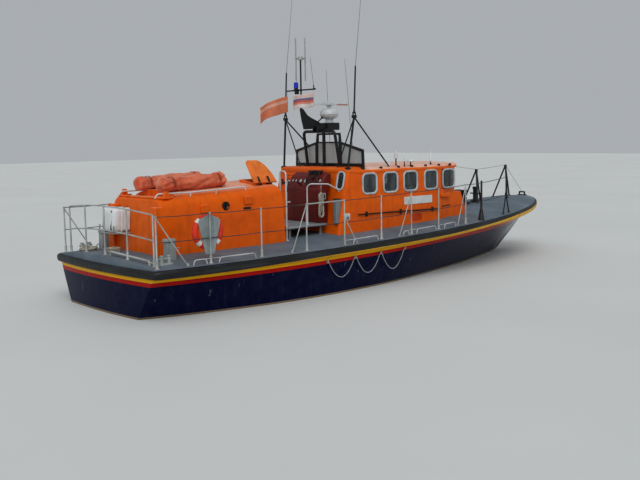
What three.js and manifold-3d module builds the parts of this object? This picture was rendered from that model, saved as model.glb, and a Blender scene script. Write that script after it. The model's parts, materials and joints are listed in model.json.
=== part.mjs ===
import * as THREE from 'three';
import { mergeVertices } from 'three/addons/utils/BufferGeometryUtils.js';
import { ConvexGeometry } from 'three/addons/geometries/ConvexGeometry.js';
import Module from 'manifold-3d';

const wasm = await Module();
wasm.setup();

// A harbour and sea rescue lifeboat, in millimetres.
// +X is forward, +Y is to port, +Z is up. The origin is amidships on the centreline at the waterline.

// Driving dimensions of the hull
const LENGTH = 14300;
const BOW = LENGTH / 2;
const STERN = -LENGTH / 2;
const BEAM_AT_DECK = 4400;
const TRANSOM_BEAM = 3834;
const WIDEST_AT = -628;
const BOW_FULLNESS = 2.686;
const BOW_ROUNDING = 0.75;
const TRANSOM_SWEEP = 130;
const SHEER_LOW = 960;
const SHEER_RISE = 500;
const DECK_CAMBER = 130;
const DRAUGHT = 1270;
const SEAT = 0.3;

// Hull stations from the transom forward
// columns: x, lowest point of the section, half breadth at the waterline, bilge fullness, flare
const STATIONS = [
  [STERN, -400, 1330, 0.34, 1.0],
  [-6500, -480, 1530, 0.35, 1.0],
  [-5500, -600, 1760, 0.36, 1.0],
  [-4300, -730, 1960, 0.38, 1.0],
  [-3000, -820, 2020, 0.40, 1.0],
  [-1700, -880, 1950, 0.43, 1.0],
  [-400, -910, 1780, 0.48, 1.0],
  [800, -910, 1530, 0.55, 1.05],
  [1900, -880, 1260, 0.63, 1.1],
  [2900, -800, 980, 0.72, 1.15],
  [3800, -660, 690, 0.82, 1.2],
  [4600, -460, 410, 0.92, 1.25],
  [5200, -200, 190, 1.0, 1.3],
  [5550, 0, 0, 1.0, 1.3],
  [5900, 240, 0, 1.0, 1.25],
  [6250, 480, 0, 1.0, 1.2],
  [6600, 740, 0, 1.0, 1.15],
  [6900, 980, 0, 1.0, 1.1],
  [7070, 1150, 0, 1.0, 1.05],
  [BOW, 1300, 0, 1.0, 1.0],
];
const BOTTOM_STEPS = 6;
const TOPSIDE_STEPS = 4;
const DECK_STEPS = 10;

// Heights of the sheer, the deck surface and the deck's half breadth
function deckHalf(x) {
  const middle = BEAM_AT_DECK / 2;
  if (x > WIDEST_AT) {
    const t = Math.min(1, (x - WIDEST_AT) / (BOW - WIDEST_AT));
    return middle * (1 - t ** BOW_FULLNESS) ** BOW_ROUNDING;
  }
  const t = (WIDEST_AT - x) / (WIDEST_AT - STERN);
  return middle - (middle - TRANSOM_BEAM / 2) * t * t;
}

function sheer(x) {
  return SHEER_LOW + SHEER_RISE * ((x - STERN) / LENGTH) ** 2;
}

function deckHeight(x, y) {
  const across = y / Math.max(deckHalf(x), 1);
  return sheer(x) + DECK_CAMBER * Math.max(0, 1 - across * across) * Math.min(1, deckHalf(x) / 900);
}

// Solids and how they are joined
function toSolid(geometry) {
  const bare = geometry.clone();
  bare.deleteAttribute('normal');
  bare.deleteAttribute('uv');
  const merged = mergeVertices(bare, 0.001);
  const kept = [];
  const index = merged.index.array;
  for (let i = 0; i < index.length; i += 3) {
    const [a, b, c] = [index[i], index[i + 1], index[i + 2]];
    if (a !== b && b !== c && c !== a) kept.push(a, b, c);
  }
  const vertProperties = Float32Array.from(merged.attributes.position.array);
  return new wasm.Manifold(new wasm.Mesh({ numProp: 3, vertProperties, triVerts: Uint32Array.from(kept) }));
}

function toGeometry(solid) {
  const mesh = solid.getMesh();
  const geometry = new THREE.BufferGeometry();
  geometry.setAttribute('position', new THREE.BufferAttribute(Float32Array.from(mesh.vertProperties), 3));
  geometry.setIndex(new THREE.BufferAttribute(Uint32Array.from(mesh.triVerts), 1));
  geometry.computeVertexNormals();
  return geometry;
}

function join(first, ...others) {
  return others.reduce((whole, part) => whole.add(part), first);
}

function cut(first, ...others) {
  return others.reduce((whole, part) => whole.subtract(part), first);
}

// A block between two corners, given as low and high along each axis
function block([x0, x1], [y0, y1], [z0, z1]) {
  const geometry = new THREE.BoxGeometry(x1 - x0, y1 - y0, z1 - z0);
  geometry.translate((x0 + x1) / 2, (y0 + y1) / 2, (z0 + z1) / 2);
  return toSolid(geometry);
}

// A round bar between two points, of one radius or tapering to another, its facets turned about its axis
function bar(from, to, radius, sides = 8, endRadius = radius, turn = 0) {
  const start = new THREE.Vector3(...from);
  const end = new THREE.Vector3(...to);
  const along = end.clone().sub(start);
  const geometry = new THREE.CylinderGeometry(endRadius, radius, along.length(), sides);
  geometry.rotateY(turn);
  geometry.applyQuaternion(new THREE.Quaternion().setFromUnitVectors(
    new THREE.Vector3(0, 1, 0), along.clone().normalize()));
  geometry.translate(...start.add(end).multiplyScalar(0.5).toArray());
  return toSolid(geometry);
}

// Bars end to end through a list of points, with a small ball at each bend
function railing(points, radius, sides = 6) {
  let whole = null;
  for (let i = 0; i + 1 < points.length; i += 1) {
    const piece = bar(points[i], points[i + 1], radius, sides);
    whole = whole ? whole.add(piece) : piece;
    if (i > 0 && sides > 4) whole = whole.add(ball(points[i], radius * 1.04));
  }
  return whole;
}

function ball(at, radius, width = 6, height = 4) {
  const geometry = new THREE.SphereGeometry(radius, width, height);
  geometry.translate(...at);
  return toSolid(geometry);
}

// A flat outline of (x, z) points carried across from y0 to y1
function sideProfile(points, y0, y1) {
  const shape = new THREE.Shape(points.map(([x, z]) => new THREE.Vector2(x, z)));
  const geometry = new THREE.ExtrudeGeometry(shape, { depth: y1 - y0, bevelEnabled: false });
  geometry.rotateX(Math.PI / 2);
  geometry.translate(0, y1, 0);
  return toSolid(geometry);
}

// A flat outline of (y, z) points carried forward from x0 to x1
function frontProfile(points, x0, x1) {
  const shape = new THREE.Shape(points.map(([y, z]) => new THREE.Vector2(y, z)));
  const geometry = new THREE.ExtrudeGeometry(shape, { depth: x1 - x0, bevelEnabled: false });
  geometry.applyMatrix4(new THREE.Matrix4().makeBasis(
    new THREE.Vector3(0, 1, 0), new THREE.Vector3(0, 0, 1), new THREE.Vector3(1, 0, 0)));
  geometry.translate(x0, 0, 0);
  return toSolid(geometry);
}

// A flat outline of (x, y) points carried up from z0 to z1
function planProfile(points, z0, z1) {
  const shape = new THREE.Shape(points.map(([x, y]) => new THREE.Vector2(x, y)));
  const geometry = new THREE.ExtrudeGeometry(shape, { depth: z1 - z0, bevelEnabled: false });
  geometry.translate(0, 0, z0);
  return toSolid(geometry);
}

function convex(points) {
  return toSolid(new ConvexGeometry(points.map((p) => new THREE.Vector3(...p))));
}

// A skin through closed rings of equal count, given from aft forward, with flat ends
function loft(given) {
  const clockwise = THREE.ShapeUtils.isClockWise(given[0].map(([, y, z]) => new THREE.Vector2(y, z)));
  const rings = clockwise ? given.map((ring) => [...ring].reverse()) : given;
  const count = rings[0].length;
  const positions = rings.flat(2);
  const index = [];
  for (let i = 0; i + 1 < rings.length; i += 1) {
    for (let j = 0; j < count; j += 1) {
      const a = i * count + j;
      const b = i * count + ((j + 1) % count);
      index.push(a, b, b + count, a, b + count, a + count);
    }
  }
  const flat = rings[0].map(([, y, z]) => new THREE.Vector2(y, z));
  const last = (rings.length - 1) * count;
  for (const [a, b, c] of THREE.ShapeUtils.triangulateShape(flat, [])) {
    index.push(c, b, a, last + a, last + b, last + c);
  }
  const geometry = new THREE.BufferGeometry();
  geometry.setAttribute('position', new THREE.Float32BufferAttribute(positions, 3));
  geometry.setIndex(index);
  return toSolid(geometry);
}

// A rounded rectangle's outline about (u, v)
function roundedRect(u, v, width, height, radius, steps = 2) {
  const points = [];
  const corners = [[1, 1, 0], [-1, 1, 90], [-1, -1, 180], [1, -1, 270]];
  for (const [su, sv, start] of corners) {
    for (let i = 0; i <= steps; i += 1) {
      const turn = THREE.MathUtils.degToRad(start + (90 * i) / steps);
      points.push([
        u + su * (width / 2 - radius) + radius * Math.cos(turn),
        v + sv * (height / 2 - radius) + radius * Math.sin(turn),
      ]);
    }
  }
  return points;
}

// The hull: a decked solid with a well for the engines and one for the wheelhouse sole
function halfSection([x, low, waterHalf, fullness, flare]) {
  const points = [];
  const base = Math.max(low, 0);
  for (let i = 0; i < BOTTOM_STEPS; i += 1) {
    const rise = (i / BOTTOM_STEPS) ** 1.6;
    points.push([waterHalf * rise ** fullness, low + (base - low) * rise]);
  }
  for (let i = 0; i <= TOPSIDE_STEPS; i += 1) {
    const rise = i / TOPSIDE_STEPS;
    points.push([
      waterHalf + (deckHalf(x) - waterHalf) * rise ** flare,
      base + (sheer(x) - base) * rise,
    ]);
  }
  return points;
}

function sternSweep(station, y) {
  return station === 0 ? TRANSOM_SWEEP * (y / (TRANSOM_BEAM / 2)) ** 2 : 0;
}

function hullBody() {
  const positions = [];
  const index = [];
  const patch = (rows) => {
    const start = positions.length / 3;
    const wide = rows[0].length;
    positions.push(...rows.flat(2));
    for (let i = 0; i + 1 < rows.length; i += 1) {
      for (let j = 0; j + 1 < wide; j += 1) {
        const a = start + i * wide + j;
        index.push(a, a + wide, a + 1, a + 1, a + wide, a + wide + 1);
      }
    }
  };
  const sections = STATIONS.map(halfSection);
  const skin = sections.map((half, s) => {
    const x = STATIONS[s][0];
    const port = half.map(([y, z]) => [x + sternSweep(s, y), y, z]).reverse();
    const starboard = half.slice(1).map(([y, z]) => [x + sternSweep(s, y), -y, z]);
    return [...port, ...starboard];
  });
  patch(skin);
  const across = Array.from({ length: DECK_STEPS + 1 }, (_, j) => 1 - (2 * j) / DECK_STEPS);
  patch(STATIONS.map(([x], s) => across.map((share) => {
    const y = -deckHalf(x) * share;
    return [x + sternSweep(s, y), y, deckHeight(x, y)];
  })));
  patch([...sections[0]].reverse().map(([half, z], row) => across.map((share) => {
    const y = half * share;
    return [STERN + sternSweep(0, y), y, row === 0 ? deckHeight(STERN, y) : z];
  })));
  const geometry = new THREE.BufferGeometry();
  geometry.setAttribute('position', new THREE.Float32BufferAttribute(positions, 3));
  geometry.setIndex(index);
  return toSolid(geometry);
}

// Running gear under the hull
const SHAFT_Y = 760;
const PROP_X = -6080;
const PROP_Z = -640;
const PROP_RADIUS = 330;
const SHAFT_RISE = Math.tan(THREE.MathUtils.degToRad(6));
const TUNNEL_RADIUS = 400;
const SHAFT_RADIUS = 35;
const STOCK_RADIUS = 32;
const BEARING_SIDES = 12;
const HALF_FACET = Math.PI / BEARING_SIDES;
const RUDDER_X = -6660;
const RUDDER_HEIGHT = [-1130, -470];
const STOCK_TOP = -252;

function shaftPoint(side, x) {
  return [x, side * SHAFT_Y, PROP_Z + (x - PROP_X) * SHAFT_RISE];
}

// A bearing's bore, whose flats clear the corners of the shaft that turns in it
function bearing(from, to, radius) {
  return bar(from, to, (radius + SEAT) / Math.cos(HALF_FACET), BEARING_SIDES);
}

function hull() {
  let body = hullBody();
  const keel = sideProfile([
    [-5600, -900], [-5300, -DRAUGHT], [2400, -DRAUGHT], [4300, -760], [4700, -380], [-5600, -380],
  ], -60, 60);
  const wells = [
    block([-5250, -3380], [-870, 870], [-420, 2000]),
    block([-1450, 2250], [-1000, 1000], [640, 2400]),
  ];
  const tunnels = [-1, 1].map((side) => join(
    bar([STERN - 100, side * SHAFT_Y, PROP_Z + 80], [-5350, side * SHAFT_Y, PROP_Z + 80], TUNNEL_RADIUS, 16),
    bar([-5350, side * SHAFT_Y, PROP_Z + 80], [-4300, side * SHAFT_Y, -980], TUNNEL_RADIUS, 16, 150)));
  const bilgeKeels = [-1, 1].map((side) => sideProfile([
    [-6400, -430], [-6100, -1050], [-1200, -1050], [400, -700], [-300, -430],
  ], side * 1290 - 35, side * 1290 + 35));
  body = cut(join(body, keel), ...tunnels, ...wells);
  body = join(body, ...bilgeKeels);
  const hangers = [];
  for (const side of [-1, 1]) {
    const bossAt = PROP_X + 250;
    const [, y, z] = shaftPoint(side, bossAt);
    hangers.push(sideProfile([[bossAt - 70, z], [bossAt + 70, z], [bossAt + 90, -120], [bossAt - 50, -120]],
      y - 18, y + 18));
    hangers.push(bar(shaftPoint(side, bossAt - 90), shaftPoint(side, bossAt + 90), 75, 12));
    hangers.push(block([RUDDER_X - 90, RUDDER_X + 90], [y - 70, y + 70], [-440, -120]));
  }
  body = join(body, ...hangers);
  const bores = [-1, 1].flatMap((side) => [
    bearing(shaftPoint(side, PROP_X), shaftPoint(side, -4600), SHAFT_RADIUS),
    bearing([RUDDER_X, side * SHAFT_Y, -460], [RUDDER_X, side * SHAFT_Y, -250], STOCK_RADIUS),
  ]);
  return cut(body, ...bores);
}

// Lines for people in the water to hold, hung in loops through eyes on the topsides
const LINE = { radius: 10, steps: 60, sides: 8 };
// columns: x, distance from the centreline, z
const GRAB_LINE = [
  [-3080, 2155, 740], [-3040, 2155, 710], [-3000, 2156, 640], [-2940, 2156, 550], [-2860, 2157, 455],
  [-2770, 2158, 395], [-2680, 2158, 375], [-2590, 2159, 400], [-2500, 2160, 465], [-2420, 2161, 560],
  [-2360, 2161, 650], [-2320, 2162, 725], [-2280, 2162, 755], [-2240, 2162, 725], [-2200, 2161, 650],
  [-2140, 2160, 560], [-2065, 2160, 465], [-1975, 2159, 400], [-1885, 2158, 380], [-1795, 2156, 405],
  [-1705, 2155, 470], [-1630, 2155, 565], [-1570, 2154, 660], [-1530, 2153, 735], [-1490, 2153, 765],
  [-1450, 2151, 730], [-1410, 2150, 655], [-1350, 2148, 560], [-1265, 2144, 460], [-1175, 2141, 395],
  [-1085, 2138, 375], [-995, 2134, 400], [-905, 2131, 475], [-820, 2127, 580], [-760, 2125, 680],
  [-720, 2124, 755], [-680, 2122, 795],
];
const POINTS_PER_LOOP = 12;
const EYE = { thick: 12, below: 36, above: 40, inward: 60, outward: 32, hole: 17, holeRise: 6.5 };

function grabEye([x, y, z], side) {
  const sides = [side * (y - EYE.inward), side * (y + EYE.outward)].sort((a, b) => a - b);
  const plate = block([x - EYE.thick / 2, x + EYE.thick / 2], sides, [z - EYE.below, z + EYE.above]);
  const hole = bar([x - EYE.thick, side * y, z + EYE.holeRise], [x + EYE.thick, side * y, z + EYE.holeRise],
    EYE.hole, 12);
  return cut(plate, hole);
}

function grabEyes(side) {
  return GRAB_LINE.filter((_, i) => i % POINTS_PER_LOOP === 0).map((point) => grabEye(point, side));
}

// A rope as a round section carried along one smooth curve
function rope(points, radius, steps) {
  const route = new THREE.CatmullRomCurve3(points.map((p) => new THREE.Vector3(...p)));
  const section = new THREE.Shape(Array.from({ length: LINE.sides }, (_, k) => {
    const turn = (k / LINE.sides) * Math.PI * 2;
    return new THREE.Vector2(radius * Math.cos(turn), radius * Math.sin(turn));
  }));
  return outward(new THREE.ExtrudeGeometry(section, { steps, extrudePath: route, bevelEnabled: false }));
}

function grabLine(side) {
  const line = rope(GRAB_LINE.map(([x, y, z]) => [x, side * y, z]), LINE.radius, LINE.steps);
  const lifted = grabEyes(side).map((eye) => eye.translate([0, 0, SEAT]));
  return cut(line, ...lifted);
}

const hullSolid = join(hull(), ...grabEyes(-1), ...grabEyes(1));
const hullLifted = hullSolid.translate([0, 0, SEAT]);
const onDeck = (solid) => cut(solid, hullLifted);

// The rubber belting that runs round the deck edge
const BELT = { reach: 62, depth: 150, drop: 165, lip: 12, chamfer: 30, heel: 14, sunk: 40, sunkAft: 60 };

function beltRing(scale, lift) {
  const port = [];
  const xs = [STERN, -6500, -5500, -4300, -3000, -1700, -400, 800, 1900, 2900, 3800, 4600, 5200, 5550,
    5900, 6250, 6600, 6900, 7070, 7130];
  for (const x of xs) {
    const y = Math.max(deckHalf(x), 1);
    const slope = (deckHalf(x + 1) - deckHalf(x - 1)) / 2;
    const tip = x > BOW - 30 ? 1 : 0;
    const ahead = tip ? 1 : -slope / Math.hypot(slope, 1);
    const out = tip ? 0.35 : 1 / Math.hypot(slope, 1);
    port.push([x + sternSweep(x === STERN ? 0 : 1, y) + ahead * scale, y + out * scale, sheer(x) + lift]);
  }
  return port;
}

function belting() {
  const knuckle = -BELT.lip - BELT.depth + BELT.chamfer;
  const section = [[BELT.reach, -BELT.lip], [BELT.reach, knuckle], [SEAT + BELT.heel, -BELT.drop],
    [-BELT.sunk, -BELT.drop], [-BELT.sunk, -BELT.lip]];
  const rings = [];
  const count = section.length;
  const ports = section.map(([scale, lift]) => beltRing(scale, lift));
  const stations = ports[0].length;
  for (let i = 0; i < stations; i += 1) rings.push(ports.map((line) => line[i]));
  for (let i = stations - 1; i >= 0; i -= 1) {
    rings.push(ports.map((line) => [line[i][0], -line[i][1], line[i][2]]));
  }
  const positions = rings.flat(2);
  const index = [];
  for (let i = 0; i + 1 < rings.length; i += 1) {
    for (let j = 0; j < count; j += 1) {
      const a = i * count + j;
      const b = i * count + ((j + 1) % count);
      index.push(a, a + count, b, b, a + count, b + count);
    }
  }
  const last = (rings.length - 1) * count;
  for (let j = 1; j + 1 < count; j += 1) {
    index.push(0, j, j + 1, last, last + j + 1, last + j);
  }
  const geometry = new THREE.BufferGeometry();
  geometry.setAttribute('position', new THREE.Float32BufferAttribute(positions, 3));
  geometry.setIndex(index);
  let ring = toSolid(geometry);
  if (ring.volume() < 0) {
    const turned = [];
    for (let i = 0; i < index.length; i += 3) turned.push(index[i], index[i + 2], index[i + 1]);
    geometry.setIndex(turned);
    ring = toSolid(geometry);
  }
  const stern = [];
  for (let j = 0; j <= DECK_STEPS; j += 1) {
    const y = (TRANSOM_BEAM / 2 + BELT.sunk) * (1 - (2 * j) / DECK_STEPS);
    const x = STERN + TRANSOM_SWEEP * (y / (TRANSOM_BEAM / 2)) ** 2;
    const around = [[-BELT.reach, -BELT.lip], [-BELT.reach, knuckle], [-BELT.heel, -BELT.drop],
      [BELT.sunkAft, -BELT.drop], [BELT.sunkAft, -BELT.lip]];
    stern.push(around.map(([ahead, rise]) => [x + ahead, y, SHEER_LOW + rise]));
  }
  for (let j = 0; j + 1 < stern.length; j += 1) ring = ring.add(convex([...stern[j], ...stern[j + 1]]));
  const grown = join(hullSolid, hullSolid.translate([0, 0, -SEAT]), hullSolid.translate([0, 0, SEAT]),
    hullSolid.translate([0, SEAT * 2, 0]), hullSolid.translate([0, -SEAT * 2, 0]),
    hullSolid.translate([-SEAT * 2, 0, 0]), hullSolid.translate([SEAT * 2, 0, 0]));
  return cut(ring, grown);
}

function engine(side) {
  return block([-5000, -3560], [side * 500 - 350, side * 500 + 350], [-420 + SEAT, 420]);
}

// Propellers, shafts and rudders
function propeller(side) {
  const hub = bar(shaftPoint(side, PROP_X - 140), shaftPoint(side, PROP_X + 120), 62, 12, 75);
  const shaft = bar(shaftPoint(side, PROP_X + 100), shaftPoint(side, -4660), SHAFT_RADIUS, BEARING_SIDES,
    SHAFT_RADIUS, HALF_FACET);
  const blades = [];
  const blade = new THREE.Shape();
  blade.moveTo(-60, 40);
  blade.quadraticCurveTo(-190, 190, -110, 290);
  blade.quadraticCurveTo(0, PROP_RADIUS + 20, 110, 290);
  blade.quadraticCurveTo(190, 190, 60, 40);
  for (let i = 0; i < 4; i += 1) {
    const geometry = new THREE.ExtrudeGeometry(blade, { depth: 14, bevelEnabled: false, curveSegments: 5 });
    geometry.translate(0, 0, -7);
    geometry.rotateY(Math.PI / 2 + side * THREE.MathUtils.degToRad(28));
    geometry.rotateX((i * Math.PI) / 2);
    geometry.rotateY(-Math.atan(SHAFT_RISE));
    geometry.translate(...shaftPoint(side, PROP_X));
    blades.push(toSolid(geometry));
  }
  return join(hub, shaft, ...blades);
}

function rudder(side) {
  const y = side * SHAFT_Y;
  const [low, high] = RUDDER_HEIGHT;
  const blade = new THREE.Shape();
  blade.moveTo(150, 0);
  blade.quadraticCurveTo(120, 34, 0, 30);
  blade.lineTo(-350, 8);
  blade.lineTo(-350, -8);
  blade.lineTo(0, -30);
  blade.quadraticCurveTo(120, -34, 150, 0);
  const depth = high - low;
  const geometry = new THREE.ExtrudeGeometry(blade, { depth, bevelEnabled: false, curveSegments: 4 });
  geometry.translate(RUDDER_X, y, low);
  const stock = bar([RUDDER_X, y, high - 40], [RUDDER_X, y, STOCK_TOP], STOCK_RADIUS, BEARING_SIDES,
    STOCK_RADIUS, HALF_FACET);
  return join(toSolid(geometry), stock);
}

// The aft cabin over the engines
const CABIN = {
  aft: -6360, forward: -3230, halfForward: 1090, halfAft: 940, wall: 50,
  shoulderForward: 2230, shoulderAft: 2110, roofRise: 170, tumble: 45, lean: 130, foot: 700,
};
const HATCH = {
  aft: -3880, forward: -3330, hingeY: -745, width: 560, hingeGap: 36, open: 57, shut: 8.5,
  hinges: [-3740, -3480], pin: 14, thick: [17, 57],
};
const ROOF_STEP = { forward: -5860, z: 2165 };
const TALL = 2700;
const WIDE = 2500;

function cabinRing(x, inset) {
  const share = (x - CABIN.aft) / (CABIN.forward - CABIN.aft);
  const half = CABIN.halfAft + (CABIN.halfForward - CABIN.halfAft) * share - inset;
  const shoulder = CABIN.shoulderAft + (CABIN.shoulderForward - CABIN.shoulderAft) * share - inset;
  const top = shoulder + CABIN.roofRise;
  const side = [
    [half, CABIN.foot], [half - CABIN.tumble, shoulder - 150], [half - CABIN.tumble - 22, shoulder - 62],
    [half - CABIN.tumble - 75, shoulder], [half - CABIN.tumble - 240, shoulder + 80],
    [half * 0.45, top - 30], [0, top],
  ];
  const starboard = side.slice(0, -1).map(([y, z]) => [x, -y, z]);
  const port = side.map(([y, z]) => [x, y, z]).reverse();
  return [...starboard, ...port];
}

function leaningEnds(solid, aft, forward, lean) {
  const low = CABIN.foot - 1;
  const behind = [[aft - 900, low], [aft, low], [aft + lean, TALL], [aft - 900, TALL]];
  const ahead = [[forward + 900, low], [forward + 900, TALL], [forward - lean, TALL], [forward, low]];
  return cut(solid, sideProfile(behind, -WIDE, WIDE), sideProfile(ahead, -WIDE, WIDE));
}

function aftCabin() {
  const stations = [CABIN.aft - 50, CABIN.aft + 800, CABIN.forward - 900, CABIN.forward + 50];
  const shell = (inset) => leaningEnds(loft(stations.map((x) => cabinRing(x, inset))),
    CABIN.aft + inset, CABIN.forward - inset, CABIN.lean);
  const stepped = (inset) => cut(shell(inset), block([CABIN.aft - 200, ROOF_STEP.forward + inset],
    [-1300, 1300], [ROOF_STEP.z - inset, TALL]));
  const outer = stepped(0);
  const inner = stepped(CABIN.wall);
  const [, hingeY, hingeZ] = hatchPivot();
  const [near, far] = [hingeY + 25, hingeY + HATCH.width - 40];
  const underLid = (y) => hingeZ + 10 + (y - hingeY) * Math.tan(THREE.MathUtils.degToRad(HATCH.shut));
  const coaming = frontProfile([[near, 2200], [far, 2200], [far, underLid(far)], [near, underLid(near)]],
    HATCH.aft + 25, HATCH.forward - 15);
  const mouth = block([HATCH.aft + 55, HATCH.forward - 45], [near + 30, far - 30], [1900, TALL]);
  const knuckles = HATCH.hinges.map((x) => join(
    bar([x + 40.4, hingeY, hingeZ], [x + 80, hingeY, hingeZ], HATCH.pin, 8),
    block([x + 42, x + 78], [hingeY - 12, hingeY + 12], [2280, hingeZ])));
  return onDeck(join(cut(join(outer, cut(coaming, shell(CABIN.wall))), inner, mouth), ...knuckles));
}

function roofAt(x, y) {
  const ring = cabinRing(x, 0);
  const port = ring.filter(([, py]) => py >= 0).sort((a, b) => a[1] - b[1]);
  const wide = Math.abs(y);
  for (let i = 0; i + 1 < port.length; i += 1) {
    const [, y0, z0] = port[i];
    const [, y1, z1] = port[i + 1];
    if (wide >= y0 && wide <= y1 && y1 > y0) return z0 + ((wide - y0) / (y1 - y0)) * (z1 - z0);
  }
  return ring[0][2];
}

// The hatch lid on the cabin roof, standing open on its starboard hinges
function hatchPivot() {
  return [0, HATCH.hingeY, roofAt((HATCH.aft + HATCH.forward) / 2, HATCH.hingeY) + HATCH.hingeGap];
}

function hatchLid() {
  const [, hingeY, hingeZ] = hatchPivot();
  const outline = [
    [HATCH.aft, 0], [HATCH.forward + 60, 0], [HATCH.forward + 30, 180], [HATCH.forward - 60, 400],
    [HATCH.forward - 120, HATCH.width], [HATCH.aft, HATCH.width],
  ];
  const lid = planProfile(outline, ...HATCH.thick);
  const knuckles = HATCH.hinges.map((x) => join(
    bar([x - 40, 0, 0], [x + 40, 0, 0], HATCH.pin, 8), block([x - 35, x + 35], [-10, 18], [0, 25])));
  return join(lid, ...knuckles).rotate([HATCH.open, 0, 0]).translate([0, hingeY, hingeZ]);
}

function roofRail(side) {
  const points = [
    [-6250, 700], [-5900, 760], [-5500, 800], [-4900, 830], [-4300, 850], [-4180, 860],
  ].map(([x, y], i, all) => {
    const rise = i === 0 || i === all.length - 1 ? 15 : 75;
    const base = x < ROOF_STEP.forward ? ROOF_STEP.z : roofAt(x, y);
    return [x, side * y, base + rise];
  });
  let rail = railing(points, 15, 4);
  for (const [x, y, z] of points.slice(1, -1)) rail = rail.add(bar([x, y, z], [x, y, z - 110], 11, 4));
  return cut(rail, cabinLifted);
}

const cabinSolid = aftCabin();
const cabinLifted = cabinSolid.translate([0, 0, SEAT]);

// Rolled inflatable sections in their bags on the cabin roof
function boatRoll(side) {
  const rings = [];
  const stations = [[-6020, 60], [-5900, 120], [-5400, 150], [-4900, 155], [-4500, 135], [-4420, 60]];
  for (const [x, size] of stations) {
    const centre = [side * 430, roofAt(x, 430) + 150];
    rings.push(Array.from({ length: 10 }, (_, k) => {
      const turn = (k / 10) * Math.PI * 2;
      return [x, centre[0] + size * 1.25 * Math.cos(turn), centre[1] + size * Math.sin(turn)];
    }));
  }
  return cut(loft(rings), cabinLifted);
}

function liferaftCase() {
  const face = (z) => CABIN.aft + (CABIN.lean * (z - CABIN.foot)) / (TALL - CABIN.foot);
  const corner = (depth, y, z) => [face(z) - depth, y, z];
  const outer = [[180, 1480], [700, 1480], [180, 1960], [700, 1960]];
  const proud = [[240, 1540], [640, 1540], [240, 1900], [640, 1900]];
  return convex([
    ...outer.map(([y, z]) => corner(SEAT, y, z)),
    ...outer.map(([y, z]) => corner(330, y, z)),
    ...proud.map(([y, z]) => corner(380, y, z)),
  ]);
}

// Ventilators on the deck beside the aft cabin, as tapered boxes
// columns: z, aft, forward, inboard, outboard
const VENT_LEVELS = [[900, -6420, -6200, 1180, 1350], [1440, -6410, -6215, 1185, 1330]];

function deckVent(side) {
  return onDeck(convex(VENT_LEVELS.flatMap(([z, aft, forward, inboard, outboard]) => [
    [aft, side * inboard, z], [forward, side * inboard, z],
    [aft, side * outboard, z], [forward, side * outboard, z],
  ])));
}

// The step platform and the helm in the midship well
const PLATFORM = { aft: -3080, forward: -1925, half: 900, under: 1330, top: 1380, footRadius: 30 };
const BELOW_DECK = 1000;

function stepPlatform() {
  const feet = [[-2950, -800], [-2050, -800], [-2950, 800], [-2050, 800]].map(([x, y]) => (
    bar([x, y, BELOW_DECK], [x, y, PLATFORM.under + 15], PLATFORM.footRadius, 8)));
  const slab = block([PLATFORM.aft, PLATFORM.forward], [-PLATFORM.half, PLATFORM.half],
    [PLATFORM.under, PLATFORM.top]);
  return onDeck(join(slab, ...feet));
}

// A grab hoop on the deck before the aft cabin, with a cleat on its outer leg
const HOOP = { x: -3200, outer: 1000, inner: 800, top: 2590, bend: 65, radius: 17, cleat: 1930 };

function cabinHoop() {
  const { x, outer, inner, top, radius } = HOOP;
  const bend = top - HOOP.bend;
  const tube = railing([[x, -outer, BELOW_DECK], [x, -outer, bend], [x, -outer + HOOP.bend, top],
    [x, -inner - HOOP.bend, top], [x, -inner, bend], [x, -inner, BELOW_DECK]], radius, 6);
  const feet = [outer, inner].map((y) => bar([x, -y, BELOW_DECK], [x, -y, deckHeight(x, y) + 14], 48, 8));
  return onDeck(join(tube, ...feet, bar([x, -outer, HOOP.cleat], [x + 100, -outer, HOOP.cleat], 12, 6)));
}

const HELM = { x: -1965, y: -470, z: 2390, radius: 190, tilt: 55 };
const HOUSE = {
  aftBase: -1870, aftTop: -1560, forward: 2380, trunk: 2690, half: 1235, halfTop: 1205, quarterX: 1620,
  frontHalf: 1075, wall: 45, base: 850, eaves: 2500, ledge: 1890,
};

function helmFrame(solid) {
  return solid.rotate([0, -HELM.tilt, 0]).translate([HELM.x, HELM.y, HELM.z]);
}

function helmWheel() {
  const rim = new THREE.TorusGeometry(HELM.radius, 13, 6, 20);
  const spokes = [0, 60, 120].map((turn) => {
    const a = THREE.MathUtils.degToRad(turn);
    const [u, v] = [Math.cos(a) * HELM.radius, Math.sin(a) * HELM.radius];
    return bar([-u, -v, 0], [u, v, 0], 9, 6);
  });
  return helmFrame(join(toSolid(rim), ...spokes,
    bar([0, 0, -30], [0, 0, 25], 34, 12), bar([0, 0, -120], [0, 0, -28], 16, 12)));
}

function helmConsole() {
  const body = sideProfile([
    [-2060, PLATFORM.top + SEAT], [-1800, PLATFORM.top + SEAT], [-1800, 2000], [-1700, 2330], [-1700, 2480],
    [-1760, 2500], [-1900, 2420], [-2060, 2130],
  ], -800, 330);
  const socket = helmFrame(bar([0, 0, -130], [0, 0, 60], 17, 12));
  return cut(body, socket, houseShell(0).translate([-SEAT, 0, 0]));
}

// The handrail beside the helm, from the wheelhouse's aft face to a foot on the step platform
const HELM_RAIL = { radius: 16, outer: 1000, inner: 860, footX: -2480, footRadius: 40 };

function helmRail() {
  const { radius, outer, inner, footX, footRadius } = HELM_RAIL;
  const platform = PLATFORM.top + SEAT;
  const tube = railing([[-1600, -outer, 2090], [-1660, -outer, 2118], [-1977, -outer, 2263],
    [-2400, -outer, 2285], [footX + 18, -outer + 55, 2283], [footX, -inner, 2225], [footX, -inner, platform]],
  radius, 6);
  const foot = bar([footX, -inner, platform], [footX, -inner, platform + 12], footRadius, 8);
  const flange = bar([-1660, -outer, 2118], [-1630, -outer, 2104], footRadius, 8);
  return cut(join(tube, foot, flange), houseShell(0).translate([-SEAT, 0, 0]));
}

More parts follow.
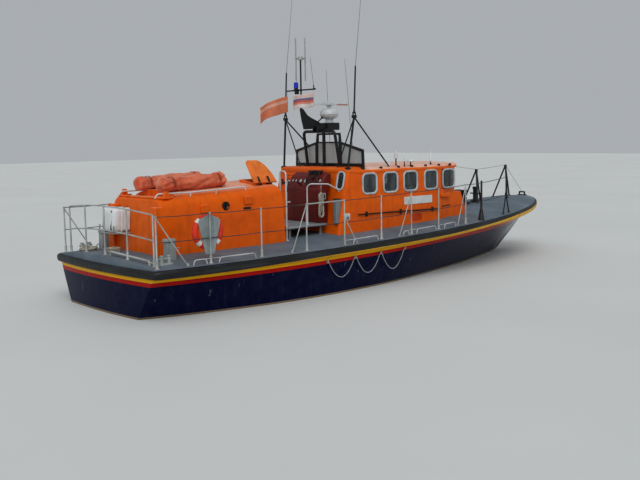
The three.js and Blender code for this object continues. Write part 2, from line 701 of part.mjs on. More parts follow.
// A hank of rope hung from the helm's handrail
const HANK = { x: -2190, y: -1000, foot: 1522, head: 2090, rail: 2274, width: 160, thick: 60, rope: 6 };

function ropeHank() {
  const height = HANK.head - HANK.foot;
  const outline = roundedRect(HANK.x, (HANK.foot + HANK.head) / 2, HANK.width, height, HANK.width / 2 - 1, 4);
  return sideProfile(outline, HANK.y - HANK.thick / 2, HANK.y + HANK.thick / 2);
}

function hankTail() {
  const tail = bar([HANK.x, HANK.y, HANK.head + SEAT], [HANK.x, HANK.y, HANK.rail], HANK.rope, LINE.sides);
  return cut(tail, helmRail().translate([0, 0, -SEAT]));
}

// The wheelhouse, its windows and its roof
function houseRing(level, x0, half, front, inset) {
  return [
    [x0 + inset, -half + inset + 60, level], [x0 + 60 + inset, -half + inset, level],
    [HOUSE.quarterX, -half + inset, level], [front - inset, -HOUSE.frontHalf + inset, level],
    [front - inset, HOUSE.frontHalf - inset, level], [HOUSE.quarterX, half - inset, level],
    [x0 + 60 + inset, half - inset, level], [x0 + inset, half - inset - 60, level],
  ];
}

function houseShell(inset) {
  const { base, eaves } = HOUSE;
  const lean = HOUSE.aftTop - HOUSE.aftBase;
  const aftAtBase = HOUSE.aftBase - (lean * (1150 - base)) / (eaves - 1150);
  const top = eaves + (inset ? 400 : 0);
  const stretch = (top - base) / (eaves - base);
  const aftAtTop = aftAtBase + (HOUSE.aftTop - aftAtBase) * stretch;
  const halfAtTop = HOUSE.half + (HOUSE.halfTop - HOUSE.half) * stretch;
  const walls = convex([
    ...houseRing(base - (inset ? 100 : 0), aftAtBase, HOUSE.half, HOUSE.forward, inset),
    ...houseRing(top, aftAtTop, halfAtTop, HOUSE.forward, inset),
  ]);
  const ledge = HOUSE.ledge - inset;
  const trunk = sideProfile([
    [HOUSE.forward - 500, base - (inset ? 100 : 0)], [HOUSE.trunk - inset, base - (inset ? 100 : 0)],
    [HOUSE.trunk - inset, 1530], [HOUSE.trunk - 180 - inset * 0.7, ledge], [HOUSE.forward - 500, ledge],
  ], -1150 + inset, 1150 - inset);
  return join(walls, trunk);
}

// columns: x of the window's centre, width
const SIDE_WINDOWS = [[-865, 480], [-170, 500], [530, 500], [1275, 500], [1950, 480]];
const WINDOW = { z: 2230, height: 490, radius: 130 };
const FRONT_WINDOWS = [[-690, 560], [0, 600], [690, 560]];
const DOOR = { y0: 400, y1: 1000, z0: 1420, z1: 2400, hinges: [1560, 2230] };

function wheelhouse() {
  let walls = cut(houseShell(0), houseShell(HOUSE.wall));
  for (const [x, width] of SIDE_WINDOWS) {
    const hole = roundedRect(x, WINDOW.z, width - 60, WINDOW.height - 60, WINDOW.radius - 30);
    walls = cut(walls, sideProfile(hole, -1500, -900), sideProfile(hole, 900, 1500));
  }
  for (const [y, width] of FRONT_WINDOWS) {
    const hole = roundedRect(y, WINDOW.z, width - 60, WINDOW.height - 60, WINDOW.radius - 30);
    walls = cut(walls, frontProfile(hole, 2200, 2600));
  }
  const aftWindow = roundedRect(-1010, 2320, 190, 370, 80);
  const doorway = block([-2400, -1300], [DOOR.y0, DOOR.y1], [DOOR.z0, DOOR.z1]);
  const [ax, , az] = doorAxis();
  const hinges = DOOR.hinges.map((z) => {
    const [x, y] = hingeAt(z);
    return join(
      bar([x + ax * 45.4, y, z + az * 45.4], [x + ax * 85, y, z + az * 85], 11, 8),
      block([x + ax * 62 - 8, x + ax * 62 + 40], [y, y + 40], [z + az * 62 - 14, z + az * 62 + 14]));
  });
  const cornerBox = cut(block([-1900, -1600], [-1160, -1040], [1330, 1930]), houseShell(HOUSE.wall));
  return onDeck(join(cut(walls, frontProfile(aftWindow, -2400, -1200), doorway), cornerBox, ...hinges));
}

function wheelhouseDoor() {
  const clear = 8;
  const slab = (out) => convex([DOOR.z0 + clear, DOOR.z1 - clear].flatMap((z) => {
    const x = aftFaceX(z);
    return [DOOR.y0 + clear, DOOR.y1 - clear].flatMap((y) => [[x - out, y, z], [x + 30 - out, y, z]]);
  }));
  const window = frontProfile(roundedRect((DOOR.y0 + DOOR.y1) / 2, 2120, 280, 320, 70), -2400, -1200);
  const [ax, , az] = doorAxis();
  const hinges = DOOR.hinges.map((z) => {
    const [x, y] = hingeAt(z);
    return join(
      bar([x - ax * 45, y, z - az * 45], [x + ax * 45, y, z + az * 45], 11, 8),
      block([x - 6, x + 14], [y - 90, y - 2], [z - 25, z + 25]),
      block([x + 6, x + 44], [y - 90, y - 20], [z - 20, z + 20]));
  });
  return join(cut(slab(0), window), ...hinges);
}

function aftFaceX(z) {
  return HOUSE.aftBase + ((HOUSE.aftTop - HOUSE.aftBase) * (z - 1150)) / (HOUSE.eaves - 1150);
}

function doorAxis() {
  const lean = HOUSE.aftTop - HOUSE.aftBase;
  const rise = HOUSE.eaves - 1150;
  const length = Math.hypot(lean, rise);
  return [lean / length, 0, rise / length];
}

function hingeAt(z) {
  return [aftFaceX(z) - 26, DOOR.y1 + 8];
}

// columns: distance from the centreline, rise of the roof over the eaves
const ROOF_CROWN = [[1400, -10], [1215, 45], [1150, 78], [700, 118], [0, 140]];

function wheelhouseRoof() {
  const { eaves } = HOUSE;
  const starboard = [
    [HOUSE.aftTop - 10, -1130], [HOUSE.aftTop + 60, -1215], [HOUSE.quarterX, -1215],
    [HOUSE.forward + 90, -1080], [HOUSE.forward + 110, 0],
  ];
  const port = starboard.slice(0, -1).reverse().map(([x, y]) => [x, -y]);
  const edge = planProfile([...starboard, ...port], eaves + SEAT, eaves + 300);
  const side = ROOF_CROWN.slice(0, -1).map(([y, rise]) => [y, eaves + rise]);
  const crown = [...ROOF_CROWN.map(([y, rise]) => [-y, eaves + rise]), ...side.reverse()];
  return join(edge.intersect(frontProfile(crown, -2000, 2700)), ...ROOF_FITTINGS.map(roofFitting));
}

// Lamps, a mushroom vent and a stick aerial on short stems along the starboard edge of the roof
// columns: x, distance to starboard, stem radius, foot of the head, head radius, top radius, top
const ROOF_FITTINGS = [
  [190, 1050, 15, 2765, 45, 24, 2965],
  [400, 1130, 12, 2700, 16, 12, 2815],
  [590, 1160, 15, 2688, 92, 40, 2750],
  [1400, 1090, 15, 2670, 30, 14, 3010],
  [60, 900, 50, 2612, 80, 60, 2665],
];

function roofFitting([x, starboard, stem, foot, radius, topRadius, top]) {
  return join(bar([x, -starboard, HOUSE.eaves + 30], [x, -starboard, foot + 10], stem, 8),
    bar([x, -starboard, foot], [x, -starboard, top], radius, 10, topRadius));
}

const roofSolid = wheelhouseRoof();
const roofLifted = roofSolid.translate([0, 0, SEAT]);
const onRoof = (solid) => cut(solid, roofLifted);

// The black windscreen across the roof
const SCREEN = {
  x: -1020, inner: 400, outer: 1190, base: 2560, innerTop: 3190, outerTop: 3010, centreTop: 3400,
  half: 25, sill: 2690, post: 32,
};

function windscreen() {
  const { x, inner, outer, base, innerTop, outerTop, centreTop, half, sill, post } = SCREEN;
  const outline = [[-outer, base], [outer, base], [outer - 20, outerTop], [inner + 30, innerTop],
    [inner, centreTop], [-inner, centreTop], [-inner - 30, innerTop], [-outer + 20, outerTop]];
  const frame = frontProfile(outline, x - half, x + half);
  const wing = [[inner + post + 20, sill], [outer - 55, sill], [outer - 65, outerTop - 50],
    [inner + post + 20, innerTop - 50]];
  const middle = [[-inner + post, sill], [inner - post, sill], [inner - post, centreTop - 45],
    [-inner + post, centreTop - 45]];
  const panes = [wing, middle, wing.map(([y, z]) => [-y, z]).reverse()];
  return onRoof(cut(frame, ...panes.map((pane) => frontProfile(pane, x - 60, x + 60))));
}

// The arch that carries the radar and the mast
const ARCH = { foot: [-1180, 560], head: [-1330, 540], top: 3440, radarX: -990, tube: 36, postX: -1180 };
const SHELF = { aft: -1180, forward: -810, half: 180, under: 3470, top: 3640 };
const UNDER_ROOF = 2540;
const MAST = { x: -1420, z: 3540, thick: 50, poleX: -1860, poleTop: 5060, yard: 4385, yardHalf: 510 };
// columns: x of the hoist, y, z of the foot of the hoist, height, length, droop
const FLAGS = { large: [-1875, 470, 3990, 360, 900, 60], small: [-1875, -440, 3960, 300, 640, 40] };

function mastArch() {
  const { foot: [footX, footY], head: [headX, headY], top, tube, postX } = ARCH;
  const legs = [-1, 1].map((side) => join(
    bar([footX, side * footY, UNDER_ROOF], [headX, side * headY, top - 60], tube, 6),
    bar([headX, side * headY, top - 75], [headX, side * (headY - 85), top], tube, 6),
    block([footX - 90, footX + 90], [side * footY - 60, side * footY + 60], [UNDER_ROOF, 2650])));
  const beam = bar([headX, 60 - headY, top], [headX, headY - 60, top], tube, 6);
  const post = bar([postX, 0, UNDER_ROOF], [postX, 0, SHELF.under + 30], 32, 6);
  const shelf = block([SHELF.aft, SHELF.forward], [-SHELF.half, SHELF.half], [SHELF.under, SHELF.top]);
  const struts = [-1, 1].map((side) => (
    bar([headX, side * 150, top], [ARCH.radarX, side * 150, SHELF.under + 50], 30, 4)));
  const foot = block([postX - 100, postX + 90], [-70, 70], [UNDER_ROOF, 2668]);
  const hingeEars = [-1, 1].map((side) => block(
    [MAST.x - 40, headX + 20], [side * 62 - 12, side * 62 + 12], [top - 10, MAST.z + 40]));
  return onRoof(join(beam, ...legs, post, shelf, ...struts, foot, ...hingeEars));
}

// The folding mast, with its yard and the flags' halyards
function mast() {
  const fin = sideProfile([
    [-1790, 3490], [-1400, 3500], [-1290, 3500], [-1290, 3640], [-1430, 3700], [-1600, 3770], [-1760, 3900],
    [-1820, 3960], [-1900, 3960], [-1850, 3700],
  ], -MAST.thick / 2, MAST.thick / 2);
  const pivot = bar([MAST.x, -49.7, MAST.z], [MAST.x, 49.7, MAST.z], 26, 10);
  const pole = bar([MAST.poleX, 0, 3800], [MAST.poleX, 0, MAST.poleTop], 19, 8);
  const yard = join(
    bar([MAST.poleX, -MAST.yardHalf, MAST.yard], [MAST.poleX, MAST.yardHalf, MAST.yard], 16, 8),
    block([MAST.poleX - 150, MAST.poleX + 25], [-50, 110], [MAST.yard - 5, MAST.yard + 12]));
  const arm = bar([-1400, 0, 3640], [-1400, -210, 3760], 14, 6).add(ball([-1400, -210, 3760], 32, 8, 6));
  const halyards = Object.values(FLAGS).map(([x, y, foot]) => (
    bar([x + 5.4, y, foot - 10], [x + 5.4, y, MAST.yard], 5, 4)));
  return join(fin, pivot, pole, yard, arm, ...halyards);
}

function dfAerial() {
  const rods = [[0, 1], [1, 0], [0, -1], [-1, 0]].map(([u, v]) => join(
    bar([MAST.poleX + u * 150, v * 150, 4590], [MAST.poleX + u * 150, v * 150, 5560], 9, 6),
    bar([MAST.poleX, 0, 5100], [MAST.poleX + u * 150, v * 150, 5100], 10, 6)));
  const hub = bar([MAST.poleX, 0, MAST.poleTop + SEAT], [MAST.poleX, 0, 5150], 60, 12, 50);
  return join(hub, ...rods);
}

function blueLight() {
  const [x, y] = [MAST.poleX - 95, 60];
  return join(bar([x, y, MAST.yard + 12 + SEAT], [x, y, MAST.yard + 50], 46, 12),
    bar([x, y, MAST.yard + 45], [x, y, MAST.yard + 180], 54, 12, 48));
}

// columns: radius, height over the shelf
const RADAR_PROFILE = [[0, SEAT], [110, SEAT], [110, 20], [85, 75], [190, 130], [222, 200], [205, 280],
  [130, 335], [60, 350], [0, 350]];

function radarHousing() {
  const profile = RADAR_PROFILE.map(([radius, rise]) => new THREE.Vector2(radius, rise));
  const geometry = new THREE.LatheGeometry(profile, 20);
  geometry.rotateX(Math.PI / 2);
  geometry.translate(ARCH.radarX, 0, SHELF.top);
  return outward(geometry);
}

// A closed skin turned so that its faces point out
function outward(geometry) {
  const solid = toSolid(geometry);
  if (solid.volume() > 0) return solid;
  const turned = geometry.clone();
  const index = Array.from(turned.index.array);
  for (let i = 0; i < index.length; i += 3) [index[i + 1], index[i + 2]] = [index[i + 2], index[i + 1]];
  turned.setIndex(index);
  return toSolid(turned);
}

function radarScanner() {
  const [x, z] = [ARCH.radarX, 4090];
  return join(
    convex([-1, 1].flatMap((end) => [[x + end * 600, -25, z - 35], [x + end * 600, 30, z - 35],
      [x + end * 600, -25, z + 35], [x + end * 600, 30, z + 35]])),
    bar([x, 0, 3990.5], [x, 0, z], 45, 12));
}

// Whip aerials on tripods at the wheelhouse's aft corners
const WHIP = { x: -1480, y: 1120, head: [-1335, 3810], top: [-985, 7200], step: [-1280, 4870] };

function aerialStand(side) {
  const y = side * WHIP.y;
  const [hx, hz] = WHIP.head;
  const roofY = side * 1090;
  return onRoof(join(
    bar([WHIP.x, y, 2560], [hx, side * 1200, hz - 40], 24, 6),
    bar([-40, roofY, 2540], [hx, side * 1200, hz - 70], 17, 6),
    bar([WHIP.x + 130, side * 620, 2560], [hx, side * 1200, hz - 70], 14, 6),
    block([hx - 45, hx + 45], [side * 1200 - 45, side * 1200 + 45], [hz - 90, hz - 25]),
    block([hx - 14, hx + 14], [side * 1200 - 45, side * 1200 - 28], [hz - 40, hz + 45]),
    block([hx - 14, hx + 14], [side * 1200 + 28, side * 1200 + 45], [hz - 40, hz + 45]),
    block([WHIP.x - 60, WHIP.x + 60], [y - 45, y + 45], [2530, 2620])));
}

function whip(side) {
  const y = side * 1200;
  const [hx, hz] = WHIP.head;
  const [sx, sz] = WHIP.step;
  const [tx, tz] = WHIP.top;
  return join(
    bar([hx, y - 27.7, hz + 22], [hx, y + 27.7, hz + 22], 14, 8),
    bar([hx, y, hz + 22], [sx, y, sz], 19, 8, 17),
    bar([sx, y, sz - 20], [tx, y, tz], 8, 6, 4));
}

// Guard rails along the deck edge
const RAIL = { inboard: 130, height: 970, post: 16, wire: 5, foot: 45 };
// columns: x of each stanchion, from the stern corner forward
const STANCHIONS = [-6930, -5810, -4650, -3520, -2480, -1380, -400, 560, 1630];
// columns: x of the stanchion, height at which the brace leaves it, x of the brace's foot
const BRACES = [
  [-6930, 930, -6300], [-3520, 930, -3900], [-2480, 600, -2120], [-400, 930, -800], [1630, 930, 1300],
];
const BOW_POST = { x: 2330 };
// columns: aft end, forward end of each low foot rail
const FOOT_RAILS = [[-6200, -5900], [-5650, -4800], [-2250, -1500], [-700, -500], [-250, 450], [750, 1200]];

// The box of the lifebuoy's lamp, clamped to a starboard stanchion
const LAMP_BOX = { x: -2410, rise: 588 };

function railY(side, x) {
  return side * (deckHalf(x) - RAIL.inboard);
}

function railPoint(side, x, rise) {
  const y = railY(side, x);
  return [x, y, deckHeight(x, y) + rise];
}

function guardRail(side) {
  let rail = null;
  const put = (solid) => {
    rail = rail ? rail.add(solid) : solid;
  };
  for (const x of STANCHIONS) {
    put(bar(railPoint(side, x, -60), railPoint(side, x, RAIL.height), RAIL.post, 6));
    put(bar(railPoint(side, x, -40), railPoint(side, x, 25), RAIL.foot, 4));
  }
  for (const rise of [480, RAIL.height - 25]) {
    for (let i = 0; i + 1 < STANCHIONS.length; i += 1) {
      const gate = i === 3;
      const radius = gate && rise > 500 ? RAIL.post * 0.85 : RAIL.wire;
      put(bar(railPoint(side, STANCHIONS[i], rise), railPoint(side, STANCHIONS[i + 1], rise), radius, 4));
    }
    const forward = [[1630, rise], [BOW_POST.x, rise * 0.98], [3650, rise]];
    for (let i = 0; i + 1 < forward.length; i += 1) {
      put(bar(railPoint(side, ...forward[i]), railPoint(side, ...forward[i + 1]), RAIL.wire, 4));
    }
  }
  for (const [x, rise, foot] of BRACES) {
    put(bar(railPoint(side, x, rise), railPoint(side, foot, -30), 12, 4));
    put(bar(railPoint(side, foot, -30), railPoint(side, foot, 14), 32, 4));
  }
  for (const [aft, forward] of FOOT_RAILS) {
    const points = [[aft, -30], [aft + 25, 95], [forward - 25, 95], [forward, -30]];
    const rod = railing(points.map(([x, rise]) => {
      const [px, py, pz] = railPoint(side, x, rise);
      return [px, py + side * 20, pz];
    }), 13, 4);
    put(rod);
  }
  for (const [aft, forward] of FOOT_RAILS) {
    const near = STANCHIONS.find((x) => x > aft - 400);
    const [from, to] = near < aft ? [near, aft + 25] : [forward - 25, near];
    const [ax, ay, az] = railPoint(side, from, 90);
    const [bx, by, bz] = railPoint(side, to, 95);
    put(bar([ax, ay, az], [bx, by + side * 20, bz], 8, 4));
  }
  put(bar(railPoint(side, BOW_POST.x, -60), railPoint(side, BOW_POST.x, 985), 26, 8));
  put(bar(railPoint(side, BOW_POST.x, -60), railPoint(side, BOW_POST.x, 250), 75, 8, 40));
  for (const x of [3480, 3850]) {
    put(bar(railPoint(side, x, -40), railPoint(side, 3650, 500), 17, 8));
  }
  put(bar(railPoint(side, 3650, 490), railPoint(side, 3650, 1000), 17, 8));
  if (side < 0) {
    const [, y, z] = railPoint(side, LAMP_BOX.x, LAMP_BOX.rise);
    put(block([LAMP_BOX.x - 75, LAMP_BOX.x + 65], [y - 35, y + 35], [z - 68, z + 68]));
  }
  return onDeck(rail);
}

function sternRail() {
  const at = (y, rise) => {
    const x = STERN + 170 + TRANSOM_SWEEP * (y / (TRANSOM_BEAM / 2)) ** 2;
    return [x, y, deckHeight(x, y) + rise];
  };
  const posts = [-1640, -820, 0, 820, 1640];
  let rail = null;
  for (const y of posts) {
    const post = join(bar(at(y, -60), at(y, 960), 16, 6), bar(at(y, -40), at(y, 25), 42, 4));
    rail = rail ? rail.add(post) : post;
  }
  for (const rise of [480, 950]) {
    for (let i = 0; i + 1 < posts.length; i += 1) {
      rail = rail.add(bar(at(posts[i], rise), at(posts[i + 1], rise), 14, 4));
    }
  }
  rail = rail.add(railing([at(-1500, -30), at(-1500, 80), at(-200, 80), at(-200, -30)], 22, 4));
  rail = rail.add(bar(at(-1640, 60), at(-1500, 60), 12, 4));
  return onDeck(rail);
}

// Lifebuoy and its holder on the second stanchion
const BUOY = { x: -5810, rise: 590, radius: 275, tube: 62, plate: 18, turn: 3.95 };

function buoyFrame(solid) {
  const [x, y, z] = railPoint(-1, BUOY.x, BUOY.rise);
  return solid.rotate([0, 0, -BUOY.turn]).translate([x, y, z]);
}

function lifebuoyHolder() {
  const outline = [[0, 340], [210, 240], [240, 180], [95, -420], [-95, -420], [-240, 180], [-210, 240]];
  const face = RAIL.post + SEAT;
  const plate = sideProfile(outline, face, face + BUOY.plate);
  const pegs = [60, 120].map((turn) => {
    const a = THREE.MathUtils.degToRad(turn);
    const reach = BUOY.radius - BUOY.tube - 11;
    const [x, z] = [Math.cos(a) * reach, Math.sin(a) * reach];
    return bar([x, face + 5, z], [x, face + BUOY.plate + 70, z], 9, 6);
  });
  return buoyFrame(join(plate, ...pegs));
}

function lifebuoy() {
  const sides = 10;
  const flatReach = BUOY.tube * Math.cos(Math.PI / sides);
  const ring = new THREE.TorusGeometry(BUOY.radius, BUOY.tube, sides, 28);
  ring.rotateX(Math.PI / 2);
  ring.translate(0, RAIL.post + BUOY.plate + flatReach + 2 * SEAT, 0);
  return buoyFrame(outward(ring));
}

// Foredeck fittings
function jackstayPost(x) {
  const top = [x, 0, deckHeight(x, 0) + 900];
  const feet = [[x - 260, 260], [x - 260, -260], [x + 200, 0]];
  const legs = feet.map(([fx, fy]) => bar([fx, fy, deckHeight(fx, fy) - 60], top, 22, 8));
  const pads = feet.map(([fx, fy]) => bar([fx, fy, deckHeight(fx, fy) - 40],
    [fx, fy, deckHeight(fx, fy) + 16], 50, 8));
  return onDeck(join(...legs, ...pads, bar([x, 0, top[2] - 90], [x, 0, top[2] + 20], 40, 8)));
}

const WINDLASS = { x: 4050, base: 260 };

function windlassBase() {
  const z = deckHeight(WINDLASS.x, 0);
  const plinth = onDeck(bar([WINDLASS.x, 0, z - 60], [WINDLASS.x, 0, z + 60], WINDLASS.base / 2 + 60, 16));
  return join(plinth, bar([WINDLASS.x, 0, z + 50], [WINDLASS.x, 0, z + 150], 95, 16));
}

// columns: radius, height over the plinth
const DRUM_PROFILE = [[0, 0], [110, 0], [110, 25], [65, 70], [70, 170], [105, 205], [105, 240], [0, 250]];

function windlassDrum() {
  const z = deckHeight(WINDLASS.x, 0) + 150.5;
  const profile = DRUM_PROFILE.map(([radius, rise]) => new THREE.Vector2(radius, rise));
  const geometry = new THREE.LatheGeometry(profile, 16);
  geometry.rotateX(Math.PI / 2);
  geometry.translate(WINDLASS.x, 0, z);
  return outward(geometry);
}

function bollard(x, y) {
  const z = deckHeight(x, y);
  return onDeck(join(
    block([x - 140, x + 140], [y - 70, y + 70], [z - 60, z + 25]),
    bar([x - 80, y, z], [x - 80, y, z + 150], 38, 10),
    bar([x + 80, y, z], [x + 80, y, z + 150], 38, 10),
    bar([x - 150, y, z + 105], [x + 150, y, z + 105], 17, 8)));
}

// A cowled vent on the foredeck ahead of the trunk
// columns: foot, top, radius, radius at the top
const VENT_PARTS = [[-60, 420, 62, 62], [400, 545, 98, 84], [-60, 16, 95, 95]];

function foredeckVent() {
  const [x, y] = [3050, -620];
  const z = deckHeight(x, y);
  return onDeck(join(...VENT_PARTS.map(([foot, top, radius, topRadius]) => (
    bar([x, y, z + foot], [x, y, z + top], radius, 12, topRadius)))));
}

// Mooring ropes coiled down on the after deck, and the one that hangs from the liferaft's cradle
// columns: x, y, radius of the middle turn, half width of the coil, height
const COILS = {
  stern: [-6640, 310, 118, 42, 96],
  quarter: [-6760, 1120, 150, 46, 84],
};

function ropeCoil([x, y, middle, half, height]) {
  const z = deckHeight(x, y) + SEAT;
  const [inner, outer] = [middle - half, middle + half];
  const profile = [[inner, 0], [outer, 0], [outer, height - 18], [outer - 18, height], [inner + 18, height],
    [inner, height - 18], [inner, 0]];
  const geometry = new THREE.LatheGeometry(profile.map(([r, h]) => new THREE.Vector2(r, h)), 20);
  geometry.rotateX(Math.PI / 2);
  geometry.translate(x, y, z);
  return onDeck(outward(geometry));
}

function bowFairlead() {
  const z = deckHeight(6850, 0);
  return onDeck(join(
    block([6740, 6940], [-110, 110], [z - 60, z + 22]),
    bar([6840, -90, z + 10], [6840, -90, z + 110], 24, 8),
    bar([6840, 90, z + 10], [6840, 90, z + 110], 24, 8),
    bar([6840, -90, z + 98], [6840, 90, z + 98], 20, 8)));
}

// Flags on the mast's yard
function flag([x, y, z, height, length, droop]) {
  const top = z + height;
  return sideProfile([[x, z], [x, top], [x - length, top - droop], [x - length, z - droop]], y - 4, y + 4);
}

// The scene graph
// columns: colour, roughness, metalness
const COLOURS = {
  navy: ['#141c44', 0.35, 0],
  black: ['#15161a', 0.6, 0],
  orange: ['#e8601c', 0.4, 0],
  pale: ['#c9ced2', 0.45, 0.2],
  white: ['#e8e8e4', 0.4, 0],
  red: ['#b5251c', 0.5, 0],
  bronze: ['#a97a3c', 0.35, 0.9],
  steel: ['#9aa0a6', 0.4, 0.8],
  cloth: ['#cc4a2a', 0.9, 0],
  rope: ['#d6d0c0', 0.9, 0],
  ring: ['#e23b1f', 0.6, 0],
  blue: ['#1438d8', 0.2, 0],
};

const boat = new THREE.Group();

function put(name, solid, colour) {
  const [color, roughness, metalness] = COLOURS[colour];
  const finish = new THREE.MeshStandardMaterial({ color, roughness, metalness });
  const mesh = new THREE.Mesh(toGeometry(solid), finish);
  mesh.name = name;
  boat.add(mesh);
}

put('hull', hullSolid, 'navy');
put('belting', belting(), 'black');
put('cabin_hoop', cabinHoop(), 'white');
put('helm_rail', helmRail(), 'white');
put('rope_hank', ropeHank(), 'rope');
put('hank_tail', hankTail(), 'rope');
put('aft_cabin', cabinSolid, 'orange');
put('hatch_lid', hatchLid(), 'orange');
put('liferaft_case', liferaftCase(), 'white');
put('step_platform', stepPlatform(), 'pale');
put('wheelhouse', wheelhouse(), 'orange');
put('wheelhouse_roof', roofSolid, 'orange');
put('wheelhouse_door', wheelhouseDoor(), 'orange');
put('helm_console', helmConsole(), 'red');
put('helm_wheel', helmWheel(), 'black');
put('windscreen', windscreen(), 'black');
put('mast_arch', mastArch(), 'black');
put('mast', mast(), 'black');
put('df_aerial', dfAerial(), 'pale');
put('blue_light', blueLight(), 'blue');
put('flag_large', flag(FLAGS.large), 'cloth');
put('flag_small', flag(FLAGS.small), 'cloth');
put('radar_housing', radarHousing(), 'white');
put('radar_scanner', radarScanner(), 'white');
for (const [suffix, side] of [['stbd', -1], ['port', 1]]) {
  put(`engine_${suffix}`, engine(side), 'steel');
  put(`propeller_${suffix}`, propeller(side), 'bronze');
  put(`rudder_${suffix}`, rudder(side), 'bronze');
  put(`roof_rail_${suffix}`, roofRail(side), 'white');
  put(`boat_roll_${suffix}`, boatRoll(side), 'cloth');
  put(`deck_vent_${suffix}`, deckVent(side), 'pale');
  put(`aerial_stand_${suffix}`, aerialStand(side), 'black');
  put(`whip_${suffix}`, whip(side), 'black');
  put(`guard_rail_${suffix}`, guardRail(side), 'pale');
  put(`grab_line_${suffix}`, grabLine(side), 'rope');
  put(`stern_bollard_${suffix}`, bollard(-6600, side * 1560), 'pale');
}
put('stern_rail', sternRail(), 'pale');
put('lifebuoy_holder', lifebuoyHolder(), 'pale');
put('lifebuoy', lifebuoy(), 'ring');
put('jackstay_post_mid', jackstayPost(4630), 'black');
put('jackstay_post_fwd', jackstayPost(6000), 'black');
put('windlass_base', windlassBase(), 'black');
put('windlass_drum', windlassDrum(), 'black');
put('bow_fairlead', bowFairlead(), 'black');
put('foredeck_vent', foredeckVent(), 'pale');
for (const [place, coil] of Object.entries(COILS)) put(`rope_coil_${place}`, ropeCoil(coil), 'rope');

export default boat;
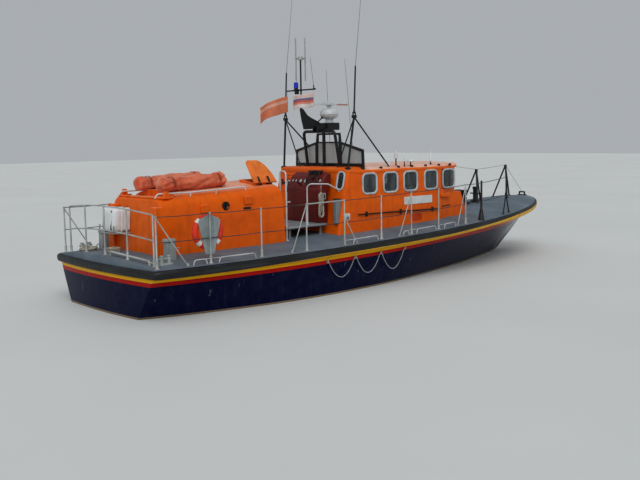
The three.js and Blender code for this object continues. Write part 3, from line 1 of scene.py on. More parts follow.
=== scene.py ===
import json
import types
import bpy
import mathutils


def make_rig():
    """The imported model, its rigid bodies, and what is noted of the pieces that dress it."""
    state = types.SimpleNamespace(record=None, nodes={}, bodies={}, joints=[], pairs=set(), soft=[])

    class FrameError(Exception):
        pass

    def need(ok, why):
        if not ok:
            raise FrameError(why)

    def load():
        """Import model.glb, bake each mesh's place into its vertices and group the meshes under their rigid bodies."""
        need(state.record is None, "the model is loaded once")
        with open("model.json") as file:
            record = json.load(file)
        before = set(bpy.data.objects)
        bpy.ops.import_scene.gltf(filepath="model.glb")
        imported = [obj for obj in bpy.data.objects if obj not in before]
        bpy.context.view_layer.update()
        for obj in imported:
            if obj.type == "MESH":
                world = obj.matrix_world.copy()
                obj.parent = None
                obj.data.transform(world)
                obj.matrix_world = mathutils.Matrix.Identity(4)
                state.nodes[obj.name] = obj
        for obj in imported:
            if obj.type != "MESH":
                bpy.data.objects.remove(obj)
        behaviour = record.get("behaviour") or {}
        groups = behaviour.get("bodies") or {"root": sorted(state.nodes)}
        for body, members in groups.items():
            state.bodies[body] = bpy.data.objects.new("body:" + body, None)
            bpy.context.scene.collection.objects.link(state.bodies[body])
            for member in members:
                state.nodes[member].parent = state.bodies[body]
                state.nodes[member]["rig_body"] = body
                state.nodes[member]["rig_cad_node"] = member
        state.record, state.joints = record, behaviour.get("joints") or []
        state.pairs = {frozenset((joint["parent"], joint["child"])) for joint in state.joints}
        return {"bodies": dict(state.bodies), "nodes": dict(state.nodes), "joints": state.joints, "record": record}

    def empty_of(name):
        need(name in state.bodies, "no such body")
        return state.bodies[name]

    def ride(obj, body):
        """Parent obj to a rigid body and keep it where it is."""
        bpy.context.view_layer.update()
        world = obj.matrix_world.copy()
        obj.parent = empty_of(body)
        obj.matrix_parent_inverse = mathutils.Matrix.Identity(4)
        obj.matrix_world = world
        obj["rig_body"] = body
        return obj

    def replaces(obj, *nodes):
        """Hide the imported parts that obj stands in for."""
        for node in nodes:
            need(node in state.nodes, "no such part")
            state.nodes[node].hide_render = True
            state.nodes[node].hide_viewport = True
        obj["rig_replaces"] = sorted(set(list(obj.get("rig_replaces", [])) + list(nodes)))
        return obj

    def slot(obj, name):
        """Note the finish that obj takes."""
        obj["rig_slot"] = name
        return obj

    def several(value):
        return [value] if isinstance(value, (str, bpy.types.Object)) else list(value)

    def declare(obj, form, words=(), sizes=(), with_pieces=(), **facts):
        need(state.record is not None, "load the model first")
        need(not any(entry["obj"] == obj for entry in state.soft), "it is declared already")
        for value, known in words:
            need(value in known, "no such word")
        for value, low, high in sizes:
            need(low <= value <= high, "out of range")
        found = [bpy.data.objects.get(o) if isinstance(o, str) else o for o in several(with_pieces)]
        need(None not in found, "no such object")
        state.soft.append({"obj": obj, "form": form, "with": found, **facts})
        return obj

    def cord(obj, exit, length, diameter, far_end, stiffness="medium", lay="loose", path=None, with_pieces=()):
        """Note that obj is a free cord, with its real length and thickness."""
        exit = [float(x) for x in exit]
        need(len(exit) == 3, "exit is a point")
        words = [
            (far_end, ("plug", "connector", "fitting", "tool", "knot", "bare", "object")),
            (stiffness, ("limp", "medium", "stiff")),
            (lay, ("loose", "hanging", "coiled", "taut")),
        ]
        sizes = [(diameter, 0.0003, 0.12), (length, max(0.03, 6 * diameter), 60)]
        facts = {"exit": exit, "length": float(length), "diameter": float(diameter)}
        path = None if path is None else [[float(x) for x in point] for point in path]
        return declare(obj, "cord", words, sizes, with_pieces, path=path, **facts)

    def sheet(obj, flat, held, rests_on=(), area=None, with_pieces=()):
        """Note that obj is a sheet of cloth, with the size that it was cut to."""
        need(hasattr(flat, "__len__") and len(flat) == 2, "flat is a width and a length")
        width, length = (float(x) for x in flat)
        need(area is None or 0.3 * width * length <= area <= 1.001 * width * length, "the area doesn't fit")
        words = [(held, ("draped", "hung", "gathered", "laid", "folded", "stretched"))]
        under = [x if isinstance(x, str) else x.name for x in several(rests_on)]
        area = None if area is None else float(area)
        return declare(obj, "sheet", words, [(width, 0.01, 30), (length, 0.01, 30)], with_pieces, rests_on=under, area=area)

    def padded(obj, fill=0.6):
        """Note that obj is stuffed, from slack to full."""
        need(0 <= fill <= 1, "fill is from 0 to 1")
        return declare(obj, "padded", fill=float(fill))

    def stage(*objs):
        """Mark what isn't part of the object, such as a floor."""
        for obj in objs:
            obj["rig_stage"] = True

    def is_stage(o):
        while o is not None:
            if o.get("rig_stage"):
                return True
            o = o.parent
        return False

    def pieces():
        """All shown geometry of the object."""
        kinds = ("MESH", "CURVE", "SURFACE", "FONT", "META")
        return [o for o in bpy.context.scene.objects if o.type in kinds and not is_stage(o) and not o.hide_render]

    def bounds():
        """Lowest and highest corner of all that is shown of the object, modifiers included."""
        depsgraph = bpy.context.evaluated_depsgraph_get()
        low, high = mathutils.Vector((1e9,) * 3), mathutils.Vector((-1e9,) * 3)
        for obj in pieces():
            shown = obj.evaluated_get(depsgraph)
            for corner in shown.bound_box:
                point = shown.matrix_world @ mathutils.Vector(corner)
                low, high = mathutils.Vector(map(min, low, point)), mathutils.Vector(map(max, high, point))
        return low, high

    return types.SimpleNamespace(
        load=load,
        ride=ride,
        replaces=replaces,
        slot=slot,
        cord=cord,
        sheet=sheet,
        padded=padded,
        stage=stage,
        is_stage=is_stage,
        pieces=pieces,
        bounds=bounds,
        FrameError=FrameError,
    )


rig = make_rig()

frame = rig.load()

import json
import math

import bmesh
import bpy
import numpy as np
from mathutils import Euler, Matrix, Vector

cad_low, cad_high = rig.bounds()

# The view from the quay, and the light.
# A normal lens stands a little above deck height off the starboard quarter and looks forward along the boat.
# The sky is a broad soft light, and the pale floor lies at the waterline.
EYE = Vector((-15.115, -15.293, 3.282))
YAW, PITCH, ROLL = (math.radians(turn) for turn in (-42.004, 6.683, -0.883))
FOCAL_PIXELS = 868.95
FRAME_PIXELS = 640
FILM_WIDTH = 36.0

back = Vector((math.sin(YAW) * math.cos(PITCH), -math.cos(YAW) * math.cos(PITCH), math.sin(PITCH)))
level = (-back).cross(Vector((0, 0, 1))).normalized()
upright = level.cross(-back)
across = level * math.cos(ROLL) + upright * math.sin(ROLL)
upward = upright * math.cos(ROLL) - level * math.sin(ROLL)
viewpoint = bpy.data.objects.new("viewpoint", bpy.data.cameras.new("viewpoint"))
viewpoint.data.sensor_width = FILM_WIDTH
viewpoint.data.lens = FOCAL_PIXELS * FILM_WIDTH / FRAME_PIXELS
viewpoint.data.clip_end = 500
viewpoint.matrix_world = Matrix(((*across, 0), (*upward, 0), (*back, 0), (0, 0, 0, 1))).transposed()
viewpoint.location = EYE
bpy.context.scene.collection.objects.link(viewpoint)
bpy.context.scene.camera = viewpoint


def lamp(name, kind, power, turn, **settings):
    """A light at its place, turned by angles in degrees, with its own settings."""
    light = bpy.data.lights.new(name, kind)
    light.energy = power
    place = settings.pop("place", (0, 0, 10))
    for key, value in settings.items():
        setattr(light, key, value)
    thing = bpy.data.objects.new(name, light)
    thing.location = place
    thing.rotation_euler = Euler([math.radians(a) for a in turn])
    bpy.context.scene.collection.objects.link(thing)


lamp("sky_light", "SUN", 1.0, (34, -26, 0), angle=math.radians(50), color=(1.0, 0.985, 0.96))
lamp("quay_light", "SUN", 0.28, (62, 0, -60), angle=math.radians(60), color=(0.93, 0.97, 1.0))
sky = bpy.data.worlds.new("overcast")
sky.use_nodes = True
sky.node_tree.nodes["Background"].inputs["Color"].default_value = (0.86, 0.9, 0.94, 1)
sky.node_tree.nodes["Background"].inputs["Strength"].default_value = 0.42
bpy.context.scene.world = sky
bpy.context.scene.view_settings.view_transform = "Standard"
bpy.context.scene.view_settings.look = "Medium High Contrast"


def shade(hex_colour):
    """A screen colour, as red, green and blue light."""
    parts = np.array([int(hex_colour[i:i + 2], 16) for i in (1, 3, 5)]) / 255
    linear = np.where(parts <= 0.04045, parts / 12.92, ((parts + 0.055) / 1.055) ** 2.4)
    return (*linear.tolist(), 1.0)


def put(tree, kind, links=None, **settings):
    """A shader node with its settings, and its sockets set to numbers or linked to other nodes' sockets."""
    node = tree.nodes.new(kind)
    for key, value in settings.items():
        setattr(node, key, value)
    for key, value in (links or {}).items():
        socket = node.inputs[key]
        if isinstance(value, bpy.types.NodeSocket):
            tree.links.new(value, socket)
        else:
            socket.default_value = value
    return node


def mixed(tree, share, a, b, how="MIX"):
    """Colour b over colour a by a share from 0 to 1."""
    node = put(tree, "ShaderNodeMix", {0: share, 6: a, 7: b}, data_type="RGBA", blend_type=how)
    return node.outputs[2]


def spread(tree, value, low, high):
    """A value stretched so that low becomes 0 and high becomes 1, and held there."""
    return put(tree, "ShaderNodeMapRange", {0: value, 1: low, 2: high}).outputs[0]


def where_on(tree):
    """The place on the piece, in metres."""
    return put(tree, "ShaderNodeTexCoord").outputs["Object"]


def cloud(tree, size, detail=4.0, stretch=None):
    """A soft noise with features of about that size in metres, drawn out along an axis where asked."""
    where = where_on(tree)
    if stretch:
        where = put(tree, "ShaderNodeMapping", {"Vector": where, "Scale": stretch}).outputs[0]
    return put(tree, "ShaderNodeTexNoise", {"Vector": where, "Scale": 1 / size,
        "Detail": detail}).outputs["Fac"]


def material(name):
    """A new material, its tree and its shader."""
    made = bpy.data.materials.new(name)
    made.use_nodes = True
    return made, made.node_tree, made.node_tree.nodes["Principled BSDF"]


def floor_paint():
    """Plain pale floor, with a trace of unevenness."""
    made, tree, shader = material("floor")
    tone = spread(tree, cloud(tree, 6.0, 3.0), 0.2, 0.8)
    tree.links.new(mixed(tree, tone, shade("#d4d6d5"), shade("#dcdedd")), shader.inputs["Base Color"])
    shader.inputs["Roughness"].default_value = 0.7
    return made


FLOOR_HALF = 120.0
floor_mesh = bpy.data.meshes.new("floor")
floor_mesh.from_pydata([(-FLOOR_HALF, -FLOOR_HALF, 0), (FLOOR_HALF, -FLOOR_HALF, 0),
    (FLOOR_HALF, FLOOR_HALF, 0), (-FLOOR_HALF, FLOOR_HALF, 0)], [], [(0, 1, 2, 3)])
floor_mesh.materials.append(floor_paint())
floor = bpy.data.objects.new("floor", floor_mesh)
bpy.context.scene.collection.objects.link(floor)
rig.stage(floor)

# The hull: a moulded shell of glass fibre, painted navy over red, with a yellow and a red line.
# Its deck is cambered and coated with grit, and it holds the propeller tunnels, keel and bilge keels.
STERN, BOW = -7.15, 7.15        # x of the transom's middle and of the stem
SIDES = ((-1, "stbd"), (1, "port"))
ORANGE = "#e4640b"
HALF_BEAM, HALF_TRANSOM, SWEEP_ENDS = 2.2, 1.917, 0.65
WIDEST_AT, BOW_FULLNESS, BOW_ROUNDING = -0.628, 2.686, 0.75
SHEER_LOW, SHEER_RISE, DECK_CAMBER, TRANSOM_SWEEP = 0.96, 0.5, 0.13, 0.13
# columns: x, lowest point, half breadth at the waterline, bilge fullness, flare
STATIONS = np.array([
    [-7.15, -0.4, 1.33, 0.34, 1.0], [-6.5, -0.48, 1.53, 0.35, 1.0], [-5.5, -0.6, 1.76, 0.36, 1.0],
    [-4.3, -0.73, 1.96, 0.38, 1.0], [-3.0, -0.82, 2.02, 0.4, 1.0], [-1.7, -0.88, 1.95, 0.43, 1.0],
    [-0.4, -0.91, 1.78, 0.48, 1.0], [0.8, -0.91, 1.53, 0.55, 1.05], [1.9, -0.88, 1.26, 0.63, 1.1],
    [2.9, -0.8, 0.98, 0.72, 1.15], [3.8, -0.66, 0.69, 0.82, 1.2], [4.6, -0.46, 0.41, 0.92, 1.25],
    [5.2, -0.2, 0.19, 1.0, 1.3], [5.55, 0.0, 0.0, 1.0, 1.3], [5.9, 0.24, 0.0, 1.0, 1.25],
    [6.25, 0.48, 0.0, 1.0, 1.2], [6.6, 0.74, 0.0, 1.0, 1.15], [6.9, 0.98, 0.0, 1.0, 1.1],
    [7.07, 1.15, 0.0, 1.0, 1.05], [7.15, 1.3, 0.0, 1.0, 1.0],
])
YELLOW_LINE, RED_LINE = (0.15, 0.236), (0.236, 0.316)
BOOT_LINE, SCUFFED = (-0.015, 0.04), (0.34, 0.62)
RED = "#a8160f"
ANTIFOULING_RED = "#74251a"


def sum_of(tree, operation, a, b=0.0, c=0.0):
    """One step of arithmetic on numbers that change over the surface."""
    node = put(tree, "ShaderNodeMath", {0: a, 1: b, 2: c}, operation=operation)
    return node.outputs[0]


def times(tree, a, b):
    """The product of two numbers that change over the surface."""
    return sum_of(tree, "MULTIPLY", a, b)


# Weather on paint: broad fading, dirt that has run down the sides, and a fine unevenness in the gloss
weather = bpy.data.node_groups.new("weather", "ShaderNodeTree")
for label, kind, value in (("Colour", "Color", (1, 1, 1, 1)), ("Dirt", "Color", (0.1, 0.09, 0.07, 1)),
        ("Fading", "Float", 0.2), ("Runs", "Float", 0.3), ("Grain", "Float", 0.02)):
    socket = weather.interface.new_socket(label, in_out="INPUT", socket_type=f"NodeSocket{kind}")
    socket.default_value = value
for label, kind in (("Colour", "Color"), ("Dullness", "Float"), ("Height", "Float")):
    weather.interface.new_socket(label, in_out="OUTPUT", socket_type=f"NodeSocket{kind}")
given, result = weather.nodes.new("NodeGroupInput").outputs, weather.nodes.new("NodeGroupOutput").inputs
faded = spread(weather, cloud(weather, 1.1, 5.0), 0.35, 0.65)
patchy = spread(weather, cloud(weather, 0.23, 6.0), 0.45, 0.75)
run = spread(weather, cloud(weather, 1.0, 7.0, stretch=(9.0, 9.0, 0.8)), 0.52, 0.74)
pale = mixed(weather, times(weather, faded, given["Fading"]), given["Colour"], (1, 1, 1, 1), "SOFT_LIGHT")
dull = mixed(weather, times(weather, patchy, given["Fading"]), pale, given["Dirt"])
dirty = mixed(weather, times(weather, run, given["Runs"]), dull, given["Dirt"])
peel = put(weather, "ShaderNodeTexNoise", {"Vector": put(weather, "ShaderNodeTexCoord").outputs["Object"],
    "Scale": sum_of(weather, "DIVIDE", 1.0, given["Grain"]), "Detail": 2.0}).outputs["Fac"]
weather.links.new(dirty, result["Colour"])
weather.links.new(sum_of(weather, "MULTIPLY_ADD", run, 0.12, times(weather, patchy, 0.1)),
    result["Dullness"])
weather.links.new(peel, result["Height"])


def relief(tree, shader, height, strength, distance):
    """Bumps on the surface: a height, how strongly it shows and how deep it is in metres."""
    bump = put(tree, "ShaderNodeBump", {"Strength": strength, "Distance": distance, "Height": height})
    tree.links.new(bump.outputs["Normal"], shader.inputs["Normal"])


def weathered(name, colour, rough=0.4, metal=0.0, fading=0.2, runs=0.2, grain=0.02, bump=0.15,
        dirt="#3a342b", coat=0.0, shine=0.5):
    """Paint, plastic or metal with the weather on it. Its colour is a hex or a function of the tree."""
    made, tree, shader = material(name)
    base = colour(tree) if callable(colour) else shade(colour)
    worn = put(tree, "ShaderNodeGroup", {}, node_tree=weather)
    if callable(colour):
        tree.links.new(base, worn.inputs["Colour"])
    else:
        worn.inputs["Colour"].default_value = base
    for key, value in (("Dirt", shade(dirt)), ("Fading", fading), ("Runs", runs), ("Grain", grain)):
        worn.inputs[key].default_value = value
    tree.links.new(worn.outputs["Colour"], shader.inputs["Base Color"])
    tree.links.new(sum_of(tree, "ADD", worn.outputs["Dullness"], rough), shader.inputs["Roughness"])
    relief(tree, shader, worn.outputs["Height"], bump, 0.004)
    shader.inputs["Metallic"].default_value = metal
    shader.inputs["Specular IOR Level"].default_value = shine
    shader.inputs["Coat Weight"].default_value = coat
    shader.inputs["Coat Roughness"].default_value = 0.12
    return made


def deck_half(x):
    """Half breadth of the deck: full amidships, a parabola aft and a rounded power curve to the stem."""
    ahead = np.clip((x - WIDEST_AT) / (BOW - WIDEST_AT), 0, 1)
    astern = np.clip((WIDEST_AT - x) / (WIDEST_AT - STERN), 0, 1)
    return HALF_BEAM * (1 - ahead ** BOW_FULLNESS) ** BOW_ROUNDING - (HALF_BEAM - HALF_TRANSOM) * astern ** 2


def sheer(x):
    """Height of the deck's edge: a parabola that rises from the transom to the stem."""
    return SHEER_LOW + SHEER_RISE * ((x - STERN) / (BOW - STERN)) ** 2


def deck_height(x, y):
    """Height of the deck: the sheer plus a camber that falls to nothing at the edge and towards the stem."""
    half = np.maximum(deck_half(x), 0.001)
    return sheer(x) + DECK_CAMBER * np.clip(1 - (y / half) ** 2, 0, 1) * np.minimum(1, half / 0.9)


def deck_z(x, y):
    """Height of the deck at one point, as a plain number."""
    return float(deck_height(x, y))


def sweep_aft(x, y):
    """How far the curved transom carries a point forward: y squared, fading out 0.65 m ahead of it."""
    return TRANSOM_SWEEP * (y / HALF_TRANSOM) ** 2 * np.clip(1 - (x - STERN) / SWEEP_ENDS, 0, 1)


def through(x, table):
    """Smooth curves through a table's rows: cubics whose slope at a row is the mean of those beside it."""
    known, values = table[:, 0], table[:, 1:]
    slope = np.gradient(values, known, axis=0)
    i = np.clip(np.searchsorted(known, x, side="right") - 1, 0, len(known) - 2)
    gap = (known[i + 1] - known[i])[:, None]
    t = (x - known[i])[:, None] / gap
    return ((1 + 2 * t) * (1 - t) ** 2 * values[i] + t * (1 - t) ** 2 * gap * slope[i]
        + t ** 2 * (3 - 2 * t) * values[i + 1] + t ** 2 * (t - 1) * gap * slope[i + 1])


def grid(points, wrap_rows=False, wrap_columns=False):
    """A surface over a grid of points (rows, columns, 3), as its points and its four-sided faces."""
    rows, columns = points.shape[:2]
    r, c = np.meshgrid(np.arange(rows - (not wrap_rows)), np.arange(columns - (not wrap_columns)),
        indexing="ij")
    r, c = r.ravel(), c.ravel()
    r2, c2 = (r + 1) % rows, (c + 1) % columns
    faces = np.stack([r * columns + c, r * columns + c2, r2 * columns + c2, r2 * columns + c], 1)
    return points.reshape(-1, 3), faces.tolist()


def together(*shapes):
    """Several surfaces as one list of points and faces."""
    points, faces, count = [], [], 0
    for made, sides in shapes:
        points.append(made)
        faces.extend([[i + count for i in side] for side in sides])
        count += len(made)
    return np.concatenate(points), faces


def mesh_of(name, shapes, finish=(), sharp=35.0, outward=True, weld=1e-5):
    """A mesh object from surfaces, welded, facing out, smooth but for edges sharper than an angle."""
    points, faces = together(*shapes)
    mesh = bpy.data.meshes.new(name)
    mesh.from_pydata(points.tolist(), [], faces)
    edit = bmesh.new()
    edit.from_mesh(mesh)
    bmesh.ops.remove_doubles(edit, verts=edit.verts, dist=weld)
    bmesh.ops.dissolve_degenerate(edit, edges=edit.edges, dist=weld)
    if outward:
        bmesh.ops.recalc_face_normals(edit, faces=edit.faces)
    edit.to_mesh(mesh)
    edit.free()
    mesh.shade_smooth()
    mesh.set_sharp_from_angle(angle=math.radians(sharp))
    for each in finish if isinstance(finish, (list, tuple)) else [finish]:
        mesh.materials.append(each)
    thing = bpy.data.objects.new(name, mesh)
    bpy.context.scene.collection.objects.link(thing)
    return thing


def refinish(thing, *finishes, sharp=40.0):
    """The piece's materials and its smooth shading, set again after a cut."""
    thing.data.materials.clear()
    for each in finishes:
        thing.data.materials.append(each)
    thing.data.shade_smooth()
    thing.data.set_sharp_from_angle(angle=math.radians(sharp))


def read(items, what):
    """A vector of each point or face of a mesh, as an array."""
    values = np.zeros(len(items) * 3)
    items.foreach_get(what, values)
    return values.reshape(-1, 3)


def mark(thing, name, values):
    """A number for each point of the piece, kept on its mesh for its material."""
    field = thing.data.attributes.new(name, "FLOAT", "POINT")
    field.data.foreach_set("value", np.asarray(values, np.float32).ravel())


def fit(thing, body, slot, *nodes):
    """The piece rides on a body, has a slot's finish and stands for some of the frame's nodes."""
    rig.ride(thing, body)
    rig.slot(thing, slot)
    if nodes:
        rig.replaces(thing, *nodes)
    return thing


def piece(name, shapes, finish, slot, *nodes, body="hull", **how):
    """A mesh in one finish, fitted to the hull unless another body is named."""
    return fit(mesh_of(name, shapes, finish, **how), body, slot, *nodes)


def carve(thing, shapes, how="DIFFERENCE"):
    """Takes closed shapes away from a piece, or joins them to it."""
    tool = mesh_of("tool", shapes, sharp=30.0)
    change = thing.modifiers.new("carve", "BOOLEAN")
    change.operation, change.solver, change.object = how, "EXACT", tool
    change.use_self = how == "UNION"
    cut = bpy.data.meshes.new_from_object(thing.evaluated_get(bpy.context.evaluated_depsgraph_get()))
    thing.modifiers.clear()
    thing.data = cut
    bpy.data.objects.remove(tool)
    return thing


def shape_ends(points):
    """Faces that close the first and last rows of a grid whose rows are rings."""
    rows, columns = points.shape[:2]
    return [list(range(columns))[::-1], [(rows - 1) * columns + c for c in range(columns)]]


def lofted(rings):
    """A closed body through rings of equal count: the grid of the rings with flat ends."""
    points, faces = grid(np.asarray(rings, float), wrap_columns=True)
    return points, faces + shape_ends(np.asarray(rings))


def round_angles(count):
    """Even angles round a circle, from 0."""
    return np.arange(count) / count * 2 * np.pi


def tube(path, radius, sides=12, closed=False):
    """A round bar: a circle across the path at each point, turned no further than the path turns."""
    path = np.asarray(path, float)
    ahead = np.roll(path, -1, 0) - np.roll(path, 1, 0) if closed else np.gradient(path, axis=0)
    ahead /= np.linalg.norm(ahead, axis=1)[:, None]
    side = np.zeros_like(path)
    held = np.eye(3)[np.argmin(np.abs(ahead[0]))]
    for i, way in enumerate(ahead):
        held = held - way * (held @ way)
        held /= np.linalg.norm(held)
        side[i] = held
    rise = np.cross(ahead, side)
    turn = round_angles(sides)
    ring = np.cos(turn)[None, :, None] * side[:, None] + np.sin(turn)[None, :, None] * rise[:, None]
    radii = np.broadcast_to(np.asarray(radius, float), len(path))
    points = path[:, None] + radii[:, None, None] * ring
    made, faces = grid(points, wrap_rows=closed, wrap_columns=True)
    return made, faces + ([] if closed else shape_ends(points))


def extruded(outline, low, high, axes="xy", chamfer=0.0):
    """A flat outline carried along the third axis from low to high, its edges chamfered."""
    outline = np.asarray(outline, float)
    before, after = outline - np.roll(outline, 1, 0), np.roll(outline, -1, 0) - outline
    normals = [np.stack([e[:, 1], -e[:, 0]], 1) / (np.linalg.norm(e, axis=1)[:, None] + 1e-12)
        for e in (before, after)]
    area = np.sum(outline[:, 0] * np.roll(outline[:, 1], -1) - np.roll(outline[:, 0], -1) * outline[:, 1])
    inward = -(normals[0] + normals[1]) * np.sign(area)
    inward /= np.maximum(np.linalg.norm(inward, axis=1)[:, None], 1e-9)
    inset = outline + inward * chamfer
    levels = [(outline, low), (outline, high)]
    if chamfer:
        levels = [(inset, low), (outline, low + chamfer), (outline, high - chamfer), (inset, high)]
    order = ["xyz".index(a) for a in axes]
    third = 3 - sum(order)
    points = np.zeros((len(levels), len(outline), 3))
    for k, (flat, height) in enumerate(levels):
        points[k][:, order] = flat
        points[k][:, third] = height
    return lofted(points)


def hull_rows(x, bottom=16, topside=14):
    """Starboard points of the hull at each x, from the keel out to the waterline and up to the sheer."""
    low, water, fullness, flare = (column[:, None] for column in through(x, STATIONS).T)
    water = np.maximum(water, 0)
    base = np.maximum(low, 0)
    rise = (np.arange(bottom) / bottom)[None] ** 1.6
    up = (np.arange(topside + 1) / topside)[None]
    y = np.concatenate([water * rise ** fullness, water + (deck_half(x)[:, None] - water) * up ** flare], 1)
    z = np.concatenate([low + (base - low) * rise, base + (sheer(x)[:, None] - base) * up], 1)
    return y, z


def hull_surface():
    """The shell, deck and transom as three grids that share their edges."""
    x = np.concatenate([np.linspace(STERN, 6.0, 200), BOW - 1.15 * (1 - np.linspace(0, 1, 41)[1:]) ** 2])
    y, z = hull_rows(x)
    side = np.stack([x[:, None] + sweep_aft(x[:, None], y), y, z], 2)
    other = side[:, ::-1] * np.array([1, -1, 1])
    share = np.linspace(-1, 1, 33)[None]
    wide = deck_half(x)[:, None] * share
    deck = np.stack([x[:, None] + sweep_aft(x[:, None], wide), wide, deck_height(x[:, None], wide)], 2)
    half, height = y[0][:, None], z[0][:, None]
    flat = half * share
    transom = np.stack([STERN + sweep_aft(STERN, flat), flat, np.broadcast_to(height, flat.shape).copy()], 2)
    transom[-1, :, 2] = deck[0, :, 2]
    return grid(np.concatenate([other[:, :-1], side], 1)), grid(deck), grid(transom)


def position(tree, axis):
    """The place on the piece along one axis, in metres."""
    return put(tree, "ShaderNodeSeparateXYZ", {0: where_on(tree)}).outputs[axis]


def navy_side(tree):
    """Navy paint with two lines below the belting, a stained line at the water and red below it."""
    drop = put(tree, "ShaderNodeAttribute", attribute_name="below_sheer").outputs["Fac"]
    height = position(tree, "Z")
    ahead = position(tree, "X")
    wider = sum_of(tree, "MULTIPLY_ADD", spread(tree, ahead, 1.0, 5.0), -0.08, drop)
    colour = shade("#020631")
    for value, (start, end), line in ((drop, YELLOW_LINE, "#e0ab12"), (drop, RED_LINE, RED),
            (height, BOOT_LINE, "#7d6c57"), (height, (-9.0, BOOT_LINE[0]), ANTIFOULING_RED)):
        inside = times(tree, sum_of(tree, "GREATER_THAN", value, start),
            sum_of(tree, "LESS_THAN", wider if line == RED else value, end))
        colour = mixed(tree, inside, colour, shade(line))
    scuff = spread(tree, cloud(tree, 0.09, 8.0, stretch=(1.0, 1.0, 0.16)), 0.66, 0.74)
    band = times(tree, sum_of(tree, "GREATER_THAN", drop, SCUFFED[0]),
        sum_of(tree, "LESS_THAN", drop, SCUFFED[1]))
    return mixed(tree, times(tree, times(tree, scuff, band), 0.35), colour, shade("#9aa2ab"))


def grit_deck(name, colour, worn):
    """Deck paint with grit in it: a fine speckle, paler where worn and darker where wet dirt lies."""
    made, tree, shader = material(name)
    wear = spread(tree, cloud(tree, 0.8, 6.0), 0.42, 0.7)
    grime = spread(tree, cloud(tree, 0.35, 7.0), 0.5, 0.8)
    grit = put(tree, "ShaderNodeTexVoronoi", {"Vector": where_on(tree), "Scale": 160.0}).outputs["Distance"]
    base = mixed(tree, times(tree, wear, 0.6), shade(colour), shade(worn))
    dark = mixed(tree, times(tree, grime, 0.35), base, shade("#3c4045"))
    tree.links.new(mixed(tree, times(tree, grit, 0.25), dark, shade("#9aa0a8")),
        shader.inputs["Base Color"])
    tree.links.new(sum_of(tree, "MULTIPLY_ADD", wear, -0.12, 0.78), shader.inputs["Roughness"])
    relief(tree, shader, grit, 0.5, 0.002)
    return made


SHAFT_Y, SHAFT_X, SHAFT_Z = 0.76, -6.08, -0.64
SHAFT_ANGLE = 6
SHAFT_RISE = math.tan(math.radians(SHAFT_ANGLE))
TUNNEL_RADIUS = 0.4
RUDDER_X = -6.66


def shaft_point(side, x):
    """A point of the propeller shaft's line, which rises forward by six degrees."""
    return np.array([x, side * SHAFT_Y, SHAFT_Z + (x - SHAFT_X) * SHAFT_RISE])


def oblong(x0, x1, y0, y1):
    """A plain rectangle's outline."""
    return [(x0, y0), (x1, y0), (x1, y1), (x0, y1)]


def box(low, high):
    """A plain closed box between two corners, for cutting."""
    (x0, y0, z0), (x1, y1, z1) = low, high
    return extruded(oblong(x0, x1, y0, y1), z0, z1)


hull = mesh_of("hull_shell", hull_surface(), sharp=28.0)
tunnels = [tube([(STERN - 0.1, s * SHAFT_Y, SHAFT_Z + 0.08), (-5.35, s * SHAFT_Y, SHAFT_Z + 0.08),
    (-4.3, s * SHAFT_Y, -0.98)], [TUNNEL_RADIUS, TUNNEL_RADIUS, 0.15], 40) for s in (-1, 1)]
WELLS = [((-5.25, -0.87, -0.42), (-3.38, 0.87, 2.0)), ((-1.45, -1.0, 0.64), (2.25, 1.0, 2.4))]
carve(hull, [*tunnels, *(box(*well) for well in WELLS)])


# Paint, deck coating and lining go by where each face lies
refinish(hull, weathered("hull_paint", navy_side, rough=0.16, fading=0.06, runs=0.05, bump=0.06,
    dirt="#5a6670", shine=0.12), grit_deck("deck_paint", "#5a6874", "#7a8690"),
    weathered("hull_inside", "#b9bcb8", rough=0.6, fading=0.3), sharp=28)
points = read(hull.data.vertices, "co")
mark(hull, "below_sheer", sheer(points[:, 0]) - points[:, 2])
x, y, z = read(hull.data.polygons, "center").T
aft, _, up = read(hull.data.polygons, "normal").T
top_of_transom = (aft < -0.6) & (z > sheer(x) - 0.06)
on_deck = ((up > 0.7) & (z > sheer(x) - 0.12)) | (z > sheer(x) + 0.01) | top_of_transom
which = np.where(on_deck, 1, 0)
for (x0, _, z0), (x1, y1, _) in WELLS:
    in_well = (x > x0 - 0.01) & (x < x1 + 0.01) & (abs(y) < y1 + 0.01) & (z > max(z0 - 0.01, -0.5))
    which = np.where(in_well & (which == 0), 2, which)
hull.data.polygons.foreach_set("material_index", which.astype(np.int32))
fit(hull, "hull", "hull_paint", "hull")

antifouling = weathered("antifouling", ANTIFOULING_RED, rough=0.7, fading=0.5, runs=0.3, bump=0.3)
keel = extruded([(-5.6, -0.9), (-5.3, -1.27), (2.4, -1.27), (4.3, -0.76), (4.7, -0.38), (-5.6, -0.38)],
    -0.06, 0.06, "xz", 0.012)
BILGE_KEEL_Y = 1.29
bilge_keels = [extruded([(-6.4, -0.43), (-6.1, -1.05), (-1.2, -1.05), (0.4, -0.7), (-0.3, -0.43)],
    s * BILGE_KEEL_Y - 0.035, s * BILGE_KEEL_Y + 0.035, "xz", 0.008) for s in (-1, 1)]
piece("keels", [keel, *bilge_keels], antifouling, "hull_paint")
hangers = []
for s in (-1, 1):
    boss = shaft_point(s, SHAFT_X + 0.25)
    hangers.append(tube([shaft_point(s, SHAFT_X + 0.16), shaft_point(s, SHAFT_X + 0.34)], 0.075, 24))
    hangers.append(extruded([(boss[0] - 0.07, boss[2]), (boss[0] + 0.07, boss[2]), (boss[0] + 0.09, -0.12),
        (boss[0] - 0.05, -0.12)], boss[1] - 0.018, boss[1] + 0.018, "xz", 0.006))
    hangers.append(extruded(oblong(RUDDER_X - 0.09, RUDDER_X + 0.09, boss[1] - 0.07, boss[1] + 0.07),
        -0.44, -0.12, "xy", 0.01))
piece("shaft_hangers", hangers, antifouling, "hull_paint")

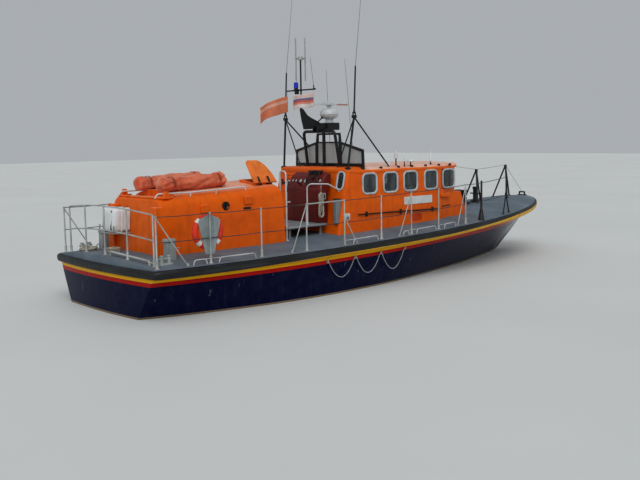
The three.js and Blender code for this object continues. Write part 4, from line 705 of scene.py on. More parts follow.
# The ropes: three-strand laid rope, once white, now grey with salt and handling, its ends whipped or knotted.
# Grab lines hang in bights between eyes on the topsides, two warps are coiled down on the after deck,
# and a heaving line is hung in a hank under the helm's handrail.
# columns: x, distance to the side, z of the grab line from its first eye to its last
GRAB_LINE = (
    (-3.08, 2.155, 0.74), (-3.04, 2.155, 0.71), (-3.000, 2.156, 0.64), (-2.94, 2.156, 0.55),
    (-2.86, 2.157, 0.455), (-2.77, 2.158, 0.395), (-2.68, 2.158, 0.375), (-2.59, 2.159, 0.4),
    (-2.5, 2.16, 0.465), (-2.42, 2.161, 0.56), (-2.36, 2.161, 0.65), (-2.32, 2.162, 0.725),
    (-2.28, 2.162, 0.755), (-2.24, 2.162, 0.725), (-2.2, 2.161, 0.65), (-2.14, 2.16, 0.56),
    (-2.065, 2.16, 0.465), (-1.975, 2.159, 0.4), (-1.885, 2.158, 0.38), (-1.795, 2.156, 0.405),
    (-1.705, 2.155, 0.47), (-1.63, 2.155, 0.565), (-1.57, 2.154, 0.66), (-1.53, 2.153, 0.735),
    (-1.49, 2.153, 0.765), (-1.45, 2.151, 0.73), (-1.41, 2.15, 0.655), (-1.35, 2.148, 0.56),
    (-1.265, 2.144, 0.46), (-1.175, 2.141, 0.395), (-1.085, 2.138, 0.375), (-0.995, 2.134, 0.4),
    (-0.905, 2.131, 0.475), (-0.82, 2.127, 0.58), (-0.76, 2.125, 0.68), (-0.72, 2.124, 0.755),
    (-0.68, 2.122, 0.795))
POINTS_PER_BIGHT = 12
GRAB_DIAMETER, HANK_DIAMETER = 0.02, 0.012
ROPE_LAY, ROPE_SIDES, STRAND_SWELL = 3.2, 12, 0.08     # the lay is in diameters


def distances(path):
    """How far along a line each of its points lies."""
    return np.concatenate([[0], np.cumsum(np.linalg.norm(np.diff(path, axis=0), axis=1))])


def smooth(points, count):
    """Evenly spaced points on a curve through given points: cubics in the chord length."""
    points = np.asarray(points, float)
    along = distances(points)
    return through(np.linspace(0, along[-1], count), np.concatenate([along[:, None], points], 1))


def turned(profile, place=(0, 0, 0), axis=(0, 0, 1), sides=24):
    """A profile of (radius, height) points turned about an axis from a place, closed by flat ends."""
    profile, axis = [tuple(point) for point in profile], np.asarray(axis, float)
    start = [(0, profile[0][1])] if profile[0][0] else []
    end = [(0, profile[-1][1])] if profile[-1][0] else []
    profile = np.array(start + profile + end, float)
    axis = axis / np.linalg.norm(axis)
    side = np.cross(axis, (0, 0, 1) if abs(axis[2]) < 0.9 else (1, 0, 0))
    side /= np.linalg.norm(side)
    rise = np.cross(axis, side)
    turn = round_angles(sides)
    ring = np.cos(turn)[:, None] * side + np.sin(turn)[:, None] * rise
    return lofted(np.asarray(place) + profile[:, None, :1] * ring[None] + profile[:, None, 1:] * axis)


def length_of(path):
    """The length of a line of points."""
    return float(np.linalg.norm(np.diff(path, axis=0), axis=1).sum())


def rope_fibre(name, clean, grimy):
    """Laid rope: grimy in patches, with painted shade in the grooves between strands, found from an attribute that the
    mesh keeps.
    """
    made, tree, shader = material(name)
    groove = put(tree, "ShaderNodeAttribute", attribute_name="strand").outputs["Fac"]
    grime = spread(tree, cloud(tree, 0.09, 6.0), 0.42, 0.7)
    tone = mixed(tree, times(tree, grime, 0.7), shade(clean), shade(grimy))
    # painted shade: the strands' grooves darkened by the strand attribute
    tree.links.new(mixed(tree, spread(tree, groove, 0.1, -0.9), tone, shade("#3b3a35")),
        shader.inputs["Base Color"])
    relief(tree, shader, cloud(tree, 0.004, 2.0), 0.4, 0.001)
    shader.inputs["Roughness"].default_value = 0.9
    return made


def laid_rope(name, route, diameter, finish):
    """Three strands round a route: the ring's radius swells three times round, and turns once a lay."""
    path = smooth(route, int(length_of(np.asarray(route)) / (0.32 * diameter)))
    along = distances(path)
    around = round_angles(ROPE_SIDES)
    lobe = np.cos(3 * (around[None] - along[:, None] / (ROPE_LAY * diameter) * 2 * np.pi))
    points = tube(path, diameter / 2, ROPE_SIDES)[0].reshape(len(path), ROPE_SIDES, 3)
    points = path[:, None] + (points - path[:, None]) * (1 + STRAND_SWELL * lobe)[..., None]
    thing = mesh_of(name, [lofted(points)], finish, sharp=80, weld=1e-7)
    mark(thing, "strand", lobe)
    return thing, path


def knot(at, diameter):
    """A stopper knot: a trefoil (sin t + 2 sin 2t, cos t - 2 cos 2t, -sin 3t) drawn up tight."""
    t = np.linspace(0, 2 * np.pi, 60)
    line = np.stack([np.sin(t) + 2 * np.sin(2 * t), np.cos(t) - 2 * np.cos(2 * t), -1.3 * np.sin(3 * t)], 1)
    return tube(np.asarray(at) + line * diameter * 0.48, diameter / 2, 10)


def whipping(at, way, diameter):
    """Twine wound tightly round a rope: three ridges along its run."""
    r = diameter / 2 + 0.0005
    ridges = [(r + (0.002 if k % 2 else 0.0008), (k - 3) * diameter * 0.16) for k in range(7)]
    return turned([(0.0, ridges[0][1]), *ridges, (0.0, ridges[-1][1])], at, way, 14)


def washer(outer, inner, low, high, axes):
    """A flat plate with a hole: outlines of equal count, joined at both faces."""
    order = ["xyz".index(a) for a in axes]
    points = np.zeros((4, len(outer), 3))
    for row, (flat, height) in enumerate(((inner, low), (outer, low), (outer, high), (inner, high))):
        points[row][:, order] = flat
        points[row][:, 3 - sum(order)] = height
    return grid(points, wrap_rows=True, wrap_columns=True)


# the lashings' places, as shares of the grab line's length
LASHED_AT = (0.012, 0.322, 0.345, 0.655, 0.678, 0.988)
white_rope = rope_fibre("white_rope", "#cfcabb", "#8d897c")
blue_rope = rope_fibre("grab_line_rope", "#a7adb2", "#6d747c")
for side, suffix in SIDES:
    rope, route = laid_rope(f"grab_rope_{suffix}", [(x, side * y, z) for x, y, z in GRAB_LINE],
        GRAB_DIAMETER, blue_rope)
    fit(rope, "hull", "rope_fibre", f"grab_line_{suffix}")
    lashings = []
    for share in LASHED_AT:
        i = int(share * (len(route) - 1))
        lashings.append(whipping(route[i], route[i + 1] - route[i - 1], GRAB_DIAMETER))
    twine = piece(f"grab_line_lashings_{suffix}", lashings, white_rope, "rope_fibre")
    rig.cord(rope, exit=route[0], length=length_of(route), diameter=GRAB_DIAMETER, far_end="object",
        stiffness="limp", lay="hanging", path=route, with_pieces=[twine])

# The eyes that the grab lines pass through: galvanised plates with a hole, bolted to the topsides
galvanised = weathered("galvanised", "#a9aeab", rough=0.5, metal=0.15, fading=0.5, runs=0.25, bump=0.2,
    dirt="#55534a")
eyes = []
turn = round_angles(28)
circle = np.stack([np.cos(turn), np.sin(turn)], 1)
squarish = np.sign(circle) * np.abs(circle) ** 0.65
for side in (-1, 1):
    for x, y, z in GRAB_LINE[::POINTS_PER_BIGHT]:
        plate_edge = squarish * [0.046, 0.038] + [side * (y - 0.014), z + 0.002]
        hole_edge = circle * 0.017 + [side * y, z + 0.0065]
        eyes.append(washer(plate_edge, hole_edge, x - 0.006, x + 0.006, "yz"))
piece("grab_line_eyes", eyes, galvanised, "pale_metal")


def coil_route(x, y, middle, across, layers, diameter):
    """A warp coiled down: each layer winds from one edge to the other, then climbs for half a turn."""
    step = diameter * 1.06
    edges = (middle - (across - 1) / 2 * step, middle + (across - 1) / 2 * step)
    outward = layers % 2 == 0
    angle, points, floor = 0.0, [], deck_z(x, y) + 0.001
    for layer in range(layers):
        start, end = edges if outward else edges[::-1]
        height = floor + diameter / 2 + layer * step
        for share in np.arange(0, 1, 1 / (24 * (across - 1))):
            points.append((start + (end - start) * share, angle + share * (across - 1) * 2 * math.pi,
                height))
        angle += (across - 1) * 2 * math.pi
        if layer < layers - 1:
            for share in np.arange(0, 1, 1 / 12):
                over = 0.16 * step * math.sin(math.pi * share) * (1 if outward else -1)
                rise = step * share * share * (3 - 2 * share)
                points.append((end + over, angle + share * math.pi, height + rise))
            angle += math.pi
        outward = not outward
    points.append((end, angle, height))
    radius, swing, height = np.array(points).T
    route = np.stack([x + radius * np.cos(swing), y + radius * np.sin(swing), height], 1)
    last = route[-1] - route[-2]
    inward = np.array([x, y, height[-1]]) - route[-1]
    tail = [route[-1] + last * k * 0.9 + inward * 0.055 * k * k for k in (1.2, 2.4)]
    return np.concatenate([route, tail])


# columns: place, x, y, radius of the middle turn, turns across, layers, diameter of the rope
for place, x, y, middle, across, layers, diameter in (("stern", -6.64, 0.31, 0.118, 4, 4, 0.02),
        ("quarter", -6.76, 1.12, 0.15, 3, 3, 0.026)):
    rope, route = laid_rope(f"coiled_warp_{place}", coil_route(x, y, middle, across, layers, diameter),
        diameter, white_rope)
    fit(rope, "hull", "rope_fibre", f"rope_coil_{place}")
    ends = [whipping(route[2], route[3] - route[1], diameter), knot(route[-1], diameter)]
    stop = piece(f"coiled_warp_end_{place}", ends, white_rope, "rope_fibre")
    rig.cord(rope, exit=route[0], length=length_of(route), diameter=diameter, far_end="knot",
        stiffness="limp", lay="coiled", path=route, with_pieces=[stop])

HANK_X, HANK_Y, HANK_FOOT, HANK_HEAD, HANK_RAIL = -2.19, -1.000, 1.522, 2.09, 2.258
HANK_WAIST, HANK_LOOPS, LOOP_INNER = 1.87, 3, 0.036
HANK_STEP = HANK_DIAMETER * 1.05


def hank_route():
    """The line comes down the middle, winds out in one layer and in again in the next, and ends in turns
    round the waist. Each loop is two straight sides, drawn in at the waist, and two half circles."""
    lift = 0.007
    points = [(0, 0, z) for z in (HANK_RAIL, 2.2, 2.14, 2.08, 2.00, 1.9, 1.8, 1.72)]
    points += [(-0.008, 0.0, 1.66), (-0.026, 0.0, 1.615)]

    def loop_point(angle, half):
        """A point of a loop: from the bottom's left end it runs along the bottom, up, over and down."""
        low, high = HANK_FOOT + lift + LOOP_INNER + 0.038, HANK_HEAD - lift - LOOP_INNER - 0.038
        part, share = divmod(angle % 4, 1)
        bend = math.pi * share
        if part == 0:
            return -half * math.cos(bend), low - half * math.sin(bend)
        if part == 2:
            return half * math.cos(bend), high + half * math.sin(bend)
        z = low + (high - low) * (share if part == 1 else 1 - share)
        drawn = (LOOP_INNER - 0.004) * math.exp(-((z - HANK_WAIST) / 0.06) ** 2)
        return (half - drawn) * (1 if part == 1 else -1), z

    def wind(start, stop, first, last, near, far):
        """Points of the loops from one angle to another, as the half width and the layer change evenly."""
        for angle in np.arange(start, stop, 0.0625):
            share = (angle - start) / (stop - start)
            x, z = loop_point(angle, first + (last - first) * share)
            layer = near + (far - near) * share * share * (3 - 2 * share)
            points.append((x, layer, z))

    outer = LOOP_INNER + HANK_LOOPS * HANK_STEP
    wind(0.0, 1.0, LOOP_INNER, LOOP_INNER, 0.0, 0.0)
    wind(1.0, 1.5, LOOP_INNER, LOOP_INNER, 0.0, HANK_STEP)
    wind(1.5, 1.5 + 4 * HANK_LOOPS, LOOP_INNER, outer, HANK_STEP, HANK_STEP)
    turns = 1.5 + 4 * HANK_LOOPS
    wind(turns, turns + 2.0, outer, outer, HANK_STEP, -HANK_STEP)
    wind(turns + 2.0, turns + 2.0 + 4 * HANK_LOOPS - 0.5, outer, LOOP_INNER, -HANK_STEP, -HANK_STEP)
    radius = 0.0305
    points.extend([(-0.026, -0.0165, 1.945), (-0.012, -0.0255, 1.918), (0.006, -radius, 1.905)])
    for k in np.arange(0.1, 3.0, 1 / 24):
        bend = 2 * math.pi * k
        shift = radius * np.clip(1.6 * math.sin(bend), -1, 1)
        points.append((shift + radius * math.sin(bend), -radius * math.cos(bend),
            1.905 - HANK_STEP * 1.05 * k))
    points.extend([(0.012, -radius - 0.002, 1.86), (0.024, -radius - 0.003, 1.838)])
    return np.array(points) + [HANK_X, HANK_Y, 0]


heaving_line, route = laid_rope("heaving_line", hank_route(), HANK_DIAMETER, white_rope)
fit(heaving_line, "hull", "rope_fibre", "rope_hank", "hank_tail")
stop = piece("heaving_line_knot", [knot(route[-1], HANK_DIAMETER),
    whipping([HANK_X, HANK_Y, HANK_RAIL - 0.012], (0, 0, 1), HANK_DIAMETER)], white_rope, "rope_fibre")
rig.cord(heaving_line, exit=route[0], length=length_of(route), diameter=HANK_DIAMETER, far_end="knot",
    stiffness="limp", lay="hanging", path=route, with_pieces=[stop])

# The belting: a thick D of black rubber, bolted along the deck's edge in lengths that butt together.
# Years alongside quays have greyed its face and scraped its outer edge.
BELT_REACH, BELT_TOP, BELT_FOOT = 0.062, -0.008, -0.165


def belt_outline():
    """The belting's section as (out, up): flat against the hull, its face a rounded D, with a foot lip."""
    turn = np.linspace(np.pi / 2, -np.pi / 2, 11)
    middle, half = (BELT_TOP + BELT_FOOT) / 2, (BELT_TOP - BELT_FOOT) / 2
    bulge = np.sign(np.cos(turn)) * np.abs(np.cos(turn)) ** 0.55
    face = np.stack([0.004 + (BELT_REACH - 0.004) * bulge, middle + half * np.sin(turn)], 1)
    return np.concatenate([[(-0.035, BELT_TOP)], face, [(-0.035, BELT_FOOT)]])


def belt_path():
    """Points of the deck's edge from the transom's middle up the starboard side to the stem, with normals."""
    y = np.linspace(0, HALF_TRANSOM - 0.02, 24)
    stern = np.stack([STERN + TRANSOM_SWEEP * (y / HALF_TRANSOM) ** 2, y], 1)
    x = np.concatenate([np.linspace(STERN + 0.17, 6.2, 150),
        BOW - 0.95 * (1 - np.linspace(0, 1, 40)[1:]) ** 2.2])
    side = np.stack([x, deck_half(x)], 1)
    line = np.concatenate([stern, side])
    line = np.concatenate([line[::-1], line[1:] * np.array([1, -1])])
    along = np.gradient(line, axis=0)
    along /= np.linalg.norm(along, axis=1)[:, None]
    out = np.stack([along[:, 1], -along[:, 0]], 1)
    out *= np.sign(np.sum(out * line, 1))[:, None]
    return line, out


line, out = belt_path()
section = belt_outline()
belt = np.zeros((len(line), len(section), 3))
belt[..., :2] = line[:, None] + out[:, None] * section[None, :, :1]
belt[..., 2] = sheer(line[:, 0])[:, None] + section[None, :, 1]


def rubber(tree):
    """Black rubber, greyed where scraped. Towards the bow the yellow line is carried up over its foot."""
    scrape = spread(tree, cloud(tree, 0.5, 8.0, stretch=(0.5, 0.5, 6.0)), 0.5, 0.78)
    black = mixed(tree, times(tree, scrape, 0.4), shade("#111316"), shade("#4c5259"))
    drop = put(tree, "ShaderNodeAttribute", attribute_name="below_sheer").outputs["Fac"]
    ahead = position(tree, "X")
    aft_edge = sum_of(tree, "MULTIPLY_ADD", spread(tree, ahead, -5.5, -3.0), -0.042, 0.168)
    edge = sum_of(tree, "MULTIPLY_ADD", spread(tree, ahead, 0.8, 4.0), -0.063, aft_edge)
    return mixed(tree, sum_of(tree, "GREATER_THAN", drop, edge), black, shade("#dba414"))


belting = mesh_of("belting_rubber", [lofted(belt)],
    weathered("belting", rubber, rough=0.45, fading=0.25, runs=0.15, bump=0.35))
points = read(belting.data.vertices, "co")
mark(belting, "below_sheer", sheer(points[:, 0]) - points[:, 2])
fit(belting, "hull", "belting_rubber", "belting")

# The aft cabin: a welded aluminium trunk over the engines, painted orange, with a crowned roof.
# A lower flat lies at its after end. It stands on the deck in a bead of sealant, and is hollow.
CABIN_AFT, CABIN_FORWARD = -6.36, -3.23
HALF_AFT, HALF_FORWARD = 0.94, 1.09
SHOULDER_AFT, SHOULDER_FORWARD = 2.11, 2.23
ROOF_RISE, CABIN_FOOT, CABIN_LEAN, CABIN_WALL = 0.17, 0.7, 0.13 / 2.0, 0.05
LOW_ROOF, LOW_ROOF_END = 2.165, -5.86
CABIN_CORNER = 0.055


def cabin_half_ring(x, inset=0.0):
    """The cabin's section at x as (y, z) from the foot of the port wall over to the middle of the roof."""
    share = (x - CABIN_AFT) / (CABIN_FORWARD - CABIN_AFT)
    half = HALF_AFT + (HALF_FORWARD - HALF_AFT) * share - inset
    shoulder = SHOULDER_AFT + (SHOULDER_FORWARD - SHOULDER_AFT) * share - inset
    top = shoulder + ROOF_RISE
    return smooth([(half, CABIN_FOOT), (half - 0.022, (CABIN_FOOT + shoulder) / 2),
        (half - 0.045, shoulder - 0.15), (half - 0.067, shoulder - 0.062), (half - 0.12, shoulder),
        (half - 0.285, shoulder + 0.08), (half * 0.45, top - 0.03), (0, top)], 44)


def roof_height(x, y):
    """Height of the cabin's roof at a point of its plan."""
    ring = cabin_half_ring(x)
    high = float(np.interp(abs(y), ring[::-1, 0], ring[::-1, 1]))
    return min(high, LOW_ROOF) if x < LOW_ROOF_END else high


def cabin_surface(inset=0.0, corner=CABIN_CORNER):
    """The cabin as rings along x whose ends lean, with corners rounded by a quarter circle."""
    turn = np.linspace(0, np.pi / 2, 8)
    drawn_in = corner * (1 - np.cos(turn))
    aft, forward = CABIN_AFT + inset, CABIN_FORWARD - inset
    step = LOW_ROOF_END + inset
    xs = np.concatenate([aft + drawn_in, np.linspace(aft + corner + 0.01, step - 0.002, 10),
        np.linspace(step + 0.002, forward - corner - 0.01, 30), forward - drawn_in[::-1]])
    shrink = np.concatenate([corner * (1 - np.sin(turn)), np.zeros(40), corner * (1 - np.sin(turn[::-1]))])
    rings = []
    for x, less in zip(xs, shrink):
        half = cabin_half_ring(x, inset)
        along = np.gradient(half, axis=0)
        inward = np.stack([along[:, 1], -along[:, 0]], 1) / np.linalg.norm(along, axis=1)[:, None]
        inward *= np.sign(-inward[0, 0])
        half = half + inward * less
        half[-1, 0] = 0
        if x < step:
            half[:, 1] = np.minimum(half[:, 1], LOW_ROOF - inset - less)
        ring = np.concatenate([half, half[-2::-1] * np.array([-1, 1])])
        tall = ring[:, 1] - CABIN_FOOT
        ends = np.clip(1 - (x - aft) / 1.2, 0, 1) - np.clip(1 - (forward - x) / 1.2, 0, 1)
        lean = CABIN_LEAN * tall * ends
        rings.append(np.stack([x + lean, ring[:, 0], ring[:, 1]], 1))
    return lofted(rings)


def orange_paint(name, colour=ORANGE, **settings):
    """Orange topside paint: satin, faded in patches and streaked under fittings; the cabin's and the roof's colours
    add painted highlights on their tops.
    """
    values = dict(rough=0.38, fading=0.18, runs=0.16, bump=0.1, dirt="#4b2413", coat=0.06, shine=0.22)
    values.update(settings)
    return weathered(name, colour, **values)


def cabin_colour_with_top_highlight(tree):
    """Orange, with a painted salmon highlight on the flat tops, found by the upward part of the normal."""
    normal = put(tree, "ShaderNodeSeparateXYZ", {0: put(tree, "ShaderNodeTexCoord").outputs["Normal"]})
    # painted highlight: faces that look up are lightened towards salmon
    flat = spread(tree, normal.outputs["Z"], 0.9, 0.985)
    return mixed(tree, times(tree, flat, 0.7), shade(ORANGE), shade("#efb193"))


# The cabin's orange, with its painted salmon highlight on upward faces, also covers the wheelhouse and its door.
cabin_orange_with_top_highlight = orange_paint("cabin_paint", cabin_colour_with_top_highlight)
HATCH_AFT, HATCH_FORWARD, HATCH_HINGE_Y, HATCH_WIDTH = -3.88, -3.33, -0.745, 0.56
HATCH_HINGE_Z, HATCH_OPEN, HATCH_SHUT = 2.339901, 57.0, 8.5
HATCH_HINGES = (-3.74, -3.48)
near, far = HATCH_HINGE_Y + 0.025, HATCH_HINGE_Y + HATCH_WIDTH - 0.04


def under_lid(y):
    """Height of the coaming's rim, which follows the shut lid."""
    return HATCH_HINGE_Z + 0.01 + (y - HATCH_HINGE_Y) * math.tan(math.radians(HATCH_SHUT))


cabin = mesh_of("aft_cabin_trunk", [cabin_surface()], cabin_orange_with_top_highlight, sharp=40)
coaming = extruded([(near, 2.2), (far, 2.2), (far, under_lid(far)), (near, under_lid(near))],
    HATCH_AFT + 0.025, HATCH_FORWARD - 0.015, "yz", 0.004)
carve(cabin, [coaming], "UNION")
carve(cabin, [cabin_surface(CABIN_WALL, 0.03)])
carve(cabin, [box((HATCH_AFT + 0.055, near + 0.03, 1.9), (HATCH_FORWARD - 0.045, far - 0.03, 2.7))])
refinish(cabin, cabin_orange_with_top_highlight)
fit(cabin, "hull", "cabin_paint", "aft_cabin")


def rounded(width, height, radius, at=(0, 0), steps=5):
    """A rounded rectangle's outline about a point, anticlockwise."""
    turn = np.linspace(0, np.pi / 2, steps)
    corner = np.stack([np.cos(turn), np.sin(turn)], 1) * radius
    points = []
    for k, (u, v) in enumerate([(1, 1), (-1, 1), (-1, -1), (1, -1)]):
        c, s = [(1, 0), (0, 1), (-1, 0), (0, -1)][k]
        spun = np.stack([corner[:, 0] * c - corner[:, 1] * s, corner[:, 0] * s + corner[:, 1] * c], 1)
        points.append(spun + [u * (width / 2 - radius), v * (height / 2 - radius)])
    return np.concatenate(points) + np.asarray(at)


def slab(width, height, radius, at, low, high, axes="xy", chamfer=0.0):
    """A rounded rectangle about a point, carried along the third axis."""
    return extruded(rounded(width, height, radius, at), low, high, axes, chamfer)


def carried(shape, place=(0, 0, 0), turn=(0, 0, 0)):
    """The surface turned by angles in degrees and carried to a place."""
    points, faces = shape
    matrix = np.array(Euler([math.radians(a) for a in turn]).to_matrix())
    return points @ matrix.T + np.asarray(place, float), faces


def bent(points, radius, steps=6, closed=False):
    """A path through corners, each rounded off by a quadratic curve that starts about that radius from it."""
    points = [np.asarray(p, float) for p in points]
    if closed:
        corners, most = zip(points[-1:] + points[:-1], points, points[1:] + points[:1]), 0.45
    else:
        corners, most = zip(points, points[1:], points[2:]), 0.48
    t = np.linspace(0, 1, steps + 1)[:, None]
    path = []
    for last, here, coming in corners:
        back, on = last - here, coming - here
        reach = min(radius, most * np.linalg.norm(back), most * np.linalg.norm(on))
        start, end = here + back / np.linalg.norm(back) * reach, here + on / np.linalg.norm(on) * reach
        path.append((1 - t) ** 2 * start + 2 * t * (1 - t) * here + t ** 2 * end)
    return np.concatenate(path if closed else [points[0][None], *path, points[-1][None]])


def corners_rounded(corners, radius, steps=5):
    """A closed outline with its corners rounded off."""
    return bent(corners, radius, steps, closed=True)


def cabin_wall_y(x, z):
    """How far out the cabin's side stands at a height."""
    ring = cabin_half_ring(x)
    return float(np.interp(z, ring[:30, 1], ring[:30, 0]))


side_fittings, dark_fittings = [], []
for side in (-1, 1):
    # columns: x from, x to, z from, z to of each raised air box
    for x0, x1, z0, z1 in ((-5.39, -5.19, 1.84, 2.0), (-4.34, -4.13, 1.95, 2.12)):
        y = cabin_wall_y((x0 + x1) / 2, (z0 + z1) / 2)
        low, high = sorted((side * (y - 0.06), side * (y + 0.055)))
        side_fittings.append(slab(x1 - x0, z1 - z0, 0.03, ((x0 + x1) / 2, (z0 + z1) / 2), low,
            high, "xz", 0.012))
    y = cabin_wall_y(-4.26, 1.875)
    low, high = sorted((side * (y - 0.02), side * (y + 0.012)))
    dark_fittings.append(slab(0.19, 0.045, 0.02, (-4.265, 1.875), low, high, "xz", 0.004))
    y = cabin_wall_y(-4.78, 1.95)
    dark_fittings.append(turned([(0.088, -0.02), (0.088, 0.014), (0.074, 0.02), (0.07, 0.004)],
        (-4.78, side * y, 1.95), (0, side, 0.05), 32))
    low, high = sorted((side * (y + 0.002), side * (y + 0.024)))
    dark_fittings.append(slab(0.018, 0.13, 0.008, (-4.78, 1.95), low, high, "xz", 0.002))
    # The duct that stands up the after corner
    side_fittings.append(slab(0.2, 1.02, 0.03, (side * 0.82, 1.5), CABIN_AFT - 0.035,
        CABIN_AFT + 0.16, "yz", 0.012))
    # The bracket where the roof steps down
    side_fittings.append(extruded([(LOW_ROOF_END - 0.3, LOW_ROOF - 0.01),
        (LOW_ROOF_END - 0.13, LOW_ROOF - 0.01), (LOW_ROOF_END - 0.16, LOW_ROOF + 0.13),
        (LOW_ROOF_END - 0.22, LOW_ROOF + 0.14)], side * 0.8 - 0.04, side * 0.8 + 0.04, "xz", 0.006))
# The rim round the low flat
rim = bent([(-5.9, -0.8, LOW_ROOF + 0.012), (-6.235, -0.775, LOW_ROOF + 0.012),
    (-6.235, 0.775, LOW_ROOF + 0.012), (-5.9, 0.8, LOW_ROOF + 0.012)], 0.07)
side_fittings.append(tube(rim, 0.018, 10))
piece("aft_cabin_boxes", side_fittings, cabin_orange_with_top_highlight, "cabin_paint")
black_satin = weathered("black_fittings", "#121315", rough=0.42, fading=0.25, runs=0.1, bump=0.2,
    dirt="#3a3c3e")


def black(name, shapes, *nodes, body="hull"):
    """A fitting in satin black paint."""
    return piece(name, shapes, black_satin, "black_metal", *nodes, body=body)


black("aft_cabin_vents", dark_fittings)

# The hatch lid: a dished plate of painted aluminium with one long rounded edge and two stiffeners.
# It stands open on two black strap hinges, whose pins run in lugs welded to the coaming.
LID_LOW, LID_HIGH = 0.017, 0.057
lid_outline = np.concatenate([[(HATCH_AFT, 0.0), (HATCH_FORWARD + 0.06, 0.0)],
    smooth([(HATCH_FORWARD + 0.045, 0.09), (HATCH_FORWARD + 0.03, 0.18), (HATCH_FORWARD - 0.02, 0.31),
    (HATCH_FORWARD - 0.09, 0.44), (HATCH_FORWARD - 0.2, HATCH_WIDTH - 0.02)], 16),
    [(HATCH_FORWARD - 0.28, HATCH_WIDTH), (HATCH_AFT + 0.05, HATCH_WIDTH),
    (HATCH_AFT, HATCH_WIDTH - 0.05)]])
swung = (HATCH_OPEN, 0, 0)
hinge_line = (0, HATCH_HINGE_Y, HATCH_HINGE_Z)
lid_parts = [carried(extruded(lid_outline, LID_LOW, LID_HIGH, "xy", 0.008), hinge_line, swung)]
lid_parts += [carried(slab(0.03, 0.4, 0.012, (x, 0.26), LID_HIGH - 0.004, LID_HIGH + 0.014,
    "xy", 0.004), hinge_line, swung) for x in (HATCH_AFT + 0.1, HATCH_AFT + 0.34)]
piece("hatch_lid_plate", lid_parts, orange_paint("lid_paint", "#e87a38", fading=0.35), "cabin_paint",
    "hatch_lid", body="hatch_lid")
straps, pins = [], []
for x in HATCH_HINGES:
    straps.append(carried(slab(0.055, 0.15, 0.02, (x, 0.075), LID_HIGH - 0.002,
        LID_HIGH + 0.01, "xy", 0.003), hinge_line, swung))
    straps.append(tube([(x - 0.038, HATCH_HINGE_Y, HATCH_HINGE_Z),
        (x + 0.038, HATCH_HINGE_Y, HATCH_HINGE_Z)], 0.0145, 16))
    straps.append(carried(extruded(oblong(-0.008, 0.016, 0.0, 0.024), x - 0.034, x + 0.034, "yz", 0.002),
        hinge_line, swung))
    pins.append(tube([(x + 0.0405, HATCH_HINGE_Y, HATCH_HINGE_Z),
        (x + 0.08, HATCH_HINGE_Y, HATCH_HINGE_Z)], 0.014, 16))
    pins.append(extruded(oblong(HATCH_HINGE_Y - 0.012, HATCH_HINGE_Y + 0.012, 2.26, HATCH_HINGE_Z),
        x + 0.042, x + 0.078, "yz", 0.003))
black("hatch_straps", straps, body="hatch_lid")
black("hatch_lugs", pins)

# The handrails on the cabin roof: steel tube coated white, one along each shoulder.
# Each is bent down to the roof at its ends and welded to short feet between.
white_tube = weathered("white_tube", "#c6cacc", rough=0.35, fading=0.3, runs=0.1, bump=0.08, dirt="#6b6a62")
for side, suffix in SIDES:
    run = [(-6.25, 0.7, 0.0), (-6.2, 0.705, 0.09), (-5.9, 0.76, 0.09), (-5.5, 0.8, 0.075),
        (-4.9, 0.83, 0.075), (-4.3, 0.85, 0.075), (-4.2, 0.86, 0.07), (-4.18, 0.86, 0.0)]
    path = [(x, side * y, roof_height(min(x, -5.9) if x < -5.8 else x, y) + rise) for x, y, rise in run]
    feet = [tube([(x, side * y, roof_height(x, y) - 0.02), (x, side * y, roof_height(x, y) + 0.075)],
        0.012, 12) for x, y in ((-5.5, 0.8), (-4.9, 0.83))]
    piece(f"roof_rail_tube_{suffix}", [tube(smooth(bent(path, 0.05), 90), 0.016, 12), *feet], white_tube,
        "white_plastic", f"roof_rail_{suffix}")

# The rolled sections of an inflatable boat, each in a faded orange canvas bag strapped to the cabin roof.
# The canvas sags between the straps and creases along its length.


def canvas(name, colour, worn, thread=900.0):
    """Woven cloth: fine crossed threads, colour bleached along the folds and dark in the creases."""
    made, tree, shader = material(name)
    where = where_on(tree)
    fold = spread(tree, cloud(tree, 0.35, 6.0, stretch=(0.5, 1.4, 1.4)), 0.35, 0.7)
    stain = spread(tree, cloud(tree, 0.12, 7.0), 0.48, 0.75)
    base = mixed(tree, fold, shade(colour), shade(worn))
    tree.links.new(mixed(tree, times(tree, stain, 0.45), base, shade("#5a2a1c")),
        shader.inputs["Base Color"])
    weave = [put(tree, "ShaderNodeTexWave", {"Vector": where, "Scale": thread / 6.28, "Distortion": 0.4},
        bands_direction=way).outputs["Fac"] for way in ("X", "Z")]
    knit = put(tree, "ShaderNodeBump", {"Strength": 0.25, "Distance": 0.001,
        "Height": sum_of(tree, "ADD", weave[0], weave[1])})
    crease = put(tree, "ShaderNodeBump", {"Strength": 0.6, "Distance": 0.02,
        "Height": cloud(tree, 0.1, 6.0, stretch=(0.4, 1.6, 1.6)), "Normal": knit.outputs["Normal"]})
    tree.links.new(crease.outputs["Normal"], shader.inputs["Normal"])
    shader.inputs["Roughness"].default_value = 0.85
    shader.inputs["Sheen Weight"].default_value = 0.2
    return made


BAG_Y, BAG_LIFT, BAG_AFT = 0.43, 0.135, -5.85


